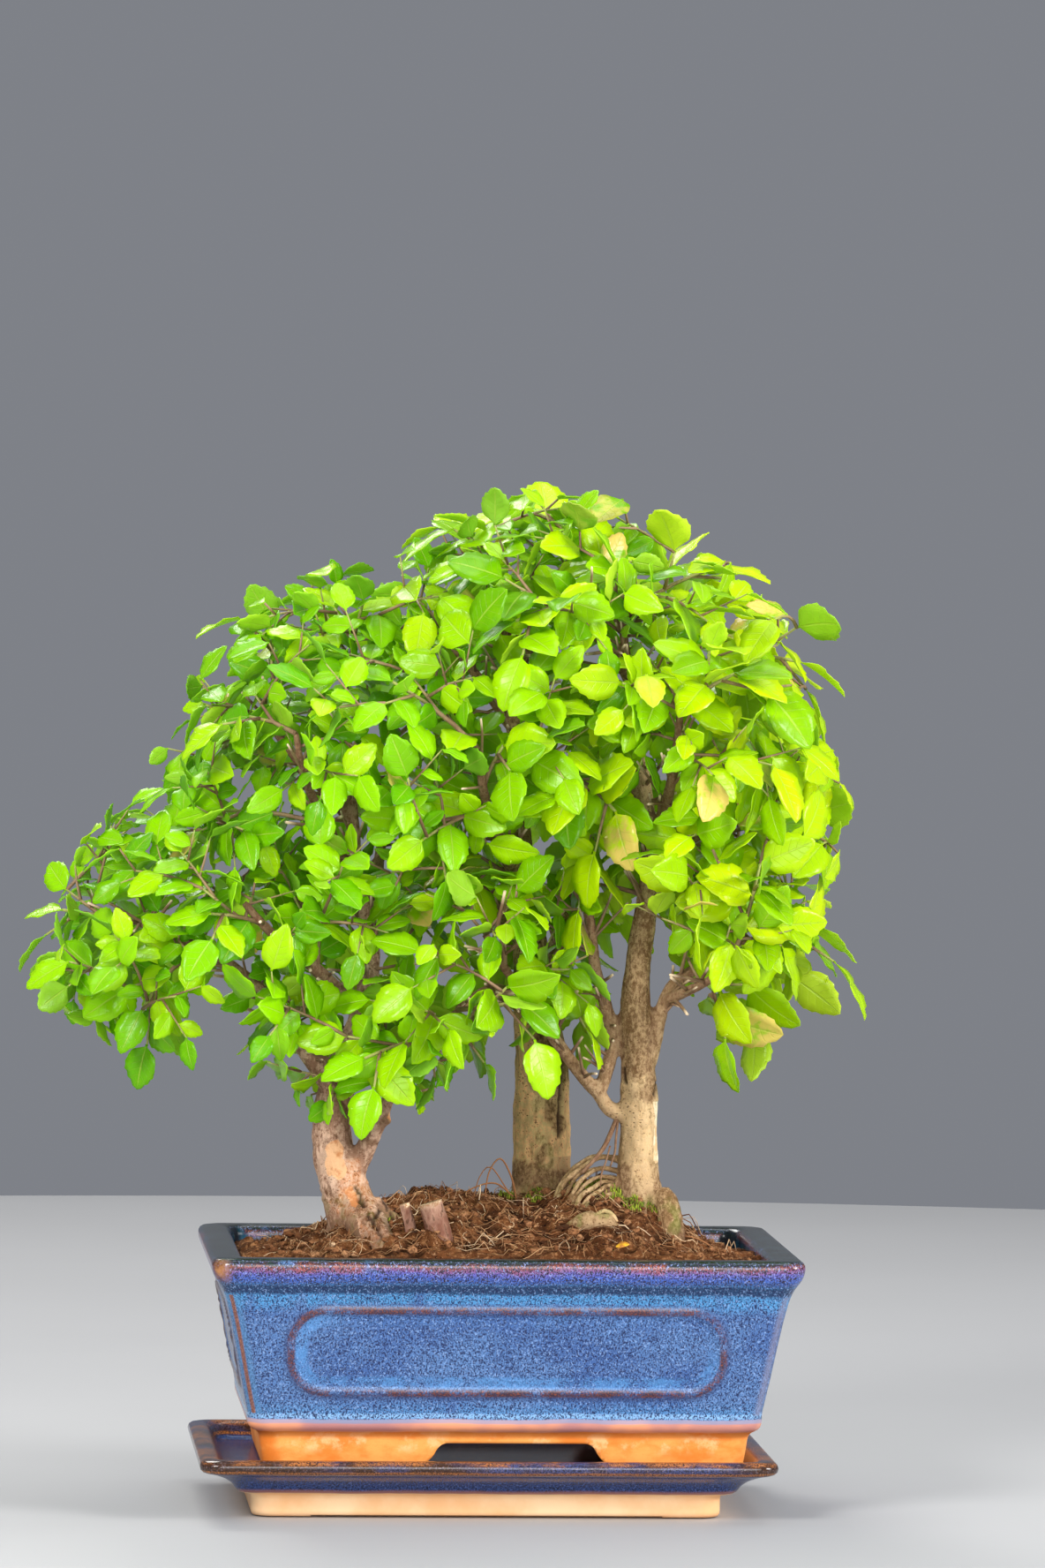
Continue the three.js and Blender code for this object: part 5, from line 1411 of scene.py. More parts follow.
# Brown bark of twigs, green towards their ends and pale where they were cut
def twig_material():
    nodes = Nodes("twig_bark")
    where = nodes.place((1, 1, 0.6))
    tone = nodes.noise(where, 60, 3)
    fine = nodes.noise(where, 700, 3)
    colour = nodes.fade(tone, 0.35, 0.65, rgb(0.20, 0.105, 0.055), rgb(0.33, 0.21, 0.11))
    green = nodes.value("green")
    colour = nodes.mix(green, colour, rgb(0.38, 0.50, 0.08))
    colour = nodes.tint(nodes.step(fine, 0.5, 0.7), 0.4, colour, rgb(0.12, 0.07, 0.04))
    colour = nodes.mix(nodes.value("cut"), colour, rgb(0.78, 0.60, 0.40))
    return nodes.finish(Base_Color=colour, Roughness=0.6, Normal=nodes.bump(fine, 0.0004))


# The crown's outline as the camera sees it, as x and z in the plane of the trunks
CROWN_OUTLINE = [
    (-209, 224), (-194, 251), (-186, 287), (-163, 316), (-160, 336), (-140, 356), (-127, 385), (-101, 403),
    (-67, 429), (-45, 426), (-17, 445), (8, 456), (27, 461), (38, 458), (58, 452), (82, 445), (98, 429),
    (110, 417), (134, 402), (137, 374), (152, 343), (168, 320), (160, 290), (155, 254), (143, 240),
    (154, 209), (132, 222), (108, 208), (84, 216), (80, 262), (61, 262), (60, 190), (37, 184), (28, 214),
    (12, 212), (-5, 196), (-26, 168), (-46, 172), (-66, 160), (-81, 148), (-87, 179), (-105, 179),
    (-132, 181), (-168, 181), (-176, 208),
]
# Places where the photo shows branches between the leaves, as x, z and two radii
CROWN_WINDOWS = [(42, 300, 20, 44), (20, 262, 26, 16), (-36, 262, 18, 14), (70, 230, 16, 34)]
WINDOW_FRONT = -18
WINDOW_SHARE = 0.72

# The extra sprays that fill the crown, each from the nearest limb or stem
FILL_LAYERS = [(0.90, 110), (0.74, 60), (0.54, 30)]
FILL_DIRECTIONS = 260
FIRST_FILL_INDEX = 1000
FILL_LEAVES = 7
FILL_TWIG_LEAVES = 4
MORE_OWN_LEAVES = 5
FILL_STEM_RADIUS = 0.75
FILL_STEM_PARTS = 4
FILL_TWIG_RADIUS = 0.55
FILL_TWIG_LENGTHS = (14, 24)
FILL_TWIG_PLACES = [(0.45, 0.4), (0.62, 2.6), (0.8, 4.8)]
# A stem that fills the crown doesn't start nearer its end than this, nor much above it
FILL_SHORTEST = 22
TOO_NEAR_COST = 60
ABOVE_COST = 0.9
FILL_STEM_SEED = 4100
FILL_LEAF_SEED = 9000
MORE_OWN_SEED = 7000
DRY_TWIG_SEED = 6400
TWIG_STEP = 8
TWIG_SIDES = 5
DRY_TWIG_TRIES = 420
DRY_TWIG_SHORTEST = 10
DRY_TWIG_LONGEST = 30
DRY_TWIG_CLEARANCE = 1.3
DRY_TWIG_REACH = 40


# The extra stems, each from the nearest limb or stem to its anchor
def fill_stems(limbs, stems, anchors, first_index):
    places = np.concatenate([limbs.points[limbs.may_bear]] + [stem.points for stem in stems])
    fresh = []
    draw = Stream(FILL_STEM_SEED)
    for number, anchor in enumerate(anchors, first_index):
        gaps = np.linalg.norm(places - anchor["point"], axis=1)
        gaps = np.where(gaps < FILL_SHORTEST, gaps + TOO_NEAR_COST, gaps)
        below = np.maximum(0, places[:, 2] - anchor["point"][2])
        start = places[int(np.argmin(gaps + ABOVE_COST * below))]
        length = float(np.linalg.norm(anchor["point"] - start))
        bend = vector(draw() - 0.5, draw() - 0.5, 0.5 * draw() + 0.25) * (0.22 * length)
        end = anchor["point"] + vector(draw() - 0.5, draw() - 0.5, draw() - 0.7) * 9
        knots = bent_knots(start, (start + end) / 2 + bend, end, FILL_STEM_PARTS)
        stem = Stem(knots, FILL_STEM_RADIUS, number)
        spray = dict(index=number, anchor=anchor, stem=stem, twigs=[])
        for share, turn in FILL_TWIG_PLACES:
            angle = turn + 1.4 * draw()
            reach = between(*FILL_TWIG_LENGTHS, draw())
            twig, _ = grow_twig(stem, share, angle, reach, 0.6, anchor["outward"], FILL_TWIG_RADIUS)
            spray["twigs"].append(twig)
        fresh.append(spray)
    return fresh


# Points as the camera sees them in the plane of the trunks, as x and z
def seen_places(points):
    place = np.array(CAMERA_PLACE)
    stretch = -place[1] / (points[..., 1] - place[1])
    seen = place + (points - place) * stretch[..., None]
    return seen[..., 0], seen[..., 2]


# Which places lie inside a closed outline
def inside_outline(x, z, outline):
    inside = np.zeros(x.shape, dtype=bool)
    corners = np.array(outline, dtype=float)
    for (x0, z0), (x1, z1) in zip(corners, np.roll(corners, -1, axis=0)):
        if z0 == z1:
            continue
        crosses = (z0 > z) != (z1 > z)
        inside ^= crosses & (x < x0 + (z - z0) * (x1 - x0) / (z1 - z0))
    return inside


# Whether an extra leaf keeps to the crown's outline and leaves its windows open
def crown_room(leaf, draw):
    low = np.array(cad_box[0]) / MM + 1.5
    high = np.array(cad_box[1]) / MM - 1.5
    if not ((leaf.samples > low).all() and (leaf.samples < high).all()):
        return False
    x, z = seen_places(leaf.samples)
    if not inside_outline(x, z, CROWN_OUTLINE).all():
        return False
    if leaf.centre[1] < WINDOW_FRONT:
        middle_x, middle_z = x.mean(), z.mean()
        for window_x, window_z, radius_x, radius_z in CROWN_WINDOWS:
            off = ((middle_x - window_x) / radius_x) ** 2 + ((middle_z - window_z) / radius_z) ** 2
            if off < 1 and draw() < WINDOW_SHARE:
                return False
    return True


# The crown: the CAD model's sprays in finer form, and more stems and leaves between them
def make_crown():
    limbs = Limbs(TREES)
    sprays, stems = grow_stems(crown_anchors(SPRAY_COUNT, ANCHOR_SCALE, CROWN_DIRECTIONS), limbs)
    world = World(limbs, stems)
    for spray in sprays:
        draw = Stream(SPRAY_SEED + 7 + 31 * spray["index"])
        grow_leaves(spray, spray["stem"], STEM_LEAVES, draw, world, OWN_HABIT)
        for twig in spray["twigs"]:
            grow_leaves(spray, twig, TWIG_LEAVES, draw, world, OWN_HABIT)
    extra = []
    taken = [spray["anchor"]["point"] for spray in sprays]
    for scale, count in FILL_LAYERS:
        anchors = crown_anchors(count, scale, FILL_DIRECTIONS, taken)
        taken += [anchor["point"] for anchor in anchors]
        first_index = FIRST_FILL_INDEX + len(extra)
        extra += [(spray, scale) for spray in fill_stems(limbs, stems, anchors, first_index)]
    world.stems += [spray["stem"] for spray, _ in extra]
    for number, (spray, scale) in enumerate(extra):
        draw = Stream(FILL_LEAF_SEED + 13 * number)
        grow_leaves(spray, spray["stem"], FILL_LEAVES, draw, world, FILL_HABIT, scale)
        for twig in spray["twigs"]:
            grow_leaves(spray, twig, FILL_TWIG_LEAVES, draw, world, FILL_HABIT, scale)
    for spray in sprays:
        draw = Stream(MORE_OWN_SEED + spray["index"])
        for stem in [spray["stem"]] + spray["twigs"]:
            grow_leaves(spray, stem, MORE_OWN_LEAVES, draw, world, FILL_HABIT, 0.9)
    world.dry_twigs = grow_dry_twigs(limbs, world)
    return sprays, [spray for spray, _ in extra], world


# Dry twigs that were cut short, on the front limbs, each with its tree and its course
def grow_dry_twigs(limbs, world):
    draw = Stream(DRY_TWIG_SEED)
    centres = np.array([leaf.centre for leaf in world.leaves])
    bearing = limbs.may_bear & (limbs.radii < 6) & (limbs.points[:, 2] > 185) & (limbs.points[:, 1] < 20)
    places = np.nonzero(bearing)[0]
    twigs = []
    for _ in range(DRY_TWIG_TRIES):
        at = places[int(draw() * len(places))]
        way = unit(0.5 * limbs.directions[at] + vector(1.6 * draw() - 0.8, -1.1 * draw(), 1.2 * draw() - 0.5))
        start = limbs.points[at]
        reach = between(DRY_TWIG_SHORTEST, DRY_TWIG_LONGEST, draw())
        bend = vector(draw() - 0.5, draw() - 0.5, draw() - 0.5) * (0.25 * reach)
        shares = np.linspace(0, 1, 5)[:, None]
        course = start + shares * reach * way + shares * (1 - shares) * bend
        thick = limbs.radii[at] + 1
        free = course[np.linalg.norm(course - start, axis=1) > thick]
        x, z = seen_places(free)
        if not inside_outline(x, z, CROWN_OUTLINE).all():
            continue
        gaps = np.linalg.norm(centres - course[2], axis=1)
        near = [world.leaves[number] for number in np.nonzero(gaps < DRY_TWIG_REACH)[0]]
        samples = np.concatenate([free, (free[1:] + free[:-1]) / 2])
        if any(leaf.near(samples, DRY_TWIG_CLEARANCE).any() for leaf in near):
            continue
        radius = between(1.0, 0.62, shares[:, 0]) * between(0.75, 1.15, draw())
        twigs.append((int(limbs.trees[at]), np.column_stack([course, radius])))
    return twigs


# Half length and height along the pot's skin, from its foot over the rim to the floor inside
POT_SKIN = [
    (104.0, 19.0), (104.8, 19.4), (105.1, 20.5), (106.4, 28), (107.6, 36.6), (108.0, 37.8), (109.4, 39.0),
    (111.6, 40.0), (112.7, 41.4), (113.2, 44), (113.2, 47.5), (116.2, 62), (119.2, 78), (121.4, 89),
    (123.4, 97.4), (124.6, 101.0), (126.2, 104.0), (128.4, 107.0), (129.5, 109.8), (130.0, 112.8),
    (129.4, 115.2), (127.6, 116.2), (122, 116.4), (118, 116.0), (116.2, 115.0), (115.7, 113), (115.4, 108),
    (113.5, 98), (106.5, 62), (103.5, 48), (101.5, 45.2), (60, 45),
]
POT_SKIN_INSIDE = 26
POT_SKIN_OUTSIDE = 20
HIDDEN_STEP = 9
FOOT_HOLLOW = [(94.5, 17), (94.8, 21), (92.5, 36), (90.5, 38), (50, 38.2)]
ARCH_HALF_X = 30
ARCH_SPRING_HALF_X = 38
ARCH_TOP = 34
ARCH_CENTRE_X = 12
DRAIN_RADIUS = 9
DRAIN_X = 52
DRAIN_HEIGHTS = (34, 50)
DRAIN_SIDES = 24
PANEL_HALF_X = 96.5
PANEL_HALF_Z = 20
PANEL_CENTRE_Z = 75
PANEL_CORNER = 17
BEAD_WIDTH = 3.6
BEAD_HEIGHT = 1.1
KNOB_PLACE = (-119, -92, 111)
KNOB_RADIUS = 5.5
POT_INSET = POT_HALF_X - POT_HALF_Y
POT_SPACING = 2.5
SKIN_STEP = 1.5
CORNER_STEPS = 10
HOLLOW_STEP = 4
HOLLOW_SPACING = 16
# Which points of the pot belong to a wall, to the band of its panels and to its inside
WALL_TOLERANCE = 0.4
PANEL_BAND = (46, 104)
CORNER_BAND = (47, 101)
INNER_WALL_HEIGHTS = [44, 48, 62, 98, 108]
INNER_WALL_HALVES = [98, 100, 103, 110, 112]
INNER_WALL_DEPTH = 3.6
FAR_FROM_LINE = 60.0
# The long walls are a little uneven: how much, over which length, and the seed
WALL_SWAY = (0.5, 45, 61)

TRAY_HALF_X = 127
TRAY_HALF_Y = 89
TRAY_SKIN = [
    (60, 0), (101.6, 0), (102.9, 0.5), (103.5, 1.6), (103.5, 9.8), (104.3, 10.7), (108.8, 11.0),
    (110.4, 12.4), (111.6, 14.6), (114.7, 17.4), (119.8, 19.7), (125.4, 21.2), (126.8, 22.4),
    (127.2, 24.2), (126.7, 26.2),
    (125.0, 27.1), (121, 27.2), (118.9, 26.9), (117.8, 25.6), (115.8, 22.6), (114.2, 20.0), (112.6, 19.1),
    (60, 19.0),
]
TRAY_CORNER = 9
TRAY_SPACING = 3.5
TRAY_FOOT_HALF_X = 103.5
# The tray's foot is cut low between its corners, so that it stands on four pads
FOOT_PAD = 26
FOOT_GAP_TOP = 1.2


# A level ring round a rectangle with round corners; each side and corner has a fixed count
def rounded_ring(half_x, half_y, corner, steps_x, steps_y, steps_corner):
    flat_x = half_x - corner
    flat_y = half_y - corner
    quarters = [(1, 1), (-1, 1), (-1, -1), (1, -1)]
    points = []
    for quarter, signs in enumerate(quarters):
        middle = np.array(signs) * (flat_x, flat_y)
        next_middle = np.array(quarters[(quarter + 1) % 4]) * (flat_x, flat_y)
        angles = (quarter + np.arange(steps_corner) / steps_corner) * math.pi / 2
        points.append(middle + corner * np.stack([np.cos(angles), np.sin(angles)], 1))
        turn = (quarter + 1) * math.pi / 2
        outward = corner * np.array([math.cos(turn), math.sin(turn)])
        start, end = middle + outward, next_middle + outward
        steps = steps_x if quarter % 2 == 0 else steps_y
        shares = np.arange(steps)[:, None] / steps
        points.append(start + (end - start) * shares)
    return np.concatenate(points)


# A closed body from a skin of half lengths and heights, swept round rounded rectangles
def swept_body(skin, step, corner, inset, centre_x, spacing, hidden_from=99):
    course = smooth_skin(skin, step, hidden_from)
    steps_x = int(2 * course[:, 0].max() / spacing)
    steps_y = int(2 * (course[:, 0].max() - inset) / spacing)
    rings = []
    for half, z in course:
        ring = rounded_ring(half, half - inset, corner, steps_x, steps_y, CORNER_STEPS)
        rings.append(np.column_stack([ring[:, 0] + centre_x, ring[:, 1], np.full(len(ring), z)]))
    ends = [(centre_x, 0, course[0][1]), (centre_x, 0, course[-1][1])]
    return turned_out(*stitched(rings, ends))


# A skin with points about a step apart and its bends eased, coarser where it can't be seen
def smooth_skin(skin, step, hidden_from):
    table = np.column_stack([np.array(skin, dtype=float), np.zeros(len(skin))])
    rows = []
    for index in range(len(table) - 1):
        start, end = table[index], table[index + 1]
        length = float(np.linalg.norm(end - start))
        wanted = HIDDEN_STEP if index >= hidden_from else step
        count = max(1, int(round(length / wanted)))
        if length > 30 and abs(end[1] - start[1]) < 1:
            count = 2
        for part in range(count):
            rows.append(start + (end - start) * part / count)
    rows.append(table[-1])
    rows = np.array(rows)[:, :2]
    eased = rows.copy()
    eased[1:-1] = 0.25 * rows[:-2] + 0.5 * rows[1:-1] + 0.25 * rows[2:]
    return eased


# Distance outside a rectangle with round corners, below zero inside
def panel_distance(along, height, half_length):
    away_x = np.abs(along) - (half_length - PANEL_CORNER)
    away_z = np.abs(height - PANEL_CENTRE_Z) - (PANEL_HALF_Z - PANEL_CORNER)
    outside = np.hypot(np.maximum(away_x, 0), np.maximum(away_z, 0))
    return outside + np.minimum(np.maximum(away_x, away_z), 0) - PANEL_CORNER


# Half width of the pot's outer wall at heights
def wall_half(z):
    skin = np.array(POT_SKIN[:POT_SKIN_OUTSIDE])
    return np.interp(z, skin[:, 1], skin[:, 0])


# The panels' raised lines, with values that say how near each point is to them
def raise_panels(points):
    x, y, z = (points - [POT_X, 0, 0]).T
    half = wall_half(z)
    flush = half - WALL_TOLERANCE
    on_long = (np.abs(y) > flush - POT_INSET) & (np.abs(x) < half - POT_CORNER)
    on_short = (np.abs(x) > flush) & (np.abs(y) < half - POT_INSET - POT_CORNER)
    in_band = (z > PANEL_BAND[0]) & (z < PANEL_BAND[1])
    distance = np.full(len(points), FAR_FROM_LINE)
    distance = np.where(on_long & in_band, panel_distance(x, z, PANEL_HALF_X), distance)
    distance = np.where(on_short & in_band, panel_distance(y, z, PANEL_HALF_X - POT_INSET), distance)
    line = distance + BEAD_WIDTH / 2
    lift = BEAD_HEIGHT * np.exp(-(line / 1.25) ** 2) - 0.25 * np.exp(-((np.abs(line) - 3.4) / 1.6) ** 2)
    lift = np.where(distance < 50, lift, 0)
    out = np.zeros_like(points)
    out[:, 1] = np.where(on_long, np.sign(y) * lift, 0)
    out[:, 0] = np.where(on_short & ~on_long, np.sign(x) * lift, 0)
    return points + out, line


# How near points of the pot's wall lie to the middle of one of its four upright corners
def corner_share(points):
    half = wall_half(points[:, 2])
    x = np.abs(points[:, 0] - POT_X) - (half - POT_CORNER)
    y = np.abs(points[:, 1]) - (half - POT_INSET - POT_CORNER)
    turn = np.degrees(np.arctan2(np.maximum(y, 0), np.maximum(x, 1e-6)))
    in_corner = (x > 0) & (y > 0) & (points[:, 2] > CORNER_BAND[0]) & (points[:, 2] < CORNER_BAND[1])
    return np.where(in_corner, 1 - np.abs(turn - 45) / 45, 0)


# Cuts a pile of bodies out of a piece
def cut_away(piece, cutters):
    cutter = cutters.piece("cutter")
    knife = piece.modifiers.new("cut", "BOOLEAN")
    knife.operation = "DIFFERENCE"
    knife.solver = "EXACT"
    knife.use_self = True
    knife.object = cutter
    apply_modifiers(piece)
    bpy.data.objects.remove(cutter)


# A prism along Y from an outline of x and z
def prism(outline, half_y):
    outline = np.array(outline, dtype=float)
    count = len(outline)
    x, z = np.vstack([outline, outline.mean(axis=0)]).T
    front, back = (np.column_stack([x, np.full(count + 1, y), z]) for y in (-half_y, half_y))
    points = np.concatenate([front[:-1], back[:-1], front[-1:], back[-1:]])
    side = np.arange(count)
    after = (side + 1) % count
    faces = [
        np.stack([side, side + count, after + count], 1), np.stack([side, after + count, after], 1),
        np.stack([side, after, np.full(count, 2 * count)], 1),
        np.stack([after + count, side + count, np.full(count, 2 * count + 1)], 1),
    ]
    return turned_out(points, np.concatenate(faces))


# Points along a simple curve, without its end
def curve_points(start, control, end, steps):
    shares = np.arange(steps)[:, None] / steps
    start, control, end = (np.array(point, dtype=float) for point in (start, control, end))
    return start * (1 - shares) ** 2 + control * 2 * (1 - shares) * shares + end * shares ** 2


# The bracket arch through the pot's foot, from front to back
def foot_arch():
    low = TRAY_FLOOR - 1
    spring = ARCH_SPRING_HALF_X
    right = np.concatenate([
        curve_points((spring + 16, low), (spring + 2, low + 5), (spring - 2, ARCH_TOP - 5), 8),
        curve_points((spring - 2, ARCH_TOP - 5), (spring - 4, ARCH_TOP), (ARCH_HALF_X, ARCH_TOP), 6),
        [[ARCH_HALF_X, ARCH_TOP]],
    ])
    left = right[::-1] * np.array([-1, 1])
    outline = np.concatenate([right, left])
    outline[:, 0] += ARCH_CENTRE_X
    return prism(outline[::-1], POT_HALF_X)


# The pot with its panel lines, hollow foot, arches and drain holes
def make_pot():
    points, faces = swept_body(POT_SKIN, SKIN_STEP, POT_CORNER, POT_INSET, POT_X, POT_SPACING,
                               POT_SKIN_INSIDE)
    points, _ = raise_panels(points)
    sway_depth, sway_size, sway_seed = WALL_SWAY
    sway = sway_depth * (layered_noise(points, sway_size, sway_seed, 2) - 0.5)
    points[:, 1] += np.where(np.abs(points[:, 1]) > 70, sway, 0)
    pile = Pile()
    pile.add(points, faces)
    piece = pile.piece("glazed_pot")
    cutters = Pile()
    cutters.add(*swept_body(FOOT_HOLLOW, HOLLOW_STEP, POT_CORNER - 4, POT_INSET, POT_X, HOLLOW_SPACING))
    cutters.add(*foot_arch())
    for side in (-1, 1):
        drain_x = POT_X + side * DRAIN_X
        course = np.array([[drain_x, 0, z, DRAIN_RADIUS] for z in DRAIN_HEIGHTS])
        cutters.add(*tube(course, DRAIN_SIDES))
    cut_away(piece, cutters)
    moved = mesh_points(piece)
    add_values(piece, "line", np.clip(raise_panels(moved)[1], -FAR_FROM_LINE, FAR_FROM_LINE))
    wall = np.interp(moved[:, 2], INNER_WALL_HEIGHTS, INNER_WALL_HALVES) + INNER_WALL_DEPTH
    inside = (np.abs(moved[:, 0] - POT_X) < wall) & (np.abs(moved[:, 1]) < wall - POT_INSET)
    add_values(piece, "inside", inside & (moved[:, 2] > 43) & (moved[:, 2] < POT_TOP - 0.5))
    add_values(piece, "edge", corner_share(moved))
    knob = np.linalg.norm(moved - KNOB_PLACE, axis=1)
    add_values(piece, "knob", np.clip(1.3 - knob / KNOB_RADIUS, 0, 1))
    return settle(piece, pot_material(), ["pot"])


# The tray, on four pads
def make_tray():
    inset = TRAY_HALF_X - TRAY_HALF_Y
    pile = Pile()
    pile.add(*swept_body(TRAY_SKIN, SKIN_STEP, TRAY_CORNER, inset, 0, TRAY_SPACING))
    piece = pile.piece("glazed_tray")
    cutters = Pile()
    foot_x = TRAY_FOOT_HALF_X
    foot_y = foot_x - inset
    for side in (-1, 1):
        low, high = sorted((side * (foot_y - 7), side * (foot_y + 1)))
        cutters.add(*box_body(FOOT_PAD - foot_x, foot_x - FOOT_PAD, low, high, -1, FOOT_GAP_TOP))
        low, high = sorted((side * (foot_x - 7), side * (foot_x + 1)))
        cutters.add(*box_body(low, high, FOOT_PAD - foot_y, foot_y - FOOT_PAD, -1, FOOT_GAP_TOP))
    cut_away(piece, cutters)
    return settle(piece, tray_material(), ["tray"])


# A box between low and high places
def box_body(low_x, high_x, low_y, high_y, low_z, high_z):
    outline = [(high_x, low_z), (low_x, low_z), (low_x, high_z), (high_x, high_z)]
    points, faces = prism(outline, (high_y - low_y) / 2)
    points[:, 1] += (high_y + low_y) / 2
    return points, faces


GLAZE_SHINE = 0.4


# Dark and light specks of a mottled glaze over its colour
def speckled(nodes, colour, dark, light, amount=1.0):
    where = nodes.place((1, 1, 0.75))
    fine = nodes.noise(where, 1500, 2, 0.8)
    second = nodes.noise(where, 1100, 3, 0.75, 0.4)
    colour = nodes.tint(nodes.step(fine, 0.54, 0.43), 0.92 * amount, colour, dark)
    return nodes.tint(nodes.step(second, 0.55, 0.64), 0.6 * amount, colour, light)


# How far a value lies within a width of a middle: 1 at the middle and 0 outside
def near_level(nodes, value, middle, width):
    away = nodes.math("ABSOLUTE", nodes.minus(value, middle))
    return nodes.step(away, width, 0.4 * width)


# Heights in millimetres where the pot's bare clay ends, its rim begins and its flat top begins
CLAY_END = (39.8, 38.8)
RIM_START = (104.2, 106.2)
TOP_START = (115.2, 116.0)
# The same for the tray: where its bare clay ends and its dark lip begins
TRAY_CLAY_END = (11.8, 10.9)
TRAY_LIP_START = (20.2, 21.6)


# Heights in millimetres moved up and down by noise, so that glaze ends in a wavy line
def uneven(nodes, height, where, scale, amount):
    wander = nodes.minus(nodes.noise(where, scale, 3), 0.5)
    return nodes.plus(height, nodes.times(wander, amount))


# Blue glaze on the walls, a dark top and inside, and bare clay below
def pot_material():
    nodes = Nodes("pot_glaze")
    axes = nodes.axes()
    where = nodes.place()
    height = nodes.times(axes[2], 1000)
    level = uneven(nodes, height, where, 28, 3.0)
    fine = nodes.noise(where, 1500, 2, 0.75)
    clouds = nodes.noise(nodes.place((1, 1, 1.7)), 17, 4)
    blots = nodes.noise(where, 62, 5, 0.7)
    runs = nodes.noise(nodes.place((1, 1, 0.3)), 120, 3)
    clay = nodes.step(level, *CLAY_END)
    colour = wall_colour(nodes, level, clouds, runs)
    colour = lined_colour(nodes, colour, axes, height, fine, blots)
    colour = nodes.fade(level, *RIM_START, colour, rim_colour(nodes, height, blots))
    knob_colour = nodes.fade(blots, 0.42, 0.6, rgb(0.10, 0.030, 0.010), rgb(0.46, 0.20, 0.06))
    colour = nodes.mix(nodes.value("knob"), colour, knob_colour)
    top_colour = nodes.fade(blots, 0.42, 0.62, rgb(0.008, 0.014, 0.012), rgb(0.026, 0.050, 0.065))
    top_colour = speckled(nodes, top_colour, rgb(0.006, 0.006, 0.006), rgb(0.09, 0.12, 0.13), 0.9)
    colour = nodes.fade(height, *TOP_START, colour, top_colour)
    inner_colour = nodes.fade(runs, 0.4, 0.6, rgb(0.008, 0.012, 0.020), rgb(0.018, 0.085, 0.15))
    colour = nodes.mix(nodes.value("inside"), colour, inner_colour)
    colour = nodes.mix(clay, colour, clay_colour(nodes, height, fine, blots))
    rough = nodes.plus(0.27, nodes.times(clay, 0.41))
    rough = nodes.minus(rough, nodes.times(nodes.step(level, 104, 106), 0.08))
    relief = nodes.plus(nodes.times(fine, 0.10), nodes.times(clouds, 0.8))
    normal = nodes.bump(relief, 0.0006, 0.6)
    return nodes.finish(Base_Color=colour, Roughness=rough, Normal=normal, Specular_IOR_Level=GLAZE_SHINE)


# The pot's blue wall, brighter under the rim and near its foot, with a bare pink edge below
def wall_colour(nodes, level, clouds, runs):
    blue = nodes.fade(clouds, 0.36, 0.64, rgb(0.040, 0.100, 0.29), rgb(0.084, 0.178, 0.39))
    bright = nodes.plus(nodes.times(nodes.step(level, 91, 98), 0.95),
                        nodes.times(nodes.step(level, 55, 45), 0.6))
    blue = nodes.tint(bright, nodes.step(runs, 0.25, 0.5), blue, rgb(0.070, 0.275, 0.56))
    blue = nodes.tint(near_level(nodes, level, 46.6, 1.5), 0.7, blue, rgb(0.25, 0.46, 0.74))
    blue = nodes.tint(near_level(nodes, level, 103.0, 3.0), 0.95, blue, rgb(0.010, 0.040, 0.11))
    blue = speckled(nodes, blue, rgb(0.008, 0.014, 0.065), rgb(0.25, 0.40, 0.72), 1.05)
    bare = nodes.noise(nodes.place(), 22, 3)
    bare_colour = nodes.fade(bare, 0.38, 0.62, rgb(0.84, 0.34, 0.17), rgb(0.46, 0.20, 0.19))
    glaze_edge = nodes.fade(bare, 0.4, 0.6, rgb(0.42, 0.30, 0.36), rgb(0.24, 0.24, 0.36))
    blue = nodes.fade(level, 45.6, 44.6, blue, glaze_edge)
    return nodes.fade(level, 43.8, 42.8, blue, bare_colour)


# Brown broken lines along the panels and corners, with paler blue glaze that ran beside them, and a painted
# grey-lilac highlight on the right corners
def lined_colour(nodes, colour, axes, height, fine, blots):
    line = nodes.value("line")
    low_side = nodes.math("MAXIMUM", nodes.step(height, 80, 58), nodes.step(axes[0], -0.06, -0.085))
    pool = nodes.times(near_level(nodes, line, -4.2, 4.0), nodes.math("ADD", low_side, 0.15, clamp=True))
    pool = nodes.times(pool, nodes.step(nodes.plus(fine, blots), 0.86, 1.12))
    colour = nodes.tint(pool, 0.62, colour, rgb(0.085, 0.27, 0.58))
    colour = nodes.tint(near_level(nodes, line, 1.9, 2.2), 0.4, colour, rgb(0.03, 0.045, 0.13))
    broken = nodes.step(nodes.plus(blots, nodes.times(fine, 0.35)), 0.50, 0.74)
    ridge = nodes.times(near_level(nodes, line, 0.1, 2.3), broken)
    ridge_colour = nodes.fade(fine, 0.50, 0.62, rgb(0.040, 0.018, 0.030), rgb(0.20, 0.050, 0.020))
    colour = nodes.tint(ridge, 0.95, colour, ridge_colour)
    edge = nodes.times(nodes.value("edge"), nodes.step(axes[0], 0.03, -0.03))
    colour = nodes.tint(nodes.step(edge, 0.25, 0.6), 0.35, colour, rgb(0.085, 0.25, 0.46))
    worn = nodes.fade(fine, 0.48, 0.62, rgb(0.15, 0.045, 0.020), rgb(0.36, 0.13, 0.05))
    colour = nodes.tint(nodes.step(edge, 0.76, 0.90), 0.9, colour, worn)
    # Painted highlight: grey-lilac on the pot's right-hand corners, where the light catches them
    right_corner_highlight = nodes.times(nodes.value("edge"), nodes.step(axes[0], 0.03, 0.09))
    return nodes.tint(nodes.step(right_corner_highlight, 0.5, 0.95), 0.55, colour, rgb(0.20, 0.20, 0.30))


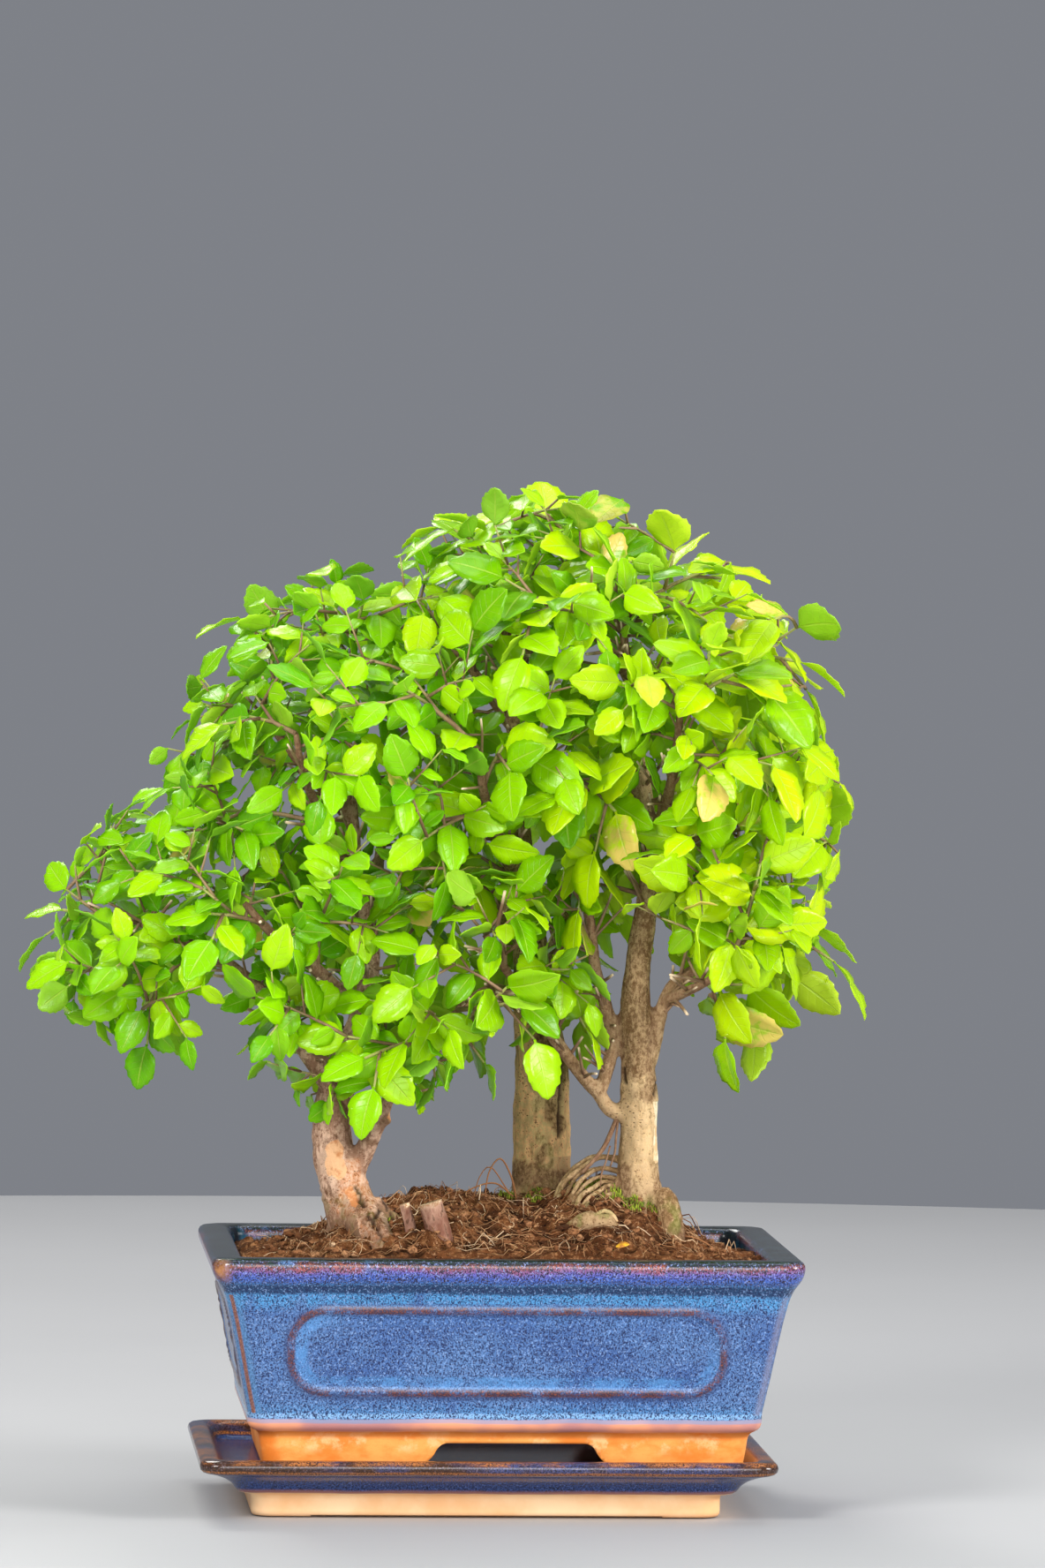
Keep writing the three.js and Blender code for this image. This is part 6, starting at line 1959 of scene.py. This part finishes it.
# The rim: royal blue below, violet and red brown patches above
def rim_colour(nodes, height, blots):
    tone = nodes.noise(nodes.place((1, 1, 2.2)), 30, 5, 0.65)
    lifted = nodes.plus(height, nodes.times(nodes.minus(tone, 0.5), 8.0))
    colour = nodes.ramp(nodes.step(lifted, 104.0, 117.0), [
        (0.0, rgb(0.040, 0.12, 0.36)), (0.22, rgb(0.055, 0.12, 0.47)), (0.45, rgb(0.115, 0.115, 0.44)),
        (0.62, rgb(0.20, 0.085, 0.23)), (0.80, rgb(0.21, 0.058, 0.045)), (0.93, rgb(0.020, 0.040, 0.034)),
    ])
    patch = nodes.times(nodes.step(blots, 0.54, 0.66), nodes.step(height, 108, 112))
    colour = nodes.tint(patch, 0.7, colour, rgb(0.075, 0.20, 0.44))
    zone = nodes.noise(nodes.place((1, 0.4, 0.4)), 26, 3)
    warm = nodes.times(nodes.step(zone, 0.52, 0.62), near_level(nodes, height, 112.5, 3.4))
    colour = nodes.tint(warm, 0.75, colour, rgb(0.34, 0.085, 0.050))
    return speckled(nodes, colour, rgb(0.020, 0.015, 0.032), rgb(0.26, 0.33, 0.66), 1.2)


# Bare orange clay of the pot's foot
def clay_colour(nodes, height, fine, blots):
    tone = nodes.noise(nodes.place((1, 1, 2.0)), 48, 5, 0.6)
    colour = nodes.fade(tone, 0.36, 0.62, rgb(0.82, 0.215, 0.022), rgb(0.94, 0.36, 0.080))
    colour = nodes.tint(nodes.step(height, 25, 19.5), 0.6, colour, rgb(0.34, 0.10, 0.030))
    pale = nodes.times(nodes.step(blots, 0.52, 0.66), nodes.step(height, 28, 33))
    colour = nodes.tint(pale, 0.7, colour, rgb(0.94, 0.56, 0.26))
    colour = nodes.tint(nodes.step(height, 35.5, 37.5), 0.55, colour, rgb(0.52, 0.14, 0.02))
    return nodes.tint(nodes.step(fine, 0.58, 0.68), 0.3, colour, rgb(0.55, 0.17, 0.03))


# Dark blue glaze, a dark lip with worn brown edges, and a pale bare foot
def tray_material():
    nodes = Nodes("tray_glaze")
    height = nodes.times(nodes.axes()[2], 1000)
    where = nodes.place()
    level = uneven(nodes, height, where, 40, 1.4)
    fine = nodes.noise(where, 1500, 2, 0.75)
    clouds = nodes.noise(where, 26, 4)
    blue = speckled(nodes, rgb(0.020, 0.050, 0.19), rgb(0.004, 0.007, 0.026), rgb(0.09, 0.16, 0.42))
    dark = nodes.fade(clouds, 0.42, 0.58, rgb(0.055, 0.022, 0.010), rgb(0.050, 0.060, 0.16))
    dark = speckled(nodes, dark, rgb(0.012, 0.009, 0.010), rgb(0.20, 0.14, 0.16), 0.9)
    colour = nodes.fade(level, *TRAY_LIP_START, blue, dark)
    streaks = nodes.step(nodes.noise(nodes.place((1, 1, 3)), 60, 4), 0.40, 0.58)
    worn = nodes.fade(fine, 0.40, 0.60, rgb(0.060, 0.022, 0.010), rgb(0.48, 0.17, 0.045))
    edge = nodes.times(nodes.step(level, 24.6, 26.2), streaks)
    colour = nodes.tint(edge, 0.9, colour, worn)
    colour = nodes.tint(near_level(nodes, level, 21.9, 0.9), 0.8, colour, worn)
    base_edge = nodes.times(nodes.step(level, 13.6, 12.0), nodes.step(level, 10.6, 11.4))
    colour = nodes.tint(base_edge, 0.85, colour, rgb(0.30, 0.12, 0.10))
    clay = nodes.step(level, *TRAY_CLAY_END)
    tone = nodes.noise(where, 40, 4)
    clay_tone = nodes.fade(tone, 0.35, 0.7, rgb(0.92, 0.52, 0.24), rgb(0.99, 0.69, 0.40))
    clay_tone = nodes.tint(nodes.step(height, 3.2, 1.0), 0.4, clay_tone, rgb(0.50, 0.24, 0.12))
    colour = nodes.mix(clay, colour, clay_tone)
    rough = nodes.plus(0.16, nodes.times(clay, 0.53))
    normal = nodes.bump(nodes.plus(nodes.times(fine, 0.12), clouds), 0.0005, 0.6)
    return nodes.finish(Base_Color=colour, Roughness=rough, Normal=normal, Specular_IOR_Level=GLAZE_SHINE)


# Black plastic for the drain screens, whose shapes are the CAD model's own
def make_screens():
    nodes = Nodes("screen_plastic")
    grain = nodes.noise(nodes.place(), 1400, 2)
    colour = nodes.mix(grain, rgb(0.012, 0.012, 0.013), rgb(0.035, 0.035, 0.036))
    material = nodes.finish(Base_Color=colour, Roughness=0.6, Normal=nodes.bump(grain, 0.0002))
    for name in ("drain_screen_left", "drain_screen_right"):
        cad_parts[name].data.materials.clear()
        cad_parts[name].data.materials.append(material)


# How finely the soil's surface is drawn, and how high its features are, from broad to fine
SOIL_SPACING = 1.35
LUMP_SIZE = 2.6
CLOD_HEIGHT = 6.8
CRUMB_HEIGHT = 4.6
GRAIN_HEIGHT = 1.3
SOIL_GAP = 0.2
# The soil's sides inside the pot: how wide they are against the surface, at heights
SOIL_LEVELS = [(1.0, 100.0), (0.93, 72.0), (0.87, POT_FLOOR_TOP + 0.5)]


# The rough surface of the soil on a grid
class Ground:
    def __init__(self):
        self.half_x = POT_HALF_X - POT_RIM_WIDTH - SOIL_GAP
        self.half_y = POT_HALF_Y - POT_RIM_WIDTH - SOIL_GAP
        self.columns = int(2 * self.half_x / SOIL_SPACING) + 1
        self.rows = int(2 * self.half_y / SOIL_SPACING) + 1
        x, y = np.meshgrid(np.linspace(POT_X - self.half_x, POT_X + self.half_x, self.columns),
                           np.linspace(-self.half_y, self.half_y, self.rows))
        flat = np.column_stack([x.ravel(), y.ravel(), np.zeros(x.size)])
        lumps = layered_noise(flat, 17, 31, 2) - 0.5
        clods = layered_noise(flat, 8.5, 33, 2)
        crumbs = layered_noise(flat, 4.2, 35, 2)
        grains = noise(flat, 1.9, 39) - 0.5
        rough = (LUMP_SIZE * lumps + CLOD_HEIGHT * (clods - 0.5)
                 + CRUMB_HEIGHT * (crumbs - 0.5) * (0.4 + crumbs) + GRAIN_HEIGHT * grains)
        flat[:, 2] = soil_height(flat[:, 0], flat[:, 1]) + rough
        self.points = flat
        # How low each point lies in the rough surface, for the painted shade of the soil's hollows
        self.low = np.clip(0.5 - 0.27 * rough, 0, 1)
        self.grid = flat[:, 2].reshape(self.rows, self.columns)

    # Height of the surface at a place
    def at(self, x, y):
        column = (x - POT_X + self.half_x) / (2 * self.half_x) * (self.columns - 1)
        row = (y + self.half_y) / (2 * self.half_y) * (self.rows - 1)
        column = min(max(column, 0), self.columns - 1.001)
        row = min(max(row, 0), self.rows - 1.001)
        left, front = int(column), int(row)
        across, back = column - left, row - front
        near = between(self.grid[front, left], self.grid[front, left + 1], across)
        far = between(self.grid[front + 1, left], self.grid[front + 1, left + 1], across)
        return float(between(near, far, back))


# The soil as a closed rough mound
def make_soil(ground):
    flat = ground.points
    rows, columns = ground.rows, ground.columns
    number = np.arange(rows * columns).reshape(rows, columns)
    quads = np.stack([number[:-1, :-1], number[:-1, 1:], number[1:, 1:], number[1:, :-1]], -1).reshape(-1, 4)
    edge = np.concatenate([number[0, :], number[1:, -1], number[-1, -2::-1], number[-2:0:-1, 0]])
    side = np.arange(len(edge))
    after = (side + 1) % len(edge)
    points = [flat]
    faces = [quads[:, [0, 1, 2]], quads[:, [0, 2, 3]]]
    upper = edge
    count = len(flat)
    for scale, level in SOIL_LEVELS:
        ring = flat[edge].copy()
        ring[:, 0] = POT_X + (ring[:, 0] - POT_X) * scale
        ring[:, 1] *= scale
        ring[:, 2] = level
        points.append(ring)
        lower = count + side
        faces.append(np.stack([upper, lower, lower[after]], 1))
        faces.append(np.stack([upper, lower[after], upper[after]], 1))
        upper = lower
        count += len(edge)
    points.append(np.array([[POT_X, 0, level]]))
    faces.append(np.stack([upper[after], upper, np.full(len(edge), count)], 1))
    piece = mesh_object("peat_soil", np.concatenate(points), np.concatenate(faces))
    low = np.zeros(len(piece.data.vertices))
    low[:len(flat)] = ground.low
    add_values(piece, "low", low)
    return settle(piece, soil_material(), ["soil"])


# Brown peat with pale fibres, with painted shade in its hollows
def soil_material():
    nodes = Nodes("peat")
    where = nodes.place()
    clouds = nodes.noise(where, 45, 5, 0.65)
    fine = nodes.noise(where, 330, 5, 0.7)
    fibre = nodes.noise(nodes.place((1, 0.22, 1)), 700, 3, 0.6, 1.5)
    colour = nodes.fade(clouds, 0.35, 0.65, rgb(0.060, 0.018, 0.004), rgb(0.18, 0.062, 0.020))
    colour = nodes.fade(fine, 0.50, 0.66, colour, rgb(0.37, 0.17, 0.070))
    colour = nodes.tint(nodes.step(fibre, 0.60, 0.70), 0.6, colour, rgb(0.56, 0.32, 0.17))
    colour = nodes.fade(fine, 0.43, 0.33, colour, rgb(0.014, 0.004, 0.001))
    # Painted shade: the lower a point of the surface lies, the darker it is made
    deep = nodes.plus(nodes.value("low"), nodes.times(nodes.minus(fine, 0.5), 0.8))
    colour = nodes.tint(nodes.step(deep, 0.55, 0.95), 0.85, colour, rgb(0.030, 0.009, 0.002))
    relief = nodes.plus(fine, nodes.times(fibre, 0.5))
    return nodes.matte(colour, 0.95, relief, 0.0022)


# Random places on the soil, with the height of its surface there
def scatter_places(count, draw, ground, spread_x=104, spread_y=72):
    places = []
    for _ in range(count):
        x = POT_X + spread_x * (2 * draw() - 1)
        y = spread_y * (2 * draw() - 1)
        places.append((x, y, ground.at(x, y)))
    return places


# Larger lumps of bark and a pebble on the soil, as x, y, size and tone
CHUNKS = [
    (-76, -64, 3.6, 0.93), (-84, -60, 2.6, 0.85), (-68, -70, 2.2, 0.75), (-92, -66, 2.4, 0.7),
    (-60, -66, 1.8, 0.97), (98, -62, 2.4, 1.0), (20, -68, 1.8, 0.8), (52, -60, 2.0, 0.72),
    (-10, -70, 1.6, 0.9), (38, -48, 2.2, 0.66),
]
CRUMB_COUNT = 1500
CRUMB_SEED = 611
CHUNK_STRETCH = (1.3, 1, 0.8)


# Twelve corners spread evenly on a ball
def ball_corners():
    golden = (1 + math.sqrt(5)) / 2
    pairs = [(a, b) for a in (-1, 1) for b in (-1, 1)]
    corners = ([(0, a, b * golden) for a, b in pairs] + [(a, b * golden, 0) for a, b in pairs]
               + [(b * golden, 0, a) for a, b in pairs])
    corners = np.array(corners, dtype=float)
    return corners / np.linalg.norm(corners[0])


# A random offset for each corner
def wild_corners(corners, draw):
    return np.array([[draw() for _ in range(3)] for _ in corners]) - 0.5


# Small crumbs of peat and bark
def make_crumbs(ground):
    draw = Stream(CRUMB_SEED)
    pile = Pile()
    corners = ball_corners()
    faces = hull_faces(corners)
    for x, y, z in scatter_places(CRUMB_COUNT, draw, ground):
        size = 0.5 + 1.5 * draw() ** 3
        stretch = np.array([size * (0.7 + draw()), size * (0.7 + 0.8 * draw()), size * (0.6 + 0.5 * draw())])
        body = (corners + 0.45 * wild_corners(corners, draw)) * stretch
        turn = 2 * math.pi * draw()
        cos, sin = math.cos(turn), math.sin(turn)
        spin = np.array([[cos, -sin, 0], [sin, cos, 0], [0, 0, 1]])
        pile.add(body @ spin.T + [x, y, z + 0.6 * size + 1.2 * (draw() - 0.3)], faces, tone=draw())
    for x, y, size, tone in CHUNKS:
        body = (corners + 0.5 * wild_corners(corners, draw)) * (size * np.array(CHUNK_STRETCH))
        pile.add(body + [x, y, ground.at(x, y) + 0.5 * size], faces, tone=tone)
    piece = pile.piece("peat_crumbs", smooth=False)
    return settle(piece, crumb_material())


# The triangles of a convex body with its corners on a ball round the origin
def hull_faces(corners):
    faces = []
    count = len(corners)
    for a in range(count):
        for b in range(a + 1, count):
            for c in range(b + 1, count):
                normal = np.cross(corners[b] - corners[a], corners[c] - corners[a])
                off = (corners - corners[a]) @ normal
                if (off <= 1e-9).all():
                    faces.append((a, b, c))
                elif (off >= -1e-9).all():
                    faces.append((a, c, b))
    return np.array(faces)


# Crumbs from dark peat to pale bark, each of its own tone
def crumb_material():
    nodes = Nodes("crumbs")
    tone = nodes.value("tone")
    fine = nodes.noise(nodes.place(), 800, 3)
    colour = nodes.ramp(tone, [
        (0.0, rgb(0.040, 0.015, 0.006)), (0.4, rgb(0.17, 0.066, 0.026)), (0.7, rgb(0.30, 0.13, 0.055)),
        (0.96, rgb(0.38, 0.19, 0.09)), (1.0, rgb(0.60, 0.40, 0.24)),
    ])
    colour = nodes.fade(fine, 0.4, 0.7, colour, rgb(0.08, 0.030, 0.012))
    return nodes.matte(colour, 0.95, fine, 0.0006)


# A dull material of one tone for each small piece, soiled here and there
def toned_material(name, roughness, stops, soiled, soil_colour):
    nodes = Nodes(name)
    colour = nodes.ramp(nodes.value("tone"), stops)
    fine = nodes.noise(nodes.place(), 900, 2)
    return nodes.matte(nodes.tint(fine, soiled, colour, soil_colour), roughness, fine, 0.0003)


FIBRE_COUNT = 1500
FIBRE_SEED = 911
FIBRE_STEPS = 5
# One fibre in so many stands off the soil
STANDING_FIBRE = 11
MOSS_SEED = 77
# Blades of moss for each millimetre of a tuft's radius
MOSS_DENSITY = 21


# Loose roots that stand off the soil, as x, y, z and radius
LOOSE_ROOTS = [
    [[16, -4, 134, 0.5], [13, -6, 146, 0.45], [8, -7, 154, 0.4], [3, -8, 148, 0.35], [1, -9, 136, 0.3]],
    [[14, -6, 137, 0.4], [6, -8, 143, 0.4], [-4, -9, 141, 0.35], [-15, -12, 134, 0.3]],
    [[12, -5, 139, 0.35], [4, -6, 150, 0.3], [-1, -7, 146, 0.25], [-4, -8, 136, 0.25]],
    [[84, -30, 122, 0.6], [94, -32, 121, 0.5], [104, -34, 115, 0.4], [110, -35, 109, 0.35]],
    [[-38, -35, 124, 0.6], [-28, -40, 131, 0.5], [-14, -42, 130, 0.45], [-6, -40, 123, 0.4]],
]


# Rootlets, straws and twigs that lie in the soil, some of them standing off it in loops
def make_fibres(ground):
    draw = Stream(FIBRE_SEED)
    pile = Pile()
    for number, (x, y, _) in enumerate(scatter_places(FIBRE_COUNT, draw, ground, 100, 70)):
        stands = number % STANDING_FIBRE == 0 and y < 20
        length = 5 + 22 * draw() ** 2
        turn = 2 * math.pi * draw()
        bend = 5.6 * (draw() - 0.5)
        radius = 0.13 + 0.26 * draw() ** 3
        rows = []
        for step in range(FIBRE_STEPS + 1):
            share = step / FIBRE_STEPS
            heading = turn + bend * share
            x += length / FIBRE_STEPS * math.cos(heading)
            y += length / FIBRE_STEPS * math.sin(heading)
            inside = abs(x - POT_X) < 108 and abs(y) < 76
            if not inside:
                break
            lift = (2.5 + 4 * draw()) * math.sin(math.pi * share) if stands else 2.0 * draw() ** 2
            rows.append([x, y, ground.at(x, y) + 0.4 + lift, radius * (1 - 0.5 * share)])
        if len(rows) > 2:
            pile.add(*tube(smooth_course(rows, 3.4), 3), tone=draw())
    for rows in LOOSE_ROOTS:
        pile.add(*tube(smooth_course(rows, 2.2), 5), tone=0.35)
    stops = [
        (0.0, rgb(0.12, 0.042, 0.016)), (0.45, rgb(0.34, 0.15, 0.062)), (0.8, rgb(0.58, 0.34, 0.17)),
        (1.0, rgb(0.84, 0.62, 0.40)),
    ]
    material = toned_material("fibres", 0.8, stops, 0.4, rgb(0.12, 0.05, 0.02))
    return settle(pile.piece("soil_fibres"), material)


FALLEN_LEAF = (55, -72)
FALLEN_LEAF_LENGTH = 6


# A dry yellow leaf that fell on the soil at the front
def make_fallen_leaf(ground):
    nodes = Nodes("fallen_leaf")
    tone = nodes.noise(nodes.place(), 500, 3)
    colour = nodes.fade(tone, 0.4, 0.6, rgb(0.78, 0.42, 0.02), rgb(0.45, 0.16, 0.02))
    material = nodes.finish(Base_Color=colour, Roughness=0.6, Normal=nodes.bump(tone, 0.0003))
    x, y = FALLEN_LEAF
    base = vector(x, y, ground.at(x, y) + 2.0)
    leaf = Leaf(base, unit(vector(0.8, -0.4, 0.3)), vector(0, -0.8, 1), FALLEN_LEAF_LENGTH, 0, None)
    leaf_mesh("fallen_leaf", [leaf], INNER_ROWS, INNER_COLUMNS, material, Stream(5))


# Tufts of moss, as short blades in tight groups: x, y, radius of each tuft
MOSS_TUFTS = [(37, -2, 7), (24, -4, 5), (58, -22, 7), (66, -30, 5), (74, -26, 4), (45, -14, 5), (-46, -34, 4),
              (12, 2, 4), (52, -8, 5), (82, -20, 3)]


# Blades of moss, longest in the middle of their tuft
def make_moss(ground):
    draw = Stream(MOSS_SEED)
    pile = Pile()
    for tuft_x, tuft_y, radius in MOSS_TUFTS:
        for _ in range(int(MOSS_DENSITY * radius)):
            out = radius * math.sqrt(draw())
            turn = 2 * math.pi * draw()
            x = tuft_x + out * math.cos(turn)
            y = tuft_y + out * math.sin(turn)
            foot = ground.at(x, y)
            tall = (1.6 + 2.0 * draw()) * (1.15 - 0.5 * out / radius)
            lean = vector(draw() - 0.5, draw() - 0.5, 0) * 1.6
            rows = [[x, y, foot - 1.5, 0.34], [x + 0.4 * lean[0], y + 0.4 * lean[1], foot + 0.6 * tall, 0.38],
                    [x + lean[0], y + lean[1], foot + tall, 0.08]]
            pile.add(*tube(np.array(rows), 3), tone=draw())
    stops = [(0.0, rgb(0.07, 0.10, 0.012)), (0.5, rgb(0.20, 0.26, 0.025)), (1.0, rgb(0.46, 0.52, 0.05))]
    material = toned_material("moss", 0.9, stops, 0.3, rgb(0.10, 0.09, 0.02))
    return settle(pile.piece("moss"), material)


# How far along each stem its last leaf or leafy twig sits
def leafy_shares(sprays, leaves):
    shares = {}
    for leaf in leaves:
        key = id(leaf.stem)
        shares[key] = max(shares.get(key, 0), leaf.share)
    for spray in sprays:
        main = id(spray["stem"])
        for twig in spray["twigs"]:
            if id(twig) in shares:
                shares[main] = max(shares.get(main, 0), twig.share)
    return shares


# The stems of a tree's sprays, each as far as its leaves go, and its dry cut twigs
def make_twigs(name, sprays, leaves, dry_twigs, material):
    pile = Pile()
    shares = leafy_shares(sprays, leaves)
    for spray in sprays:
        for stem in [spray["stem"]] + spray["twigs"]:
            last = shares.get(id(stem), 0)
            if last == 0:
                continue
            steps = np.linspace(0, last, max(3, int(last * stem.length / TWIG_STEP) + 1))
            places = np.array([stem.point(share) for share in steps])
            radius = stem.radius * (1.15 - 0.55 * steps)
            points, faces = tube(np.column_stack([places, radius]), TWIG_SIDES)
            rings = np.concatenate([np.repeat(steps, TWIG_SIDES), steps[:1], steps[-1:]])
            pile.add(points, faces, green=np.clip(rings * 1.5 - 0.75, 0, 0.8), cut=0.0)
    for course in dry_twigs:
        points, faces = tube(course, TWIG_SIDES)
        cut = np.zeros(len(points))
        cut[-1] = 1
        cut[-2 - TWIG_SIDES:-2] = 1
        pile.add(points, faces, green=0.0, cut=cut)
    return settle(pile.piece(name), material)


# For each tree the deep, bright and young colours of its leaves, and the share that isn't yellowed
LEAF_LOOKS = {
    "left": (rgb(0.150, 0.49, 0.001), rgb(0.37, 0.78, 0.001), rgb(0.57, 0.88, 0.002), 0.982),
    "middle": (rgb(0.180, 0.49, 0.001), rgb(0.45, 0.80, 0.001), rgb(0.64, 0.89, 0.002), 0.974),
    "right": (rgb(0.290, 0.60, 0.001), rgb(0.60, 0.86, 0.001), rgb(0.78, 0.93, 0.003), 0.960),
}
INNER_REACH = 0.7
LEAF_MESH_SEED = 500


# The leaves and twigs of each tree; its outer leaves are split in two pieces for their size
def make_foliage():
    sprays, extra, world = make_crown()
    bark = twig_material()
    for number, tree in enumerate(TREES):
        name = tree["name"]
        material = leaf_material("leaf_" + name, *LEAF_LOOKS[name])
        own = [spray for spray in sprays if spray["anchor"]["tree"] == number]
        more = [spray for spray in extra if spray["anchor"]["tree"] == number]
        owners = {spray["index"] for spray in own + more}
        leaves = [leaf for leaf in world.leaves if leaf.owner in owners]
        outer = [leaf for leaf in leaves if leaf.reach > INNER_REACH]
        inner = [leaf for leaf in leaves if leaf.reach <= INNER_REACH]
        cad = [f"spray_{name}_{spray['index'] + 1:02d}" for spray in own]
        draw = Stream(LEAF_MESH_SEED + number)
        half = (len(outer) + 1) // 2
        leaf_mesh(f"leaves_{name}_a", outer[:half], OUTER_ROWS, OUTER_COLUMNS, material, draw, cad)
        leaf_mesh(f"leaves_{name}_b", outer[half:], OUTER_ROWS, OUTER_COLUMNS, material, draw)
        leaf_mesh(f"leaves_{name}_inner", inner, INNER_ROWS, INNER_COLUMNS, material, draw)
        dry_twigs = [course for owner, course in world.dry_twigs if owner == number]
        make_twigs(f"twigs_{name}", own + more, leaves, dry_twigs, bark)


make_camera()
make_studio()
make_pot()
make_tray()
make_screens()
ground = Ground()
make_soil(ground)
make_crumbs(ground)
make_fibres(ground)
make_fallen_leaf(ground)
make_moss(ground)
make_trees()
make_stumps()
make_foliage()
